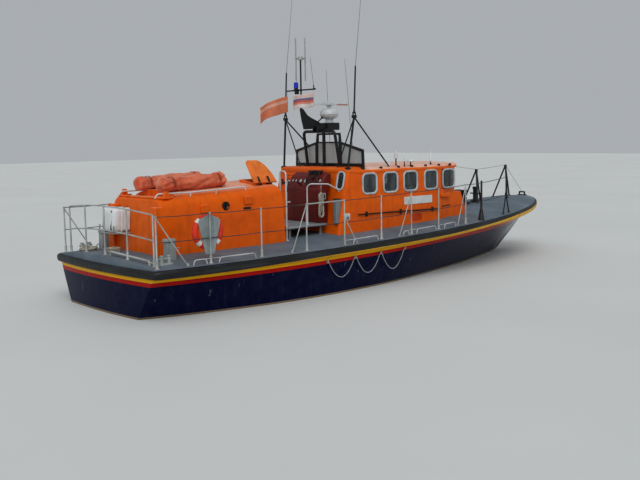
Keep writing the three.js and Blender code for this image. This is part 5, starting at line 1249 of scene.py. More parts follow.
def roll_surface(side, seed):
    """A long bag: ellipses along x that swell between the straps, with creases as sums of sines."""
    rng = np.random.default_rng(seed)
    # columns: x, half height of the bag, its sideways shift
    table = np.array([[-6.03, 0.02, -0.02], [-6.0, 0.095, -0.02], [-5.88, 0.145, -0.01],
        [-5.72, 0.13, 0.0], [-5.45, 0.135, 0.0], [-5.1, 0.158, 0.0], [-4.85, 0.15, 0.0], [-4.6, 0.14, 0.0],
        [-4.46, 0.115, 0.0], [-4.42, 0.02, 0.0]])
    x = np.concatenate([-6.03 + 0.12 * np.linspace(0, 1, 14) ** 2, np.linspace(-5.9, -4.55, 150),
        -4.42 - 0.12 * np.linspace(1, 0, 14) ** 2])
    size, shift = through(x, table).T
    turn = round_angles(72)
    wrinkle = np.zeros((len(x), 72))
    for _ in range(26):
        waves, rings = rng.uniform(3, 22), rng.integers(1, 9)
        wrinkle += 0.0032 * rng.uniform(0.3, 1) * np.sin(waves * x[:, None] + rings * turn
            + rng.uniform(0, 6.28))
    folds = 0.012 * np.maximum(0, np.sin(38 * x[:, None] + 2.2 * np.sin(3 * x[:, None]) + 1.3 * turn)) ** 5
    radius = 1 + (wrinkle - folds * (0.5 + 0.5 * np.cos(turn + 1.0))) / np.maximum(size, 0.05)[:, None]
    y = side * BAG_Y + shift[:, None] + size[:, None] * 1.25 * np.cos(turn) * radius
    lift = np.array([roof_height(v, BAG_Y) for v in np.maximum(x, BAG_AFT)]) + BAG_LIFT
    z = lift[:, None] + size[:, None] * np.sin(turn) * radius
    floor = np.array([[roof_height(max(u, BAG_AFT), w) for w in row] for u, row in zip(x, y)]) + 0.004
    return lofted(np.stack([np.broadcast_to(x[:, None], y.shape), y, np.maximum(z, floor)], 2))


for side, suffix, seed in ((-1, "stbd", 3), (1, "port", 8)):
    bag = mesh_of(f"boat_bag_{suffix}", [roll_surface(side, seed)],
        canvas(f"bag_canvas_{suffix}", "#cf5a36", "#e39270"), sharp=60)
    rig.padded(bag, fill=0.9)
    fit(bag, "hull", "roll_cloth", f"boat_roll_{suffix}")
straps = []
for side in (-1, 1):
    for x in (-5.72, -4.62):
        turn = np.linspace(-0.28, np.pi + 0.28, 26)
        high = 0.142 if x < -5 else 0.146
        lift = roof_height(x, BAG_Y) + BAG_LIFT
        ring = np.stack([np.full(26, x), side * BAG_Y + (high * 1.25 + 0.006) * np.cos(turn),
            lift + (high + 0.006) * np.sin(turn)], 1)
        wide = np.stack([ring + [-0.022, 0, 0], ring + [0.022, 0, 0]], 1)
        thin = np.stack([np.full(26, 0.0), np.cos(turn), np.sin(turn)], 1)[:, None] * 0.005
        loop = np.stack([wide[:, 0], wide[:, 1], (wide + thin)[:, 1], (wide + thin)[:, 0]], 1)
        straps.append(lofted(loop))
piece("bag_straps", straps, canvas("webbing", "#8d3a24", "#a9563b"), "roll_cloth")

# The liferaft: a white moulded canister with ribs, which stands against the cabin's after face.
# A cradle of bent grey tube carries it, and two black straps hold it.
def cabin_aft(z):
    """x of the cabin's leaning after face."""
    return CABIN_AFT + CABIN_LEAN * (z - CABIN_FOOT)


raft_white = weathered("raft_shell", "#dfe2e3", rough=0.4, fading=0.25, runs=0.2, bump=0.15, dirt="#5e5b50")
RAFT_Y, RAFT_Z, RAFT_WIDE, RAFT_TALL = 0.44, 1.72, 0.52, 0.48


def raft_surface():
    """A rounded block: outlines from the leaning face out to a domed lid, with a rim at half depth."""
    rings = []
    # columns: distance off the face, how much smaller the outline is
    for off, less in ((0.002, 0.03), (0.012, 0.0), (0.17, 0.0), (0.175, -0.014), (0.2, -0.014),
            (0.205, 0.0), (0.315, 0.004), (0.345, 0.016), (0.365, 0.036), (0.378, 0.075), (0.381, 0.13)):
        ring = rounded(RAFT_WIDE - 2 * less, RAFT_TALL - 2 * less, 0.07, (RAFT_Y, RAFT_Z), 7)
        rings.append(np.stack([cabin_aft(ring[:, 1]) - off, ring[:, 0], ring[:, 1]], 1))
    return lofted(rings)


piece("liferaft_canister", [raft_surface()], raft_white, "white_case", "liferaft_case")
raft_bands = []
for y in (RAFT_Y - 0.15, RAFT_Y + 0.15):
    z0, z1 = RAFT_Z - RAFT_TALL / 2 - 0.004, RAFT_Z + RAFT_TALL / 2 + 0.004
    path = bent([(cabin_aft(z0) - 0.01, z0), (cabin_aft(z0) - 0.372, z0 + 0.03),
        (cabin_aft(z1) - 0.372, z1 - 0.03), (cabin_aft(z1) - 0.01, z1)], 0.06)
    band = [np.stack([path[:, 0], np.full(len(path), y + w), path[:, 1]], 1) for w in (-0.02, 0.02)]
    out = np.gradient(path, axis=0)
    out = np.stack([out[:, 1], 0 * out[:, 0], -out[:, 0]], 1) / np.linalg.norm(out, axis=1)[:, None] * 0.012
    raft_bands.append(lofted(np.stack([band[0] - out * 0.6, band[1] - out * 0.6, band[1] + out,
        band[0] + out], 1)))
black("liferaft_straps", raft_bands)
grey_paint = weathered("grey_paint", "#959b9a", rough=0.5, fading=0.3, runs=0.35, bump=0.15, dirt="#4a473f")
CRADLE_Z, CRADLE_SIDES = 1.46, (0.155, 0.725)
under = cabin_aft(CRADLE_Z)
cradle = [tube(bent([(under - 0.01, y, CRADLE_Z), (under - 0.39, y, CRADLE_Z),
    (cabin_aft(1.62) - 0.39, y, 1.62)], 0.05), 0.014, 12) for y in CRADLE_SIDES]
cradle.append(tube([(under - 0.385, y, CRADLE_Z + 0.002) for y in CRADLE_SIDES], 0.014, 12))
piece("liferaft_cradle", cradle, grey_paint, "pale_metal")

# The wheelhouse: a welded aluminium box painted orange, lower than the mast and reached from the deck aft.
# Its walls lean in a little, its after end leans forward, and a lower trunk runs ahead of the front windows.
HOUSE_AFT_FOOT, HOUSE_AFT_TOP, HOUSE_FORWARD, TRUNK_FORWARD = -1.87, -1.56, 2.38, 2.69
HOUSE_HALF, HOUSE_HALF_TOP, HOUSE_FRONT_HALF, QUARTER_X = 1.235, 1.205, 1.075, 1.62
HOUSE_WALL, HOUSE_BASE, EAVES, LEDGE = 0.045, 0.85, 2.5, 1.89
AFT_LEAN_FROM, TRUNK_HALF = 1.15, 1.15


def house_aft(z):
    """x of the wheelhouse's leaning after face."""
    return HOUSE_AFT_FOOT + (HOUSE_AFT_TOP - HOUSE_AFT_FOOT) * (z - AFT_LEAN_FROM) / (EAVES - AFT_LEAN_FROM)


def house_half(z):
    """Half breadth of the wheelhouse at a height."""
    return HOUSE_HALF + (HOUSE_HALF_TOP - HOUSE_HALF) * (z - HOUSE_BASE) / (EAVES - HOUSE_BASE)


def house_walls(inset=0.0, low=HOUSE_BASE, high=EAVES):
    """The walls as outlines at rising levels, each rounded at its corners."""
    rings = []
    for z in np.linspace(low, high, 24):
        aft, half = house_aft(z) + inset, house_half(z) - inset
        ahead, front = HOUSE_FORWARD - inset, HOUSE_FRONT_HALF - inset
        ring = corners_rounded([(aft, -half), (QUARTER_X, -half), (ahead, -front), (ahead, front),
            (QUARTER_X, half), (aft, half)], 0.075 - inset * 0.5)
        rings.append(np.column_stack([ring, np.full(len(ring), z)]))
    return lofted(rings)


def trunk_block(inset=0.0):
    """The low trunk ahead of the wheelhouse: a side outline carried across, with softened edges."""
    side = corners_rounded([(HOUSE_FORWARD - 0.5, HOUSE_BASE), (TRUNK_FORWARD - inset, HOUSE_BASE),
        (TRUNK_FORWARD - inset, 1.53), (TRUNK_FORWARD - 0.18 - inset * 0.7, LEDGE - inset),
        (HOUSE_FORWARD - 0.5, LEDGE - inset)], 0.04)
    return extruded(side, inset - TRUNK_HALF, TRUNK_HALF - inset, "xz", 0.02)


SIDE_WINDOWS = np.array([[-0.865, 0.48], [-0.17, 0.5], [0.53, 0.5], [1.275, 0.5], [1.95, 0.48]])
FRONT_WINDOWS = np.array([[-0.69, 0.56], [0.0, 0.6], [0.69, 0.56]])
WINDOW_Z, WINDOW_TALL, WINDOW_CORNER, WINDOW_LIP = 2.23, 0.49, 0.13, 0.03
AFT_WINDOW = (-1.01, 2.32, 0.19, 0.37, 0.08)
DOOR_Y, DOOR_Z, DOOR_GAP = (0.4, 1.00), (1.42, 2.4), 0.008

house = mesh_of("wheelhouse_walls", [house_walls()], cabin_orange_with_top_highlight, sharp=40)
carve(house, [trunk_block()], "UNION")
carve(house, [trunk_block(HOUSE_WALL)])
carve(house, [house_walls(HOUSE_WALL, HOUSE_BASE - 0.1, EAVES + 0.2)])
holes = []
for x, width in SIDE_WINDOWS:
    hole = rounded(width - 2 * WINDOW_LIP, WINDOW_TALL - 2 * WINDOW_LIP, WINDOW_CORNER - WINDOW_LIP,
        (x, WINDOW_Z), 7)
    holes += [extruded(hole, -1.5, -0.9, "xz"), extruded(hole, 0.9, 1.5, "xz")]
for y, width in FRONT_WINDOWS:
    hole = rounded(width - 2 * WINDOW_LIP, WINDOW_TALL - 2 * WINDOW_LIP, WINDOW_CORNER - WINDOW_LIP,
        (y, WINDOW_Z), 7)
    holes.append(extruded(hole, 2.2, 2.6, "yz"))
holes.append(extruded(rounded(AFT_WINDOW[2], AFT_WINDOW[3], AFT_WINDOW[4], AFT_WINDOW[:2], 7), -2.4, -1.2,
    "yz"))
holes.append(box((-2.4, DOOR_Y[0], DOOR_Z[0]), (-1.3, DOOR_Y[1], DOOR_Z[1])))
carve(house, holes)
refinish(house, cabin_orange_with_top_highlight, weathered("house_lining", "#8d9293", rough=0.7, fading=0.2, runs=0.0))
# The lining covers the faces that look into the house: those more than most of a wall's thickness inside
x, y, z = read(house.data.polygons, "center").T
wide = np.interp(x, [QUARTER_X, HOUSE_FORWARD], [1.0, HOUSE_FRONT_HALF / HOUSE_HALF]) * house_half(z)
wide = np.where((z < LEDGE) & (x > HOUSE_FORWARD - 0.5), np.maximum(wide, TRUNK_HALF), wide)
ahead = np.where(z < LEDGE - HOUSE_WALL, TRUNK_FORWARD, HOUSE_FORWARD)
skin = HOUSE_WALL * 0.7
inner = (np.abs(y) < wide - skin) & (x > house_aft(z) + skin) & (x < ahead - skin)
house.data.polygons.foreach_set("material_index", inner.astype(np.int32))
fit(house, "hull", "cabin_paint", "wheelhouse")

# The windows: toughened, tinted panes in thick pale grey rubber seals with round corners.
# The seals grip the edges of holes cut in the walls, and stand a little proud of them.


def seal(outline, profile, lay):
    """A closed profile of (outward, off the wall) carried round an outline, laid on a wall by a function."""
    outline, profile = np.asarray(outline, float), np.asarray(profile, float)
    along = np.roll(outline, -1, 0) - np.roll(outline, 1, 0)
    out = np.stack([along[:, 1], -along[:, 0]], 1) / np.linalg.norm(along, axis=1)[:, None]
    flat = outline[:, None] + out[:, None] * profile[None, :, :1]
    return grid(lay(flat[..., 0], flat[..., 1], np.broadcast_to(profile[:, 1], flat.shape[:2])),
        wrap_rows=True, wrap_columns=True)


def on_side(side):
    """Lays (x, z, off the wall) on a side wall."""
    return lambda a, b, off: np.stack([a, side * (house_half(b) + off), b], -1)


def on_front(a, b, off):
    """Lays (y, z, off the wall) on the front."""
    return np.stack([HOUSE_FORWARD + off, a, b], -1)


def on_back(a, b, off):
    """Lays (y, z, off the wall) on the leaning after face."""
    return np.stack([house_aft(b) - off, a, b], -1)


def laid(line, off, lay):
    """A flat line laid on a wall, at a distance off it."""
    return lay(*np.asarray(line, float).T, np.full(len(line), off))


def pane(outline, depth, lay, thick=0.006):
    """A flat pane in an outline, at a depth in the wall."""
    return lofted([laid(outline, -depth, lay), laid(outline, -depth - thick, lay)])


SEAL_PROFILE = [(-0.022, -0.012), (-0.02, 0.01), (-0.01, 0.02), (0.004, 0.024), (0.018, 0.02),
    (0.027, 0.01), (0.028, 0.0), (0.0, -0.004)]
seals, panes = [], []
for lay, table in ((on_side(-1), SIDE_WINDOWS), (on_side(1), SIDE_WINDOWS), (on_front, FRONT_WINDOWS)):
    for middle, width in table:
        rim = rounded(width - 0.035, WINDOW_TALL - 0.035, WINDOW_CORNER - 0.02, (middle, WINDOW_Z), 9)
        seals.append(seal(rim, SEAL_PROFILE, lay))
        panes.append(pane(rounded(width - 0.07, WINDOW_TALL - 0.07, WINDOW_CORNER - 0.035,
            (middle, WINDOW_Z), 9), 0.002, lay))
aft_rim = rounded(AFT_WINDOW[2] + 0.02, AFT_WINDOW[3] + 0.02, AFT_WINDOW[4] + 0.01, AFT_WINDOW[:2], 9)
seals.append(seal(aft_rim, SEAL_PROFILE, on_back))
panes.append(pane(rounded(AFT_WINDOW[2] - 0.01, AFT_WINDOW[3] - 0.01, AFT_WINDOW[4], AFT_WINDOW[:2], 9),
    0.002, on_back))
seal_grey = weathered("window_seal", "#b3babf", rough=0.55, fading=0.35, runs=0.25, bump=0.12,
    dirt="#4e4f4c")
piece("window_seals", seals, seal_grey, "pale_metal", sharp=50)


def glazing(name, tint, dust, share=0.35, rough=0.04):
    """Tinted glass: part of the light passes, and a dusty tint takes the rest."""
    made, tree, shader = material(name)
    smear = spread(tree, cloud(tree, 0.3, 5.0, stretch=(1.0, 1.0, 0.3)), 0.35, 0.75)
    tree.links.new(mixed(tree, smear, shade(tint), shade(dust)), shader.inputs["Base Color"])
    tree.links.new(sum_of(tree, "MULTIPLY_ADD", smear, 0.1, rough), shader.inputs["Roughness"])
    shader.inputs["Specular IOR Level"].default_value = 0.9
    clear = put(tree, "ShaderNodeBsdfTransparent", {"Color": (0.72, 0.78, 0.8, 1)})
    see = put(tree, "ShaderNodeMixShader", {0: sum_of(tree, "MULTIPLY_ADD", smear, 0.25, 1 - share - 0.2),
        1: clear.outputs[0], 2: shader.outputs[0]})
    tree.links.new(see.outputs[0], tree.nodes["Material Output"].inputs["Surface"])
    return made


window_glass = glazing("window_glass", "#33393c", "#737b7d", 0.4)
piece("window_panes", panes, window_glass, "pale_metal")

# The wheelhouse roof: one crowned aluminium plate with a rounded edge, welded down over the walls.
# Ahead of the windscreen its top carries a painted pale salmon highlight for the sky's reflection. Black pads sit
# along its edges.
ROOF_PLAN = [(-1.57, -1.13), (-1.5, -1.215), (QUARTER_X, -1.215), (2.47, -1.08), (2.49, 0.0), (2.47, 1.08),
    (QUARTER_X, 1.215), (-1.5, 1.215), (-1.57, 1.13)]
ROOF_CROWN = np.array([[0.0, 0.14], [0.7, 0.118], [1.15, 0.078], [1.215, 0.045]])


def crown(y):
    """Height of the roof's top over the eaves."""
    return through(np.abs(np.atleast_1d(y)), ROOF_CROWN)[:, 0]


def roof_surface():
    """Outlines that grow from the roof's middle to its rim and turn under, laid over the crown."""
    plan = corners_rounded(ROOF_PLAN, 0.1, 7)
    middle = np.array([0.45, 0.0])
    rings = []
    for share in np.concatenate([np.linspace(0.02, 0.96, 26), [0.975]]):
        ring = middle + (plan - middle) * share
        rings.append(np.column_stack([ring, EAVES + crown(ring[:, 1])]))
    edge = np.minimum(EAVES + crown(plan[:, 1]), EAVES + 0.075)
    for k in np.linspace(0.35, 1.0, 5):
        ring = middle + (plan - middle) * (0.975 + 0.025 * math.sin(k * math.pi / 2))
        under = EAVES + crown(ring[:, 1])
        turned_under = 1 - math.cos(k * math.pi / 2)
        rings.append(np.column_stack([ring, under + (edge - 0.028 - under) * turned_under]))
    rings.append(np.column_stack([plan, np.full(len(plan), EAVES + 0.001)]))
    return lofted(rings)


def roof_colour_with_sky_highlight(tree):
    """Orange, with a painted pale salmon highlight on the roof's top ahead of the windscreen, standing for the sky's
    reflection there.
    """
    # painted highlight mask: the roof's top forward of the windscreen
    bare = times(tree, spread(tree, position(tree, "X"), -1.05, -0.9),
        spread(tree, position(tree, "Z"), 2.535, 2.555))
    patch = spread(tree, cloud(tree, 0.5, 6.0), 0.25, 0.6)
    bleached = mixed(tree, patch, shade("#e39a7c"), shade("#efbba6"))
    return mixed(tree, bare, shade(ORANGE), bleached)


roof_orange_with_sky_highlight = orange_paint("roof_paint", roof_colour_with_sky_highlight, fading=0.3, runs=0.05, dirt="#6e5a48")
piece("wheelhouse_roof_plate", [roof_surface()], roof_orange_with_sky_highlight, "cabin_paint", "wheelhouse_roof", sharp=45)


def roof_top(x, y):
    """Height of the wheelhouse roof's upper side."""
    return EAVES + float(crown(y)[0])


roof_trim = []
for x in (-1.05, -0.45, 0.15, 0.62, 1.12, 1.62, 2.05):
    for side in (-1, 1):
        roof_trim.append(slab(0.075, 0.04, 0.012, (x, side * 1.17), EAVES + 0.05,
            EAVES + 0.105, "xy", 0.006))
black("roof_pads", roof_trim)

# The wheelhouse door: an orange aluminium leaf with a raised border and a small sealed window.
# It hangs on two pins at its port edge, in lugs welded to the leaning after wall.


def door_leaf():
    """A block that follows the leaning face, with a raised border round its panel."""
    outline = rounded(DOOR_Y[1] - DOOR_Y[0] - 2 * DOOR_GAP, DOOR_Z[1] - DOOR_Z[0] - 2 * DOOR_GAP, 0.03,
        ((DOOR_Y[0] + DOOR_Y[1]) / 2, (DOOR_Z[0] + DOOR_Z[1]) / 2))
    rings = []
    for off, less in ((-0.03, 0.0), (-0.003, 0.0), (0.0, 0.003), (0.0, 0.03), (-0.006, 0.036)):
        ring = (outline - outline.mean(0)) * (1 - 2 * less / np.ptp(outline, axis=0)) + outline.mean(0)
        rings.append(laid(ring, off, on_back))
    return lofted(rings)


door = mesh_of("door_leaf", [door_leaf()], cabin_orange_with_top_highlight, sharp=40)
DOOR_WINDOW_AT = (0.7, 2.12)
door_window = rounded(0.28, 0.32, 0.07, DOOR_WINDOW_AT, 7)
carve(door, [extruded(door_window, -2.4, -1.2, "yz")])
door_seal = seal(door_window, [(-0.02, -0.01), (-0.018, 0.006), (0.0, 0.011), (0.012, 0.006),
    (0.014, 0.0)], on_back)
door.data.materials.clear()
door.data.materials.append(cabin_orange_with_top_highlight)
fit(door, "wheelhouse_door", "cabin_paint", "wheelhouse_door")
piece("door_seal", [door_seal], seal_grey, "pale_metal", body="wheelhouse_door", sharp=50)
piece("door_pane", [pane(rounded(0.275, 0.315, 0.068, DOOR_WINDOW_AT, 7), 0.004, on_back)], window_glass,
    "pale_metal", body="wheelhouse_door")
DOOR_SLOPE = np.array([HOUSE_AFT_TOP - HOUSE_AFT_FOOT, 0, EAVES - AFT_LEAN_FROM])
DOOR_SLOPE /= np.linalg.norm(DOOR_SLOPE)
door_hinges, door_lugs = [], []
for z in (1.56, 2.23):
    at = np.array([house_aft(z) - 0.026, DOOR_Y[1] + 0.008, z])
    door_hinges.append(tube([at - DOOR_SLOPE * 0.045, at + DOOR_SLOPE * 0.045], 0.011, 16))
    door_hinges.append(extruded(oblong(at[1] - 0.09, at[1] - 0.002, z - 0.025, z + 0.025),
        at[0] - 0.006, at[0] + 0.03, "yz", 0.003))
    door_lugs.append(tube([at + DOOR_SLOPE * 0.0455, at + DOOR_SLOPE * 0.085], 0.011, 16))
    lug = at + DOOR_SLOPE * 0.062
    door_lugs.append(extruded(oblong(lug[1], lug[1] + 0.04, lug[2] - 0.014, lug[2] + 0.014),
        lug[0] - 0.008, lug[0] + 0.04, "yz", 0.002))
door_handle = laid([(0.455, 1.86), (0.455, 1.99)], 0.0, on_back)
handle_path = bent([door_handle[0], door_handle[0] - [0.045, 0, 0], door_handle[1] - [0.045, 0, 0],
    door_handle[1]], 0.02)
door_hinges.append(tube(handle_path, 0.009, 10))
black("door_hinges", door_hinges, body="wheelhouse_door")
black("door_lugs", door_lugs)

# Things fixed to the wheelhouse's sides: a blank white name plate, an air box and a band under the eaves.
# A black boathook and a shorter pole lie along the wall, the long one in three clips.
BAND_TOP, HOOK_OFF, CLIP_HALF = 2.505, 0.045, (0.03, 0.055)
plates, boxes, hooks, clips = [], [], [], []
for side in (-1, 1):
    lay = on_side(side)

    def panel(x0, x1, z0, z1, off, corner, edge=0.004):
        """A raised panel on the side wall: its outline stepped in towards its face."""
        width, tall, at = x1 - x0, z1 - z0, ((x0 + x1) / 2, (z0 + z1) / 2)
        rings = [(0.0, -0.012), (0.0, off - edge), (edge, off), (min(width, tall) / 2.2, off)]
        made = []
        for less, height in rings:
            ring = rounded(width - 2 * less, tall - 2 * less, max(corner - less, 0.001), at)
            made.append(laid(ring, height, lay))
        return lofted(np.stack(made))

    plates.append(panel(0.29, 1.3, 1.665, 1.855, 0.012, 0.02))
    boxes.append(panel(1.62, 1.98, 1.77, 1.87, 0.045, 0.045, 0.012))
    boxes.append(panel(-1.3, 2.1, BAND_TOP - 0.025, BAND_TOP, 0.014, 0.01))
    pole = smooth([(-1.29, 1.54), (-0.6, 1.533), (0.1, 1.522), (0.8, 1.51), (1.52, 1.5)], 40)
    hooks.append(tube(laid(pole, HOOK_OFF, lay), 0.017, 12))
    short = smooth([(1.66, 1.545), (1.8, 1.555), (1.96, 1.56)], 10)
    hooks.append(tube(laid(short, 0.035, lay), 0.014, 12))
    for x in (-1.0, 0.15, 1.3):
        z = float(np.interp(x, pole[:, 0], pole[:, 1]))
        clips.append(panel(x - CLIP_HALF[0], x + CLIP_HALF[0], z - CLIP_HALF[1], z + CLIP_HALF[1], 0.03,
            0.01))
piece("name_plates", plates, weathered("plate_white", "#d3d6d5", rough=0.4, fading=0.2, runs=0.3,
    dirt="#6a6459"), "white_plastic")
piece("house_boxes", boxes, cabin_orange_with_top_highlight, "cabin_paint")
black("boathooks", hooks)
black("boathook_clips", clips)

# The guard rails: galvanised stanchions in welded sockets, with dark plastic-covered wire rove through them.
# Raking struts stay the end posts, and low tubular foot rails stand along the deck's edge.
RAIL_INBOARD, RAIL_HEIGHT = 0.13, 0.97
WIRE_HEIGHTS = (0.48, RAIL_HEIGHT - 0.025)
POST_RADIUS, SHEATH_RADIUS = 0.016, 0.0075
STANCHIONS = (-6.93, -5.81, -4.65, -3.52, -2.48, -1.38, -0.4, 0.56, 1.63)
GATE = (-3.52, -2.48)
# columns: x of the stanchion, height at which the strut leaves it, x of the strut's foot
STRUTS = ((-6.93, 0.93, -6.3), (-3.52, 0.93, -3.9), (-2.48, 0.6, -2.12), (-0.4, 0.93, -0.8),
    (1.63, 0.93, 1.3))
BOW_POST_X, LEG_HEAD_X, LEG_FEET = 2.33, 3.65, (3.48, 3.85)
# columns: after end, forward end of each foot rail
FOOT_RAILS = ((-6.2, -5.9), (-5.65, -4.8), (-2.25, -1.5), (-0.7, -0.5), (-0.25, 0.45), (0.75, 1.2))

sheath = weathered("wire_sheath", "#2b2e31", rough=0.5, fading=0.4, runs=0.0, bump=0.1, dirt="#77797a")
foot_white = weathered("foot_rail_white", "#b4b9bb", rough=0.4, fading=0.4, runs=0.3, bump=0.1,
    dirt="#5b5a52")


def rail_point(side, x, rise, out=0.0):
    """A point over the line of the stanchions, at a height above the deck."""
    y = side * (float(deck_half(x)) - RAIL_INBOARD + out)
    return np.array([x, y, deck_z(x, y) + rise])


def socket(foot):
    """A stanchion's socket: a bolted flange and a short thick tube with a collar."""
    return turned([(0.052, 0.0), (0.052, 0.01), (0.031, 0.014), (0.027, 0.02), (0.025, 0.115),
        (0.029, 0.118), (0.029, 0.135), (0.02, 0.14)], foot, sides=16)


def stanchion(foot, height):
    """A tube that tapers a little to a ball, with a sleeve at each wire."""
    rings = [turned([(POST_RADIUS + 0.003, 0.0), (POST_RADIUS, 0.3), (POST_RADIUS - 0.002, height - 0.02),
        (0.01, height - 0.008), (0.0, height)], foot, sides=14)]
    for rise in WIRE_HEIGHTS:
        rings.append(turned([(0.0, -0.016), (POST_RADIUS + 0.006, -0.014), (POST_RADIUS + 0.006, 0.014),
            (0.0, 0.016)], np.asarray(foot) + [0, 0, rise], sides=12))
    return rings


def wire_between(a, b, sag=0.012, radius=SHEATH_RADIUS):
    """A tight wire: a shallow parabola between two points."""
    t = np.linspace(0, 1, 14)[:, None]
    path = a + (b - a) * t
    path[:, 2] -= 4 * sag * (t * (1 - t))[:, 0]
    return tube(path, radius, 8)


for side, suffix in SIDES:
    posts, wires, lows = [], [], []
    for x in STANCHIONS:
        posts += stanchion(rail_point(side, x, 0), RAIL_HEIGHT)
        posts.append(socket(rail_point(side, x, -0.004)))
    for rise in WIRE_HEIGHTS:
        for a, b in zip(STANCHIONS, STANCHIONS[1:]):
            if (a, b) == GATE and rise > 0.5:
                posts.append(tube([rail_point(side, a, rise), rail_point(side, b, rise)], 0.0145, 14))
            else:
                wires.append(wire_between(rail_point(side, a, rise), rail_point(side, b, rise)))
        ends = ((STANCHIONS[-1], rise), (BOW_POST_X, rise * 0.98), (LEG_HEAD_X, rise))
        for (a, high), (b, low) in zip(ends, ends[1:]):
            wires.append(wire_between(rail_point(side, a, high), rail_point(side, b, low)))
    for x, rise, foot in STRUTS:
        posts.append(tube([rail_point(side, x, rise), rail_point(side, foot, -0.01)], 0.0115, 12))
        posts.append(turned([(0.034, 0.0), (0.034, 0.01), (0.018, 0.016), (0.016, 0.05), (0.0, 0.055)],
            rail_point(side, foot, -0.004), sides=14))
    for aft, forward in FOOT_RAILS:
        corners = [(aft, -0.02), (aft + 0.03, 0.095), (forward - 0.03, 0.095), (forward, -0.02)]
        lows.append(tube(bent([rail_point(side, x, rise, 0.02) for x, rise in corners], 0.05), 0.0135, 12))
        near_posts = [x for x in STANCHIONS if x > aft - 0.4]
        start, end = (near_posts[0], aft + 0.03) if near_posts[0] < aft else (forward - 0.03, near_posts[0])
        lows.append(tube([rail_point(side, start, 0.09), rail_point(side, end, 0.095, 0.02)], 0.008, 8))
    piece(f"stanchions_{suffix}", posts, galvanised, "pale_metal", f"guard_rail_{suffix}")
    piece(f"guard_wires_{suffix}", wires, sheath, "black_metal")
    piece(f"foot_rails_{suffix}", lows, foot_white, "white_plastic")
    bow = [turned([(0.085, 0.0), (0.085, 0.012), (0.072, 0.03), (0.044, 0.24), (0.03, 0.27), (0.026, 0.3),
        (0.024, 0.965), (0.014, 0.985), (0.0, 0.988)], rail_point(side, BOW_POST_X, -0.004), sides=20)]
    head = rail_point(side, LEG_HEAD_X, 0.5)
    bow += [tube([rail_point(side, x, -0.02), head], 0.017, 12) for x in LEG_FEET]
    bow.append(tube([head - [0, 0, 0.01], rail_point(side, LEG_HEAD_X, 1.0)], 0.017, 12))
    bow += [turned([(0.045, 0.0), (0.045, 0.01), (0.024, 0.018), (0.0, 0.02)], rail_point(side, x, -0.004),
        sides=14) for x in LEG_FEET]
    bow.append(turned([(0.0, -0.05), (0.024, -0.045), (0.03, 0.0), (0.024, 0.045), (0.0, 0.05)], head,
        sides=12))
    black(f"bow_posts_{suffix}", bow)

# The stern rail: five galvanised posts in welded sockets, joined by two tubes across the transom.
# A thicker low tube, bent down to the deck at both ends, takes the ropes that lie over it.
STERN_POSTS = (-1.64, -0.82, 0.0, 0.82, 1.64)


def stern_point(y, rise):
    """A point over the curved line of the stern posts, at a height above the deck."""
    x = STERN + 0.17 + TRANSOM_SWEEP * (y / HALF_TRANSOM) ** 2
    return np.array([x, y, deck_z(x, y) + rise])


stern_parts = []
for y in STERN_POSTS:
    foot = stern_point(y, 0)
    stern_parts.append(turned([(POST_RADIUS + 0.002, 0.0), (POST_RADIUS, 0.94), (0.01, 0.955),
        (0.0, 0.96)], foot, sides=14))
    stern_parts.append(socket(foot - [0, 0, 0.004]))
for rise in (0.48, 0.95):
    run = np.linspace(STERN_POSTS[0], STERN_POSTS[-1], 40)
    stern_parts.append(tube([stern_point(y, rise) for y in run], 0.014, 12))
LOW_BAR = (-1.5, -0.2)
low_bar = bent([stern_point(LOW_BAR[0], -0.02), *(stern_point(y, 0.08) for y in LOW_BAR),
    stern_point(LOW_BAR[1], -0.02)], 0.06)
stern_parts.append(tube(low_bar, 0.022, 14))
stern_parts.append(tube([stern_point(y, 0.06) for y in (STERN_POSTS[0], LOW_BAR[0])], 0.012, 10))
piece("stern_rail_tubes", stern_parts, galvanised, "pale_metal", "stern_rail")

# The bollards: two short galvanised steel posts with domed caps, welded to a base plate.
# A bar with rounded ends passes through both. One is bolted down at each quarter.
for side, suffix in SIDES:
    x, y = -6.6, side * 1.56
    z = deck_z(x, y)
    cap = [(0.0, 0.0), (0.04, 0.0), (0.038, 0.135), (0.046, 0.14), (0.046, 0.15), (0.03, 0.158), (0.0, 0.16)]
    post_pair = [turned(cap, (x + d, y, z + 0.012), sides=24) for d in (-0.08, 0.08)]
    post_pair.append(slab(0.28, 0.14, 0.02, (x, y), z - 0.02, z + 0.025, "xy", 0.005))
    post_pair.append(turned([(0.0, 0.0), (0.012, 0.002), (0.017, 0.012), (0.017, 0.288), (0.012, 0.298),
        (0.0, 0.3)], (x - 0.15, y, z + 0.105), (1, 0, 0), 16))
    piece(f"bollard_{suffix}", post_pair, galvanised, "pale_metal", f"stern_bollard_{suffix}")

# The deck vents: tapered boxes of grey painted steel with a lipped lid, welded to the deck.
# Each has a white lever on its forward side. One stands on each side of the aft cabin.
for side, suffix in SIDES:
    rings = []
    # columns: height, half length, half width, middle x, middle |y|
    for z, a, b, mx, my in ((1.02, 0.11, 0.085, -6.31, 1.265), (1.375, 0.0985, 0.0735, -6.3125, 1.2585),
            (1.377, 0.113, 0.088, -6.3125, 1.2585), (1.425, 0.11, 0.085, -6.3125, 1.2575),
            (1.44, 0.095, 0.07, -6.3125, 1.2575)):
        ring = rounded(2 * a, 2 * b, 0.03, (mx, side * my))
        rings.append(np.column_stack([ring, np.full(len(ring), z)]))
    piece(f"deck_vent_box_{suffix}", [lofted(rings)], grey_paint, "pale_metal", f"deck_vent_{suffix}")
    lever = [slab(0.13, 0.03, 0.012, (-6.14, side * 1.25), 1.235, 1.255, "xy", 0.004)]
    piece(f"deck_vent_lever_{suffix}", lever, foot_white, "white_plastic")

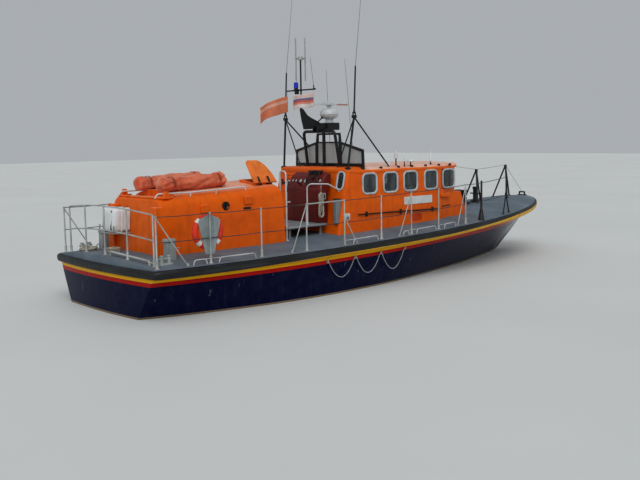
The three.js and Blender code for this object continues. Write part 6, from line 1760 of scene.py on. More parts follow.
# The lifebuoy: a ring of closed foam in orange cloth with four white bands.
# It hangs on two pegs on the inboard side of a grey kite-shaped plate, which is bolted to a stanchion.
BUOY_X, BUOY_RISE, BUOY_RADIUS, BUOY_TUBE, BUOY_PLATE = -5.81, 0.59, 0.275, 0.062, 0.018
BUOY_TURN = (0, 0, -3.95)
buoy_centre = rail_point(-1, BUOY_X, BUOY_RISE)
plate_face = POST_RADIUS + 0.0003
ring_off = POST_RADIUS + BUOY_PLATE + 0.0595


def buoy_skin(tree):
    """Orange with a white band at each diagonal, by the angle round the ring's middle."""
    across = sum_of(tree, "SUBTRACT", position(tree, "X"), float(buoy_centre[0]))
    up = sum_of(tree, "SUBTRACT", position(tree, "Z"), float(buoy_centre[2]))
    angle = sum_of(tree, "ARCTAN2", up, across)
    near_band = sum_of(tree, "COSINE", times(tree, angle, 4.0))
    band = sum_of(tree, "LESS_THAN", near_band, -0.84)
    return mixed(tree, band, shade("#d8381a"), shade("#dcdcd6"))


def ring_surface():
    """A torus whose tube is a little flattened, with a seam line round its inside."""
    turn = round_angles(96)
    around = round_angles(24)
    tube_size = BUOY_TUBE * (1 - 0.03 * np.exp(-((np.abs(around - np.pi)) / 0.12) ** 2))
    reach = BUOY_RADIUS + tube_size[None] * np.cos(around)[None]
    points = np.stack([reach * np.cos(turn)[:, None],
        np.broadcast_to(tube_size * 0.95 * np.sin(around), (96, 24)), reach * np.sin(turn)[:, None]], 2)
    return carried(grid(points + [0, ring_off, 0], wrap_rows=True, wrap_columns=True), buoy_centre,
        BUOY_TURN)


piece("lifebuoy_ring", [ring_surface()], weathered("buoy_skin", buoy_skin, rough=0.6, fading=0.3,
    runs=0.15, bump=0.2), "buoy_orange", "lifebuoy")
kite = corners_rounded([(0, 0.34), (0.21, 0.24), (0.24, 0.18), (0.095, -0.42), (-0.095, -0.42),
    (-0.24, 0.18), (-0.21, 0.24)], 0.03)
holder = [extruded(kite, plate_face, plate_face + BUOY_PLATE, "xz", 0.003)]
for turn in (60, 120):
    a = math.radians(turn)
    reach = BUOY_RADIUS - BUOY_TUBE - 0.011
    start = np.array([math.cos(a) * reach, plate_face + 0.005, math.sin(a) * reach])
    holder.append(tube([start, start + [0, 0.083, 0]], 0.009, 12))
holder = [carried(part, buoy_centre, BUOY_TURN) for part in holder]
piece("lifebuoy_plate", holder, weathered("holder_grey", "#8a9496", rough=0.5, fading=0.4, runs=0.4,
    dirt="#56594f"), "pale_metal", "lifebuoy_holder")

# The lamp box: a white plastic case with a hooded top and a blue-grey glass front.
# It is clamped to the guard rail aft of the wheelhouse.
LAMP_BOX_X, LAMP_BOX_RISE = -2.41, 0.588
x, y, z = rail_point(-1, LAMP_BOX_X, LAMP_BOX_RISE) - [0.005, 0, 0]
case = [slab(0.14, 0.136, 0.02, (x, z), y - 0.033, y + 0.035, "xz", 0.008),
    slab(0.15, 0.05, 0.02, (x, z + 0.045), y - 0.035, y + 0.035, "xz", 0.006)]
piece("lamp_box", case, foot_white, "white_plastic")
lens = slab(0.09, 0.07, 0.015, (x, z - 0.025), y - 0.037, y - 0.031, "xz", 0.002)
lens_blue = weathered("lamp_lens", "#5f7486", rough=0.15, fading=0.3, runs=0.0, bump=0.05)
piece("lamp_box_lens", [lens], lens_blue, "white_plastic")

# The grab hoop before the aft cabin: steel tube coated white and bent to an inverted U.
# It is bolted down through two round feet, and its outer leg carries a horn for a line.
HOOP_X, HOOP_OUTER, HOOP_INNER, HOOP_TOP = -3.2, -1.0, -0.8, 2.59
HOOP_BEND, HOOP_TUBE, HOOP_CLEAT = 0.08, 0.017, 1.93
hoop_feet = [deck_z(HOOP_X, y) for y in (HOOP_OUTER, HOOP_INNER)]
hoop_line = bent([(HOOP_X, HOOP_OUTER, hoop_feet[0] - 0.02), (HOOP_X, HOOP_OUTER, HOOP_TOP),
    (HOOP_X, HOOP_INNER, HOOP_TOP), (HOOP_X, HOOP_INNER, hoop_feet[1] - 0.02)], HOOP_BEND, 10)
hoop = [tube(hoop_line, HOOP_TUBE, 16)]
for y, z in zip((HOOP_OUTER, HOOP_INNER), hoop_feet):
    hoop.append(turned([(0.0, -0.01), (0.048, -0.008), (0.048, 0.01), (0.026, 0.014), (0.022, 0.022),
        (0.0, 0.024)], (HOOP_X, y, z), sides=24))
hoop.append(turned([(0.012, 0.0), (0.012, 0.088), (0.018, 0.09), (0.018, 0.098), (0.0, 0.1)],
    (HOOP_X, HOOP_OUTER, HOOP_CLEAT), (1, 0, 0), 16))
piece("grab_hoop", hoop, white_tube, "white_plastic", "cabin_hoop")

# The step platform: a slab of grey grating in a welded frame, between the cabin and the wheelhouse.
# It stands over the deck on four tubular legs with bolted feet.
PLATFORM_AFT, PLATFORM_FORWARD, PLATFORM_HALF, PLATFORM_UNDER, PLATFORM_TOP = -3.08, -1.925, 0.9, 1.33, 1.38


def grating(tree):
    """Grey bars each way with painted shade in the gaps between, worn pale where feet fall."""
    place = where_on(tree)
    gaps = [put(tree, "ShaderNodeTexWave", {"Vector": place, "Scale": 6.5},
        bands_direction=way).outputs["Fac"] for way in ("X", "Y")]
    # painted shade: the gaps between the bars, dark for the shade under the grating
    gap = spread(tree, sum_of(tree, "MAXIMUM", gaps[0], gaps[1]), 0.55, 0.8)
    wear = spread(tree, cloud(tree, 0.4, 6.0), 0.4, 0.7)
    return mixed(tree, gap, shade("#565b60"), mixed(tree, wear, shade("#8d9397"), shade("#aab0b2")))


platform = [slab(PLATFORM_FORWARD - PLATFORM_AFT, 2 * PLATFORM_HALF, 0.03,
    ((PLATFORM_AFT + PLATFORM_FORWARD) / 2, 0), PLATFORM_UNDER, PLATFORM_TOP, "xy", 0.006)]
for x, y in ((-2.95, -0.8), (-2.05, -0.8), (-2.95, 0.8), (-2.05, 0.8)):
    z = deck_z(x, y)
    platform.append(turned([(0.0, -0.01), (0.055, -0.008), (0.055, 0.01), (0.032, 0.014), (0.03, 0.03),
        (0.03, PLATFORM_UNDER - z + 0.005), (0.0, PLATFORM_UNDER - z + 0.006)], (x, y, z)))
piece("platform_slab", platform, weathered("platform_grating", grating, rough=0.6, fading=0.2, runs=0.0,
    bump=0.3), "grey_grating", "step_platform")

# The helm: a dark red steel console with dials in black bezels and two throttle levers on its slope.
# A grey switch box is screwed to its side, and a black wheel of welded tube turns on a raked shaft.
CONSOLE_Y = (-0.8, 0.33)
CONSOLE_SIDE = [(-2.06, 1.3803), (-1.815, 1.3803), (-1.8, 2.0), (-1.7, 2.33), (-1.7, 2.48), (-1.76, 2.5),
    (-1.9, 2.42), (-2.06, 2.13)]
console_red = weathered("console_red", "#65180f", rough=0.5, fading=0.35, runs=0.25, bump=0.15,
    dirt="#1c1413")
piece("console_case", [extruded(corners_rounded(CONSOLE_SIDE, 0.025, 3), *CONSOLE_Y, "xz", 0.012)],
    console_red, "console_red", "helm_console")
SLOPE_FOOT, SLOPE_HEAD = (np.array([x, 0, z]) for x, z in (CONSOLE_SIDE[-1], CONSOLE_SIDE[-2]))
slope = (SLOPE_HEAD - SLOPE_FOOT) / np.linalg.norm(SLOPE_HEAD - SLOPE_FOOT)
slope_out = np.array([-slope[2], 0, slope[0]])
dials, faces_of_dials = [], []
# columns: y, share of the way up the slope, radius of the dial
for y, share, size in ((-0.72, 0.68, 0.045), (-0.22, 0.62, 0.055), (-0.06, 0.62, 0.055), (0.1, 0.62, 0.04),
        (0.21, 0.62, 0.04), (-0.62, 0.66, 0.03)):
    at = SLOPE_FOOT + (SLOPE_HEAD - SLOPE_FOOT) * share + [0, y, 0]
    dials.append(turned([(size, -0.01), (size, 0.01), (size - 0.006, 0.014), (size - 0.009, 0.006)], at,
        slope_out, 28))
    faces_of_dials.append(turned([(size - 0.01, 0.0065), (size - 0.01, 0.008)], at, slope_out, 28))
for y in (-0.115, -0.165):
    lever = SLOPE_FOOT + (SLOPE_HEAD - SLOPE_FOOT) * 0.25 + [0, y, 0]
    dials.append(tube([lever, lever + slope_out * 0.1 + slope * 0.02], 0.007, 10))
    dials.append(turned([(0.0, -0.018), (0.014, -0.014), (0.018, 0.0), (0.014, 0.014), (0.0, 0.018)],
        lever + slope_out * 0.11 + slope * 0.022, slope_out, 14))
dials.append(slab(0.4, 0.1, 0.02, (-0.4, 2.5), -1.86, -1.745, "yz", 0.012))
black("console_dials", dials)
piece("console_dial_faces", faces_of_dials, weathered("dial_face", "#aeb2b0", rough=0.3, fading=0.2,
    runs=0.0), "black_metal")
SWITCH_AT = (-1.97, 1.98)
switch_box = [slab(0.13, 0.15, 0.012, SWITCH_AT, CONSOLE_Y[0] - 0.05, CONSOLE_Y[0] + 0.02,
    "xz", 0.006)]
piece("console_switch_box", switch_box, grey_paint, "pale_metal")
switch = slab(0.055, 0.075, 0.01, SWITCH_AT, CONSOLE_Y[0] - 0.062, CONSOLE_Y[0] - 0.045, "xz",
    0.004)
black("console_switch", [switch])
HELM_AT, HELM_TURN, HELM_RADIUS = (-1.965, -0.47, 2.39), (0, -55, 0), 0.19
turn = np.linspace(0, 2 * np.pi, 65)[:-1]
wheel = [tube(np.stack([HELM_RADIUS * np.cos(turn), HELM_RADIUS * np.sin(turn), 0 * turn], 1), 0.0135, 14,
    closed=True)]
for degrees in (0, 60, 120):
    a = math.radians(degrees)
    spoke = np.array([math.cos(a), math.sin(a), 0]) * HELM_RADIUS
    wheel.append(tube([-spoke, spoke * -0.15, spoke * 0.15, spoke], [0.0095, 0.0075, 0.0075, 0.0095], 12))
wheel.append(turned([(0.016, -0.12), (0.016, -0.032), (0.034, -0.028), (0.034, 0.012), (0.026, 0.022),
    (0.0, 0.025)], sides=28))
piece("helm_wheel_rim", [carried(part, HELM_AT, HELM_TURN) for part in wheel], black_satin, "wheel_black",
    "helm_wheel", body="helm_wheel")

# The helm's handrail: steel tube coated white, bent round the helmsman's place.
# It runs from a flange on the wheelhouse's after face to a foot on the platform.
HELM_RAIL = ((-1.6, -1.0, 2.09), (-1.66, -1.0, 2.118), (-1.977, -1.0, 2.263), (-2.4, -1.0, 2.285),
    (-2.462, -0.945, 2.283), (-2.48, -0.86, 2.225), (-2.48, -0.86, 1.3803))
helm_tube = [tube(bent(HELM_RAIL, 0.05, 6), 0.016, 16),
    turned([(0.04, 0.0), (0.04, 0.008), (0.022, 0.012), (0.0, 0.014)], HELM_RAIL[-1], sides=24),
    turned([(0.04, -0.012), (0.04, 0.0), (0.022, 0.006), (0.0, 0.008)],
    np.array(HELM_RAIL[0]) + [-0.045, 0, 0.022], (-0.9, 0, 0.43), 24)]
piece("helm_handrail", helm_tube, white_tube, "white_plastic", "helm_rail")

# The patch of darker paint on the wheelhouse's starboard side.
# It is a coat laid on by brush over a repair, and has faded less than the paint round it.
PATCH = [(0.51, 1.25), (0.91, 1.255), (0.915, 1.42), (0.73, 1.43), (0.5, 1.415)]
patch_edge = corners_rounded(PATCH, 0.02)
patch = lofted([laid(patch_edge, off, on_side(-1)) for off in (-0.002, 0.0012)])
piece("touched_up_paint", [patch], orange_paint("old_paint", "#c2420e", fading=0.3), "cabin_paint")

# The corner locker: a tall narrow box of grey painted metal with a black plastic cap.
# It is screwed to the wheelhouse's starboard after corner.
LOCKER_AT = (-1.81, -1.1)
locker = slab(0.15, 0.12, 0.02, LOCKER_AT, 1.36, 1.915, "xy", 0.006)
cap = slab(0.155, 0.125, 0.02, LOCKER_AT, 1.905, 1.93, "xy", 0.006)
piece("corner_locker", [locker], weathered("locker_grey", "#7b8285", rough=0.5, fading=0.3, runs=0.3),
    "pale_metal")
black("corner_locker_cap", [cap])

# The windscreen: a thin black welded frame that stands across the roof, its middle light the tallest.
# Clear panes fill the wings, and the middle one up to a bar, with an open gap over it.
SCREEN_X, SCREEN_HALF, SCREEN_INNER, SCREEN_OUTER, SCREEN_BASE = -1.02, 0.025, 0.4, 1.19, 2.56
SCREEN_SILL, SCREEN_TOP, WING_INNER, WING_OUTER, SCREEN_POST = 2.69, 3.4, 3.19, 3.01, 0.032
frame_edge = [(-SCREEN_OUTER, SCREEN_BASE), (SCREEN_OUTER, SCREEN_BASE), (SCREEN_OUTER - 0.02, WING_OUTER),
    (SCREEN_INNER + 0.03, WING_INNER), (SCREEN_INNER, SCREEN_TOP), (-SCREEN_INNER, SCREEN_TOP),
    (-SCREEN_INNER - 0.03, WING_INNER), (-SCREEN_OUTER + 0.02, WING_OUTER)]
screen = mesh_of("windscreen_frame", [extruded(frame_edge, SCREEN_X - SCREEN_HALF, SCREEN_X + SCREEN_HALF,
    "yz", 0.006)], black_satin, sharp=40)
wing = corners_rounded([(SCREEN_INNER + 0.052, SCREEN_SILL), (SCREEN_OUTER - 0.055, SCREEN_SILL),
    (SCREEN_OUTER - 0.065, WING_OUTER - 0.05), (SCREEN_INNER + 0.052, WING_INNER - 0.05)], 0.03)
middle = corners_rounded([(-SCREEN_INNER + SCREEN_POST, SCREEN_SILL),
    (SCREEN_INNER - SCREEN_POST, SCREEN_SILL), (SCREEN_INNER - SCREEN_POST, SCREEN_TOP - 0.045),
    (-SCREEN_INNER + SCREEN_POST, SCREEN_TOP - 0.045)], 0.03)
lights = [wing, middle, wing * [-1, 1]]
carve(screen, [extruded(light, SCREEN_X - 0.06, SCREEN_X + 0.06, "yz") for light in lights])
refinish(screen, black_satin)
fit(screen, "hull", "black_metal", "windscreen")
bar = extruded(oblong(-0.38, 0.38, 3.165, 3.195), SCREEN_X - 0.018, SCREEN_X + 0.018, "yz", 0.004)
black("windscreen_bar", [bar])
screen_glass = glazing("screen_glass", "#b4bcbc", "#c6cccb", 0.1, 0.1)
GLASS_HEAD = 3.17
middle_glass = np.column_stack([middle[:, 0], np.minimum(middle[:, 1], GLASS_HEAD)])
piece("windscreen_panes", [extruded(light, SCREEN_X - 0.004, SCREEN_X + 0.004, "yz")
    for light in (wing, middle_glass, wing * [-1, 1])], screen_glass, "black_metal")

# The arch: a thick steel tube painted black and bent over the helm, on two bolted feet.
# A post and two struts before it carry the radar's shelf, and two ears abaft it take the mast's pin.
ARCH_FOOT, ARCH_HEAD, ARCH_BASE, ARCH_TOP, ARCH_TUBE = (-1.18, 0.56), (-1.33, 0.54), 2.54, 3.44, 0.036
ARCH_POST_X = -1.18
SHELF_AFT, SHELF_FORWARD, SHELF_HALF, SHELF_UNDER, SHELF_TOP, RADAR_X = -1.18, -0.81, 0.18, 3.47, 3.64, -0.99
hoop_line = bent([(ARCH_FOOT[0], -ARCH_FOOT[1], ARCH_BASE), (ARCH_HEAD[0], -ARCH_HEAD[1], ARCH_TOP),
    (ARCH_HEAD[0], ARCH_HEAD[1], ARCH_TOP), (ARCH_FOOT[0], ARCH_FOOT[1], ARCH_BASE)], 0.11, 10)
shelf = rounded(SHELF_FORWARD - SHELF_AFT, 2 * SHELF_HALF, 0.03, ((SHELF_AFT + SHELF_FORWARD) / 2, 0))
arch = [tube(hoop_line, ARCH_TUBE, 20),
    tube([(ARCH_POST_X, 0, ARCH_BASE), (ARCH_POST_X, 0, SHELF_UNDER + 0.03)], 0.032, 18),
    extruded(shelf, SHELF_UNDER, SHELF_TOP, "xy", 0.012),
    slab(0.19, 0.14, 0.02, (ARCH_POST_X - 0.005, 0), 2.6, 2.668, "xy", 0.008)]
for side in (-1, 1):
    arch.append(tube([(ARCH_HEAD[0], side * 0.15, ARCH_TOP), (RADAR_X, side * 0.15, SHELF_UNDER + 0.05)],
        0.028, 14))
    arch.append(slab(0.18, 0.12, 0.02, (ARCH_FOOT[0], side * ARCH_FOOT[1]), 2.6, 2.65, "xy",
        0.008))
    arch.append(slab(0.15, 0.15, 0.03, (-1.385, 3.505), side * 0.062 - 0.012,
        side * 0.062 + 0.012, "xz", 0.004))
    arch.append(tube(smooth([(ARCH_POST_X + 0.04, side * 0.012, 2.66),
        (ARCH_POST_X + 0.042, side * 0.014, 3.0), (ARCH_POST_X + 0.04, side * 0.012, 3.4)], 12), 0.007, 8))
black("arch_tubes", arch, "mast_arch")

# The folding mast: a welded black fin on a pin between the arch's ears, and a pole with a yard.
# It carries a direction finder's four rods, a blue lamp and a horn. Two worn flags hang on halyards.
# The flags are thin polyester, sewn from bands of cloth and roped along the hoist.
MAST_X, MAST_Z, POLE_X, POLE_TOP, YARD_Z, YARD_HALF = -1.42, 3.54, -1.86, 5.06, 4.385, 0.51
# columns: x of the hoist, y, z of its foot, height, length, droop
FLAG_LARGE, FLAG_SMALL = (-1.875, 0.47, 3.9, 0.36, 0.9, 0.27), (-1.875, -0.44, 3.99, 0.3, 0.64, 0.08)
HORN_AT, ROD_FOOT, SPREADER_Z = (-1.4, -0.21, 3.76), 4.59, 5.1
fin_edge = np.concatenate([[(-1.79, 3.49), (-1.4, 3.5), (-1.29, 3.5), (-1.29, 3.64)],
    smooth([(-1.29, 3.64), (-1.43, 3.7), (-1.6, 3.77), (-1.7, 3.83), (-1.76, 3.9), (-1.82, 3.96)], 16)[1:],
    [(-1.9, 3.96), (-1.85, 3.7)]])
POLE_FOOT = (POLE_X, 0, 3.8)
pole = [(0.024, 0.0), (0.024, 0.16), (0.019, 0.18), (0.019, POLE_TOP - POLE_FOOT[2])]
yard = [(0.012, 0.0), (0.016, 0.02), (0.016, 2 * YARD_HALF - 0.02), (0.012, 2 * YARD_HALF)]
lamp_shelf = rounded(0.175, 0.16, 0.02, (POLE_X - 0.0625, 0.03))
under_lamp = [(0.045, 0.0), (0.052, 0.01), (0.052, 0.09), (0.045, 0.1)]
mast_parts = [extruded(fin_edge, -0.025, 0.025, "xz", 0.008),
    tube([(MAST_X, -0.0497, MAST_Z), (MAST_X, 0.0497, MAST_Z)], 0.0255, 20),
    turned(pole, POLE_FOOT, sides=18),
    turned(yard, (POLE_X, -YARD_HALF, YARD_Z), (0, 1, 0), 16),
    extruded(lamp_shelf, YARD_Z - 0.005, YARD_Z + 0.012, "xy", 0.003),
    turned(under_lamp, (POLE_X - 0.095, 0.04, 4.29), sides=24),
    tube(smooth([(-1.4, 0, 3.64), (-1.4, -0.1, 3.69), HORN_AT], 8), 0.013, 12),
    turned([(0.0, -0.032), (0.022, -0.024), (0.032, 0.0), (0.022, 0.024), (0.0, 0.032)], HORN_AT)]
black("mast_frame", mast_parts, "mast", body="mast")
halyards = [tube([(x + 0.0054, y, foot - 0.01), (x + 0.0054, y, YARD_Z)], 0.0045, 8)
    for x, y, foot, *_ in (FLAG_LARGE, FLAG_SMALL)]
piece("halyards", halyards, white_rope, "black_metal", body="mast")
direction_rods = [turned([(0.06, 0.0), (0.062, 0.02), (0.055, 0.07), (0.05, 0.0895), (0.0, 0.0897)],
    (POLE_X, 0, POLE_TOP + 0.0003), sides=28)]
for u, v in ((0, 1), (1, 0), (0, -1), (-1, 0)):
    x, y = POLE_X + u * 0.15, v * 0.15
    direction_rods.append(turned([(0.0, 0.0), (0.007, 0.002), (0.009, 0.02), (0.009, 0.95), (0.007, 0.968),
        (0.0, 0.97)], (x, y, ROD_FOOT), sides=12))
    direction_rods.append(tube([(POLE_X, 0, SPREADER_Z), (x, y, SPREADER_Z)], 0.01, 12))
    direction_rods.append(turned([(0.0, -0.025), (0.015, -0.02), (0.015, 0.02), (0.0, 0.025)],
        (x, y, SPREADER_Z), sides=14))
piece("direction_finder", direction_rods, weathered("aerial_grey", "#a3a7a6", rough=0.4, fading=0.3,
    runs=0.1), "pale_metal", "df_aerial", body="mast")
LAMP_AT = (POLE_X - 0.095, 0.06, YARD_Z + 0.012)
black("blue_lamp_base", [turned([(0.046, 0.0003), (0.046, 0.036), (0.0, 0.038)], LAMP_AT)], body="mast")
beacon, tree, shader = material("blue_lens")
ribs = put(tree, "ShaderNodeTexWave", {"Vector": where_on(tree), "Scale": 22.0},
    bands_direction="Z").outputs["Fac"]
tree.links.new(mixed(tree, ribs, shade("#0822a0"), shade("#1f46d2")), shader.inputs["Base Color"])
relief(tree, shader, ribs, 0.4, 0.002)
shader.inputs["Roughness"].default_value = 0.12
piece("blue_lamp_dome", [turned([(0.054, 0.034), (0.054, 0.045), (0.052, 0.12), (0.049, 0.152),
    (0.036, 0.165), (0.0, 0.168)], LAMP_AT, sides=36)], beacon, "blue_lens", "blue_light", body="mast")

FLY_POINTS, HOIST_POINTS = 61, 25


def flag_surface(x, y, foot, height, length, droop, waves, phase):
    """Cloth that streams aft: y is a wave that grows from the hoist, and each step along the fly keeps its
    length, so that x moves on by the root of what the wave and the droop leave."""
    u, v = np.linspace(0, 1, FLY_POINTS), np.linspace(0, 1, HOIST_POINTS)
    sway = 0.03 * np.sqrt(u)[:, None] * u[:, None] ** 0.3 * np.sin(waves * 2 * np.pi * u[:, None] + phase
        + 0.9 * v[None])
    fall = droop * u[:, None] ** 1.4 + 0.012 * np.sin(2.2 * np.pi * u)[:, None] * (1 - v)[None]
    step = length / (FLY_POINTS - 1)
    along = np.sqrt(np.maximum(step ** 2 - np.diff(sway, axis=0) ** 2 - np.diff(fall, axis=0) ** 2, 0))
    run = np.concatenate([np.zeros((1, HOIST_POINTS)), np.cumsum(along, axis=0)])
    return grid(np.stack([x - run, y + sway, foot + height * v[None] - fall], 2))


def bunting(name, bands):
    """Thin flag cloth dyed in bands from the foot up, bleached and grubby towards the fly."""
    made, tree, shader = material(name)
    place = put(tree, "ShaderNodeUVMap").outputs["UV"]
    level = put(tree, "ShaderNodeSeparateXYZ", {0: place}).outputs["Y"]
    colour = shade(bands[0])
    for k, band in enumerate(bands[1:], 1):
        colour = mixed(tree, sum_of(tree, "GREATER_THAN", level, k / len(bands)), colour, shade(band))
    worn = spread(tree, cloud(tree, 0.1, 6.0), 0.45, 0.75)
    tree.links.new(mixed(tree, times(tree, worn, 0.35), colour, shade("#8f7468")),
        shader.inputs["Base Color"])
    weave = put(tree, "ShaderNodeTexWave", {"Vector": place, "Scale": 90.0},
        bands_direction="X").outputs["Fac"]
    relief(tree, shader, weave, 0.2, 0.0006)
    shader.inputs["Roughness"].default_value = 0.85
    return made


for name, node, place, bands, waves, phase in (("ensign_large", "flag_large", FLAG_LARGE,
        ("#dc8462", "#dc8462", "#dc8462", "#e6b19c", "#dc8462"), 1.6, 0.4),
        ("ensign_small", "flag_small", FLAG_SMALL, ("#ddd3cf", "#ddd3cf", "#d98f80", "#c9604f", "#6a6f96",
        "#ddc4bd", "#ddc4bd"), 1.3, 1.9)):
    x, y, foot, height, length, droop = place
    flag = mesh_of(name, [flag_surface(x, y, foot, height, length, droop, waves, phase)],
        bunting(f"{name}_cloth", bands), outward=False)
    aft = (x - read(flag.data.vertices, "co")[:, 0]) / length
    share = np.stack([aft, np.tile(np.linspace(0, 1, HOIST_POINTS), FLY_POINTS)], 1)
    corners = np.zeros(len(flag.data.loops), dtype=np.int32)
    flag.data.loops.foreach_get("vertex_index", corners)
    flag.data.uv_layers.new(name="UVMap").data.foreach_set("uv", share[corners].astype(np.float32).ravel())
    fit(flag, "mast", "flag_cloth", node)
    thick = flag.modifiers.new("cloth", "SOLIDIFY")
    thick.thickness, thick.offset = 0.0012, 0.0
    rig.sheet(flag, flat=(height, length), held="hung", rests_on=["mast"])

# The radar: a white moulded housing of two domes on a waist, bolted to the shelf.
# A long white scanner with a stained arm turns on the shaft that comes out of its top.
radar_white = weathered("radar_white", "#c3c9ca", rough=0.35, fading=0.3, runs=0.25, bump=0.08,
    dirt="#6f7068")
housing = [(0.0, 0.0003), (0.11, 0.0003), (0.11, 0.02), (0.088, 0.045), (0.085, 0.075), (0.13, 0.1),
    (0.19, 0.13), (0.214, 0.165), (0.222, 0.195), (0.226, 0.198), (0.226, 0.208), (0.22, 0.211),
    (0.216, 0.245), (0.205, 0.28), (0.172, 0.312), (0.13, 0.335), (0.06, 0.35), (0.0, 0.35)]
piece("radar_case", [turned(housing, (RADAR_X, 0, SHELF_TOP), sides=48)], radar_white, "white_case",
    "radar_housing", sharp=45)
SCANNER_Z = 4.09


def scanner_colour(tree):
    """White, stained a reddish brown under one arm."""
    under = sum_of(tree, "SUBTRACT", 1.0, spread(tree, position(tree, "Z"), SCANNER_Z - 0.012,
        SCANNER_Z + 0.002))
    arm = spread(tree, position(tree, "X"), RADAR_X + 0.18, RADAR_X + 0.28)
    return mixed(tree, times(tree, under, arm), shade("#c6cbcc"), shade("#a5705c"))


bar_outline = corners_rounded([(-0.025, -0.035), (0.018, -0.035), (0.03, -0.015), (0.03, 0.015),
    (0.018, 0.035), (-0.025, 0.035)], 0.008)
rings = []
for x, size in ((-0.6, 0.8), (-0.594, 0.95), (-0.58, 1.0), (0.58, 1.0), (0.594, 0.95), (0.6, 0.8)):
    ring = bar_outline * size
    rings.append(np.column_stack([np.full(len(ring), RADAR_X + x), ring[:, 0], SCANNER_Z + ring[:, 1]]))
scanner = [lofted(rings), turned([(0.045, 3.9905), (0.045, 4.03), (0.1, 4.05), (0.0, 4.054)],
    (RADAR_X, 0, 0), sides=32)]
piece("radar_scanner_bar", scanner, weathered("scanner_paint", scanner_colour, rough=0.4, fading=0.2,
    runs=0.0), "white_case", "radar_scanner", body="radar_scanner")

# The whip aerials: each a thick black mast with a thin pale whip, pinned in a fork that folds aft,
# on a black tripod that stands over the wheelhouse's after corner.
WHIP_X, WHIP_Y, WHIP_HEAD, WHIP_TOP, WHIP_STEP = -1.48, 1.12, (-1.335, 3.81), (-0.985, 7.2), (-1.28, 4.87)
whip_pale = weathered("whip_fibre", "#868880", rough=0.5, fading=0.3, runs=0.1, bump=0.05)
for side, suffix in SIDES:
    (hx, hz), y = WHIP_HEAD, side * 1.2
    stand = [tube([(WHIP_X, side * WHIP_Y, 2.56), (hx, y, hz - 0.04)], 0.024, 16),
        tube([(-0.04, side * 1.09, 2.54), (hx, y, hz - 0.07)], 0.017, 14),
        tube([(WHIP_X + 0.13, side * 0.62, 2.56), (hx, y, hz - 0.07)], 0.014, 14),
        slab(0.09, 0.09, 0.012, (hx, y), hz - 0.09, hz - 0.025, "xy", 0.005),
        slab(0.12, 0.09, 0.012, (WHIP_X, side * WHIP_Y), 2.56, 2.62, "xy", 0.006)]
    for reach in (-0.0365, 0.0365):
        stand.append(slab(0.028, 0.085, 0.012, (hx, hz + 0.0025), y + reach - 0.0085,
            y + reach + 0.0085, "xz", 0.002))
    black(f"whip_tripod_{suffix}", stand, f"aerial_stand_{suffix}")
    head, step, top = (np.array([hx, y, hz + 0.022]), np.array([WHIP_STEP[0], y, WHIP_STEP[1]]),
        np.array([WHIP_TOP[0], y, WHIP_TOP[1]]))
    base = [tube([(hx, y - 0.0277, hz + 0.022), (hx, y + 0.0277, hz + 0.022)], 0.014, 16),
        tube([head, head + (step - head) * 0.06, head + (step - head) * 0.07, step],
        [0.024, 0.024, 0.019, 0.017], 16)]
    black(f"whip_mast_{suffix}", base, body=f"whip_{suffix}")
    rod = [tube([step - (step - head) * 0.02, step + (top - step) * 0.02, step + (top - step) * 0.5, top],
        [0.011, 0.008, 0.006, 0.004], 10)]
    piece(f"whip_rod_{suffix}", rod, whip_pale, "whip_fibre", f"whip_{suffix}", body=f"whip_{suffix}")

# The radio whips: thin pale rods of glass fibre on short dark spring bases.
# One is screwed to the yard and two to the wheelhouse roof.
# rows: body, foot, tip
for name, body, foot, tip in (("yard_whip", "mast", (POLE_X, -0.45, YARD_Z),
        (POLE_X - 0.1, -0.45, YARD_Z + 0.7)), ("roof_whip_port", "hull", (-0.34, 0.65, 2.58),
        (-0.47, 0.65, 4.95)), ("roof_whip_mid", "hull", (-0.2, -0.02, 2.62), (-0.48, -0.02, 5.15))):
    foot, tip = np.array(foot), np.array(tip)
    piece(name, [tube([foot, foot + (tip - foot) * 0.5, tip], [0.008, 0.006, 0.005], 8)], whip_pale,
        "whip_fibre", body=body)
    black(f"{name}_base", [turned([(0.022, -0.01), (0.022, 0.02), (0.012, 0.03), (0.012, 0.09),
        (0.0, 0.095)], foot, tip - foot, 16)], body=body)

# The roof's fittings along its starboard edge: two lamps, a mushroom vent and a stick aerial.
# They are white plastic heads on black stems with bolted flanges. A flat white cap sits inboard of them.
heads, stems = [], []
# columns: x, y, stem radius, foot of the head, then the head's profile as (radius, height over the foot)
ROOF_HEADS = (
    (0.19, -1.05, 0.015, 2.765,
        ((0.0, 0.0), (0.03, 0.0), (0.045, 0.02), (0.044, 0.08), (0.036, 0.15), (0.024, 0.19), (0.0, 0.2))),
    (0.4, -1.13, 0.012, 2.7, ((0.0, 0.0), (0.016, 0.0), (0.016, 0.095), (0.012, 0.112), (0.0, 0.115))),
    (0.59, -1.16, 0.015, 2.688,
        ((0.0, 0.004), (0.084, 0.0), (0.092, 0.01), (0.086, 0.03), (0.06, 0.052), (0.03, 0.06),
            (0.0, 0.062))),
    (1.4, -1.09, 0.015, 2.67,
        ((0.0, 0.0), (0.03, 0.0), (0.03, 0.09), (0.018, 0.11), (0.014, 0.3), (0.01, 0.338), (0.0, 0.34))),
    (0.06, -0.9, 0.05, 2.612,
        ((0.0, 0.0), (0.08, 0.0), (0.08, 0.02), (0.07, 0.045), (0.06, 0.053), (0.0, 0.053))))
for x, y, stem, foot, profile in ROOF_HEADS:
    heads.append(turned(profile, (x, y, foot), sides=28))
    stems.append(turned([(stem + 0.014, 0.0), (stem + 0.014, 0.014), (stem, 0.022),
        (stem, foot - roof_top(x, y) + 0.016), (0.0, foot - roof_top(x, y) + 0.018)],
        (x, y, roof_top(x, y) - 0.006), sides=16))
piece("roof_lamp_heads", heads, weathered("lamp_white", "#d9dcdb", rough=0.3, fading=0.2, runs=0.15),
    "white_plastic")
black("roof_lamp_stems", stems)

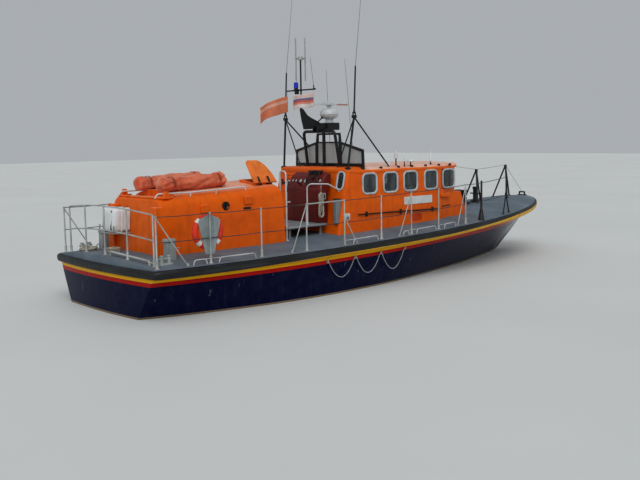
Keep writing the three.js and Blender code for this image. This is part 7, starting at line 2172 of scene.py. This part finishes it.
# The foredeck: two tripods of black steel tube carry the jackstay's wire from the roof to the bow.
# A hand windlass of cast iron, a cowled vent and the bow fairlead are bolted to the deck.
WINDLASS_X, FAIRLEAD_X, FAIRLEAD_DECK_X, DRUM_Z = 4.05, 6.84, 6.85, 1.547214
TRIPODS = ((4.63, "mid"), (6.00, "fwd"))
for x, suffix in TRIPODS:
    top = deck_z(x, 0) + 0.9
    tripod = []
    for fx, fy in ((x - 0.26, 0.26), (x - 0.26, -0.26), (x + 0.2, 0.0)):
        z = deck_z(fx, fy)
        tripod.append(tube([(fx, fy, z - 0.01), (x, 0, top)], 0.022, 16))
        tripod.append(turned([(0.0, -0.01), (0.05, -0.008), (0.05, 0.01), (0.03, 0.016), (0.0, 0.018)],
            (fx, fy, z)))
    tripod.append(turned([(0.0, -0.09), (0.04, -0.088), (0.04, 0.008), (0.03, 0.018), (0.0, 0.02)],
        (x, 0, top)))
    black(f"jackstay_tripod_{suffix}", tripod, f"jackstay_post_{suffix}")
stay = [(2.46, 0.0, 2.615), *((x, 0, deck_z(x, 0) + 0.915) for x, _ in TRIPODS)]
stay = np.array([*stay, (FAIRLEAD_X, 0.0, deck_z(FAIRLEAD_DECK_X, 0) + 0.112)])
piece("jackstay_wire", [wire_between(a, b, 0.01, 0.004) for a, b in zip(stay, stay[1:])], sheath,
    "black_metal")
z = deck_z(WINDLASS_X, 0)
plinth = turned([(0.19, -0.02), (0.19, 0.045), (0.175, 0.06), (0.105, 0.062), (0.095, 0.075),
    (0.095, 0.145), (0.088, 0.15)], (WINDLASS_X, 0, z), sides=40)
black("windlass_plinth", [plinth], "windlass_base")
drum = [turned([(0.106, 0.0), (0.11, 0.006), (0.11, 0.022), (0.1, 0.032), (0.065, 0.07), (0.062, 0.12),
    (0.07, 0.17), (0.1, 0.2), (0.105, 0.208), (0.105, 0.235), (0.098, 0.244), (0.0, 0.25)],
    (WINDLASS_X, 0, DRUM_Z), sides=40)]
for k in range(8):
    a = k * math.pi / 4
    way = np.array([math.cos(a), math.sin(a), 0])
    drum.append(tube([np.array([WINDLASS_X, 0, DRUM_Z + 0.075]) + way * 0.062,
        np.array([WINDLASS_X, 0, DRUM_Z + 0.165]) + way * 0.068], 0.007, 8))
black("windlass_drum_casting", drum, "windlass_drum", body="windlass_drum")
VENT_X, VENT_Y = 3.05, -0.62
cowl = turned([(0.095, -0.02), (0.095, 0.012), (0.068, 0.018), (0.062, 0.035), (0.062, 0.4),
    (0.094, 0.402), (0.098, 0.412), (0.096, 0.47), (0.09, 0.515), (0.078, 0.54), (0.0, 0.545)],
    (VENT_X, VENT_Y, deck_z(VENT_X, VENT_Y)), sides=36)
black("foredeck_cowl", [cowl], "foredeck_vent")
z = deck_z(FAIRLEAD_DECK_X, 0)
fairlead = [slab(0.2, 0.22, 0.03, (FAIRLEAD_X, 0), z - 0.03, z + 0.022, "xy", 0.006)]
for y in (-0.09, 0.09):
    fairlead.append(turned([(0.03, 0.0), (0.022, 0.02), (0.022, 0.085), (0.024, 0.1), (0.0, 0.102)],
        (FAIRLEAD_X, y, z + 0.01), sides=20))
fairlead.append(tube([(FAIRLEAD_X, -0.09, z + 0.098), (FAIRLEAD_X, 0.09, z + 0.098)], 0.02, 16))
black("bow_fairlead_frame", fairlead, "bow_fairlead")

# The mooring post between the legs of the mid tripod: cast iron painted black, on a round foot.
# A steel bar passes through it, and it is bolted to the deck.
POST_X = 4.6
z = deck_z(POST_X, 0)
post = [turned([(0.15, -0.02), (0.15, 0.03), (0.12, 0.05), (0.08, 0.07), (0.07, 0.09), (0.07, 0.36),
    (0.084, 0.372), (0.084, 0.41), (0.07, 0.43), (0.0, 0.434)], (POST_X, 0, z), sides=36),
    tube([(POST_X, -0.18, z + 0.24), (POST_X, 0.18, z + 0.24)], 0.018, 14)]
black("mooring_post", post)

# The engines: two diesels painted grey-green, side by side in the well under the aft cabin.
# Each is a cast block with a cover, a row of injector bosses and two cross mounts.
engine_paint = weathered("engine_paint", "#6f7d74", rough=0.5, fading=0.3, runs=0.4, bump=0.2,
    dirt="#2f2a22")
for side, suffix in SIDES:
    y = side * 0.5
    block = [slab(1.42, 0.66, 0.03, (-4.28, y), -0.415, 0.2, "xy", 0.02),
        slab(1.3, 0.4, 0.04, (-4.28, y), 0.18, 0.36, "xy", 0.03)]
    for k in range(6):
        block.append(turned([(0.035, 0.0), (0.03, 0.05), (0.0, 0.055)], (-4.78 + k * 0.2, y, 0.355),
            sides=16))
    for low, high in (((-4.99, -4.85), (-0.3, 0.15)), ((-3.72, -3.565), (-0.35, 0.25))):
        block.append(slab(low[1] - low[0], high[1] - high[0], 0.03,
            (sum(low) / 2, sum(high) / 2), y - 0.345, y + 0.345, "xz", 0.015))
    piece(f"diesel_{suffix}", block, engine_paint, "engine_block", f"engine_{suffix}")

# The propellers and rudders: four bronze blades on a tapered hub, turned in the hull's tunnels, and a bronze
# foil on a stock behind each.
bronze = weathered("bronze", "#9a6b33", rough=0.35, metal=0.85, fading=0.3, runs=0.3, bump=0.12,
    dirt="#3d4a3c")
BLADE_THICK, SHAFT_RADIUS = 0.013, 0.035


def blade(side, quarter):
    """A blade: at each radius a thin lens of chord c, set over by a pitch that eases from hub to tip."""
    out = np.concatenate([np.linspace(0.05, 0.31, 16), [0.322, 0.3285]])
    chord = np.interp(out, [0.05, 0.12, 0.2, 0.27, 0.31, 0.322, 0.3285],
        [0.055, 0.105, 0.142, 0.132, 0.085, 0.055, 0.012])
    pitch = np.radians(np.interp(out, [0.05, 0.33], [42, 24]))
    across = np.concatenate([np.linspace(-1, 1, 12), np.linspace(1, -1, 12)[1:-1]])
    face = np.where(np.arange(22) < 12, 1, -1)
    bulge = BLADE_THICK / 2 * np.sqrt(np.maximum(1 - across ** 2, 0.02)) * face
    along = across[None] * chord[:, None]
    x = -side * along * np.sin(pitch)[:, None] + bulge[None] * np.cos(pitch)[:, None]
    sweep = -along * np.cos(pitch)[:, None] - side * bulge[None] * np.sin(pitch)[:, None]
    reach = np.sqrt(np.maximum(out[:, None] ** 2 - np.minimum(sweep, out[:, None] * 0.9) ** 2 * 0.4, 0.0004))
    shape = lofted(np.stack([x, reach, sweep], 2))
    return carried(shape, (0, 0, 0), (quarter * 90, 0, 0))


for side, suffix in SIDES:
    axis = shaft_point(side, 1.0) - shaft_point(side, 0.0)
    axis /= np.linalg.norm(axis)
    lean = (0, -SHAFT_ANGLE, 0)
    blades = [carried(blade(side, k), shaft_point(side, SHAFT_X), lean) for k in range(4)]
    hub = turned([(0.035, -0.14), (0.055, -0.12), (0.062, -0.08), (0.075, 0.12), (0.0, 0.121)],
        shaft_point(side, SHAFT_X), axis, 32)
    shaft = tube([shaft_point(side, SHAFT_X + 0.1), shaft_point(side, -4.66)], SHAFT_RADIUS, 24)
    piece(f"propeller_bronze_{suffix}", [*blades, hub, shaft], bronze, "bronze", f"propeller_{suffix}",
        body=f"propeller_{suffix}")
    foil = np.concatenate([smooth([(0.15, 0.0), (0.135, 0.017), (0.08, 0.027), (0.0, 0.03)], 10),
        [(-0.35, 0.008)], [(-0.35, -0.008)], smooth([(0.0, -0.03), (0.08, -0.027), (0.135, -0.017),
        (0.15, 0.0)], 10)[:-1]])
    plate = extruded(foil + [RUDDER_X, side * SHAFT_Y], -1.13, -0.47, "xy", 0.004)
    stock = tube([(RUDDER_X, side * SHAFT_Y, -0.51), (RUDDER_X, side * SHAFT_Y, -0.252)], 0.032, 24)
    piece(f"rudder_foil_{suffix}", [plate, stock], bronze, "bronze", f"rudder_{suffix}",
        body=f"rudder_{suffix}")

visual_low, visual_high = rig.bounds()
with open("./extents.json", "w") as sizes:
    json.dump({"cad": [list(cad_low), list(cad_high)], "visual": [list(visual_low), list(visual_high)]},
        sizes)
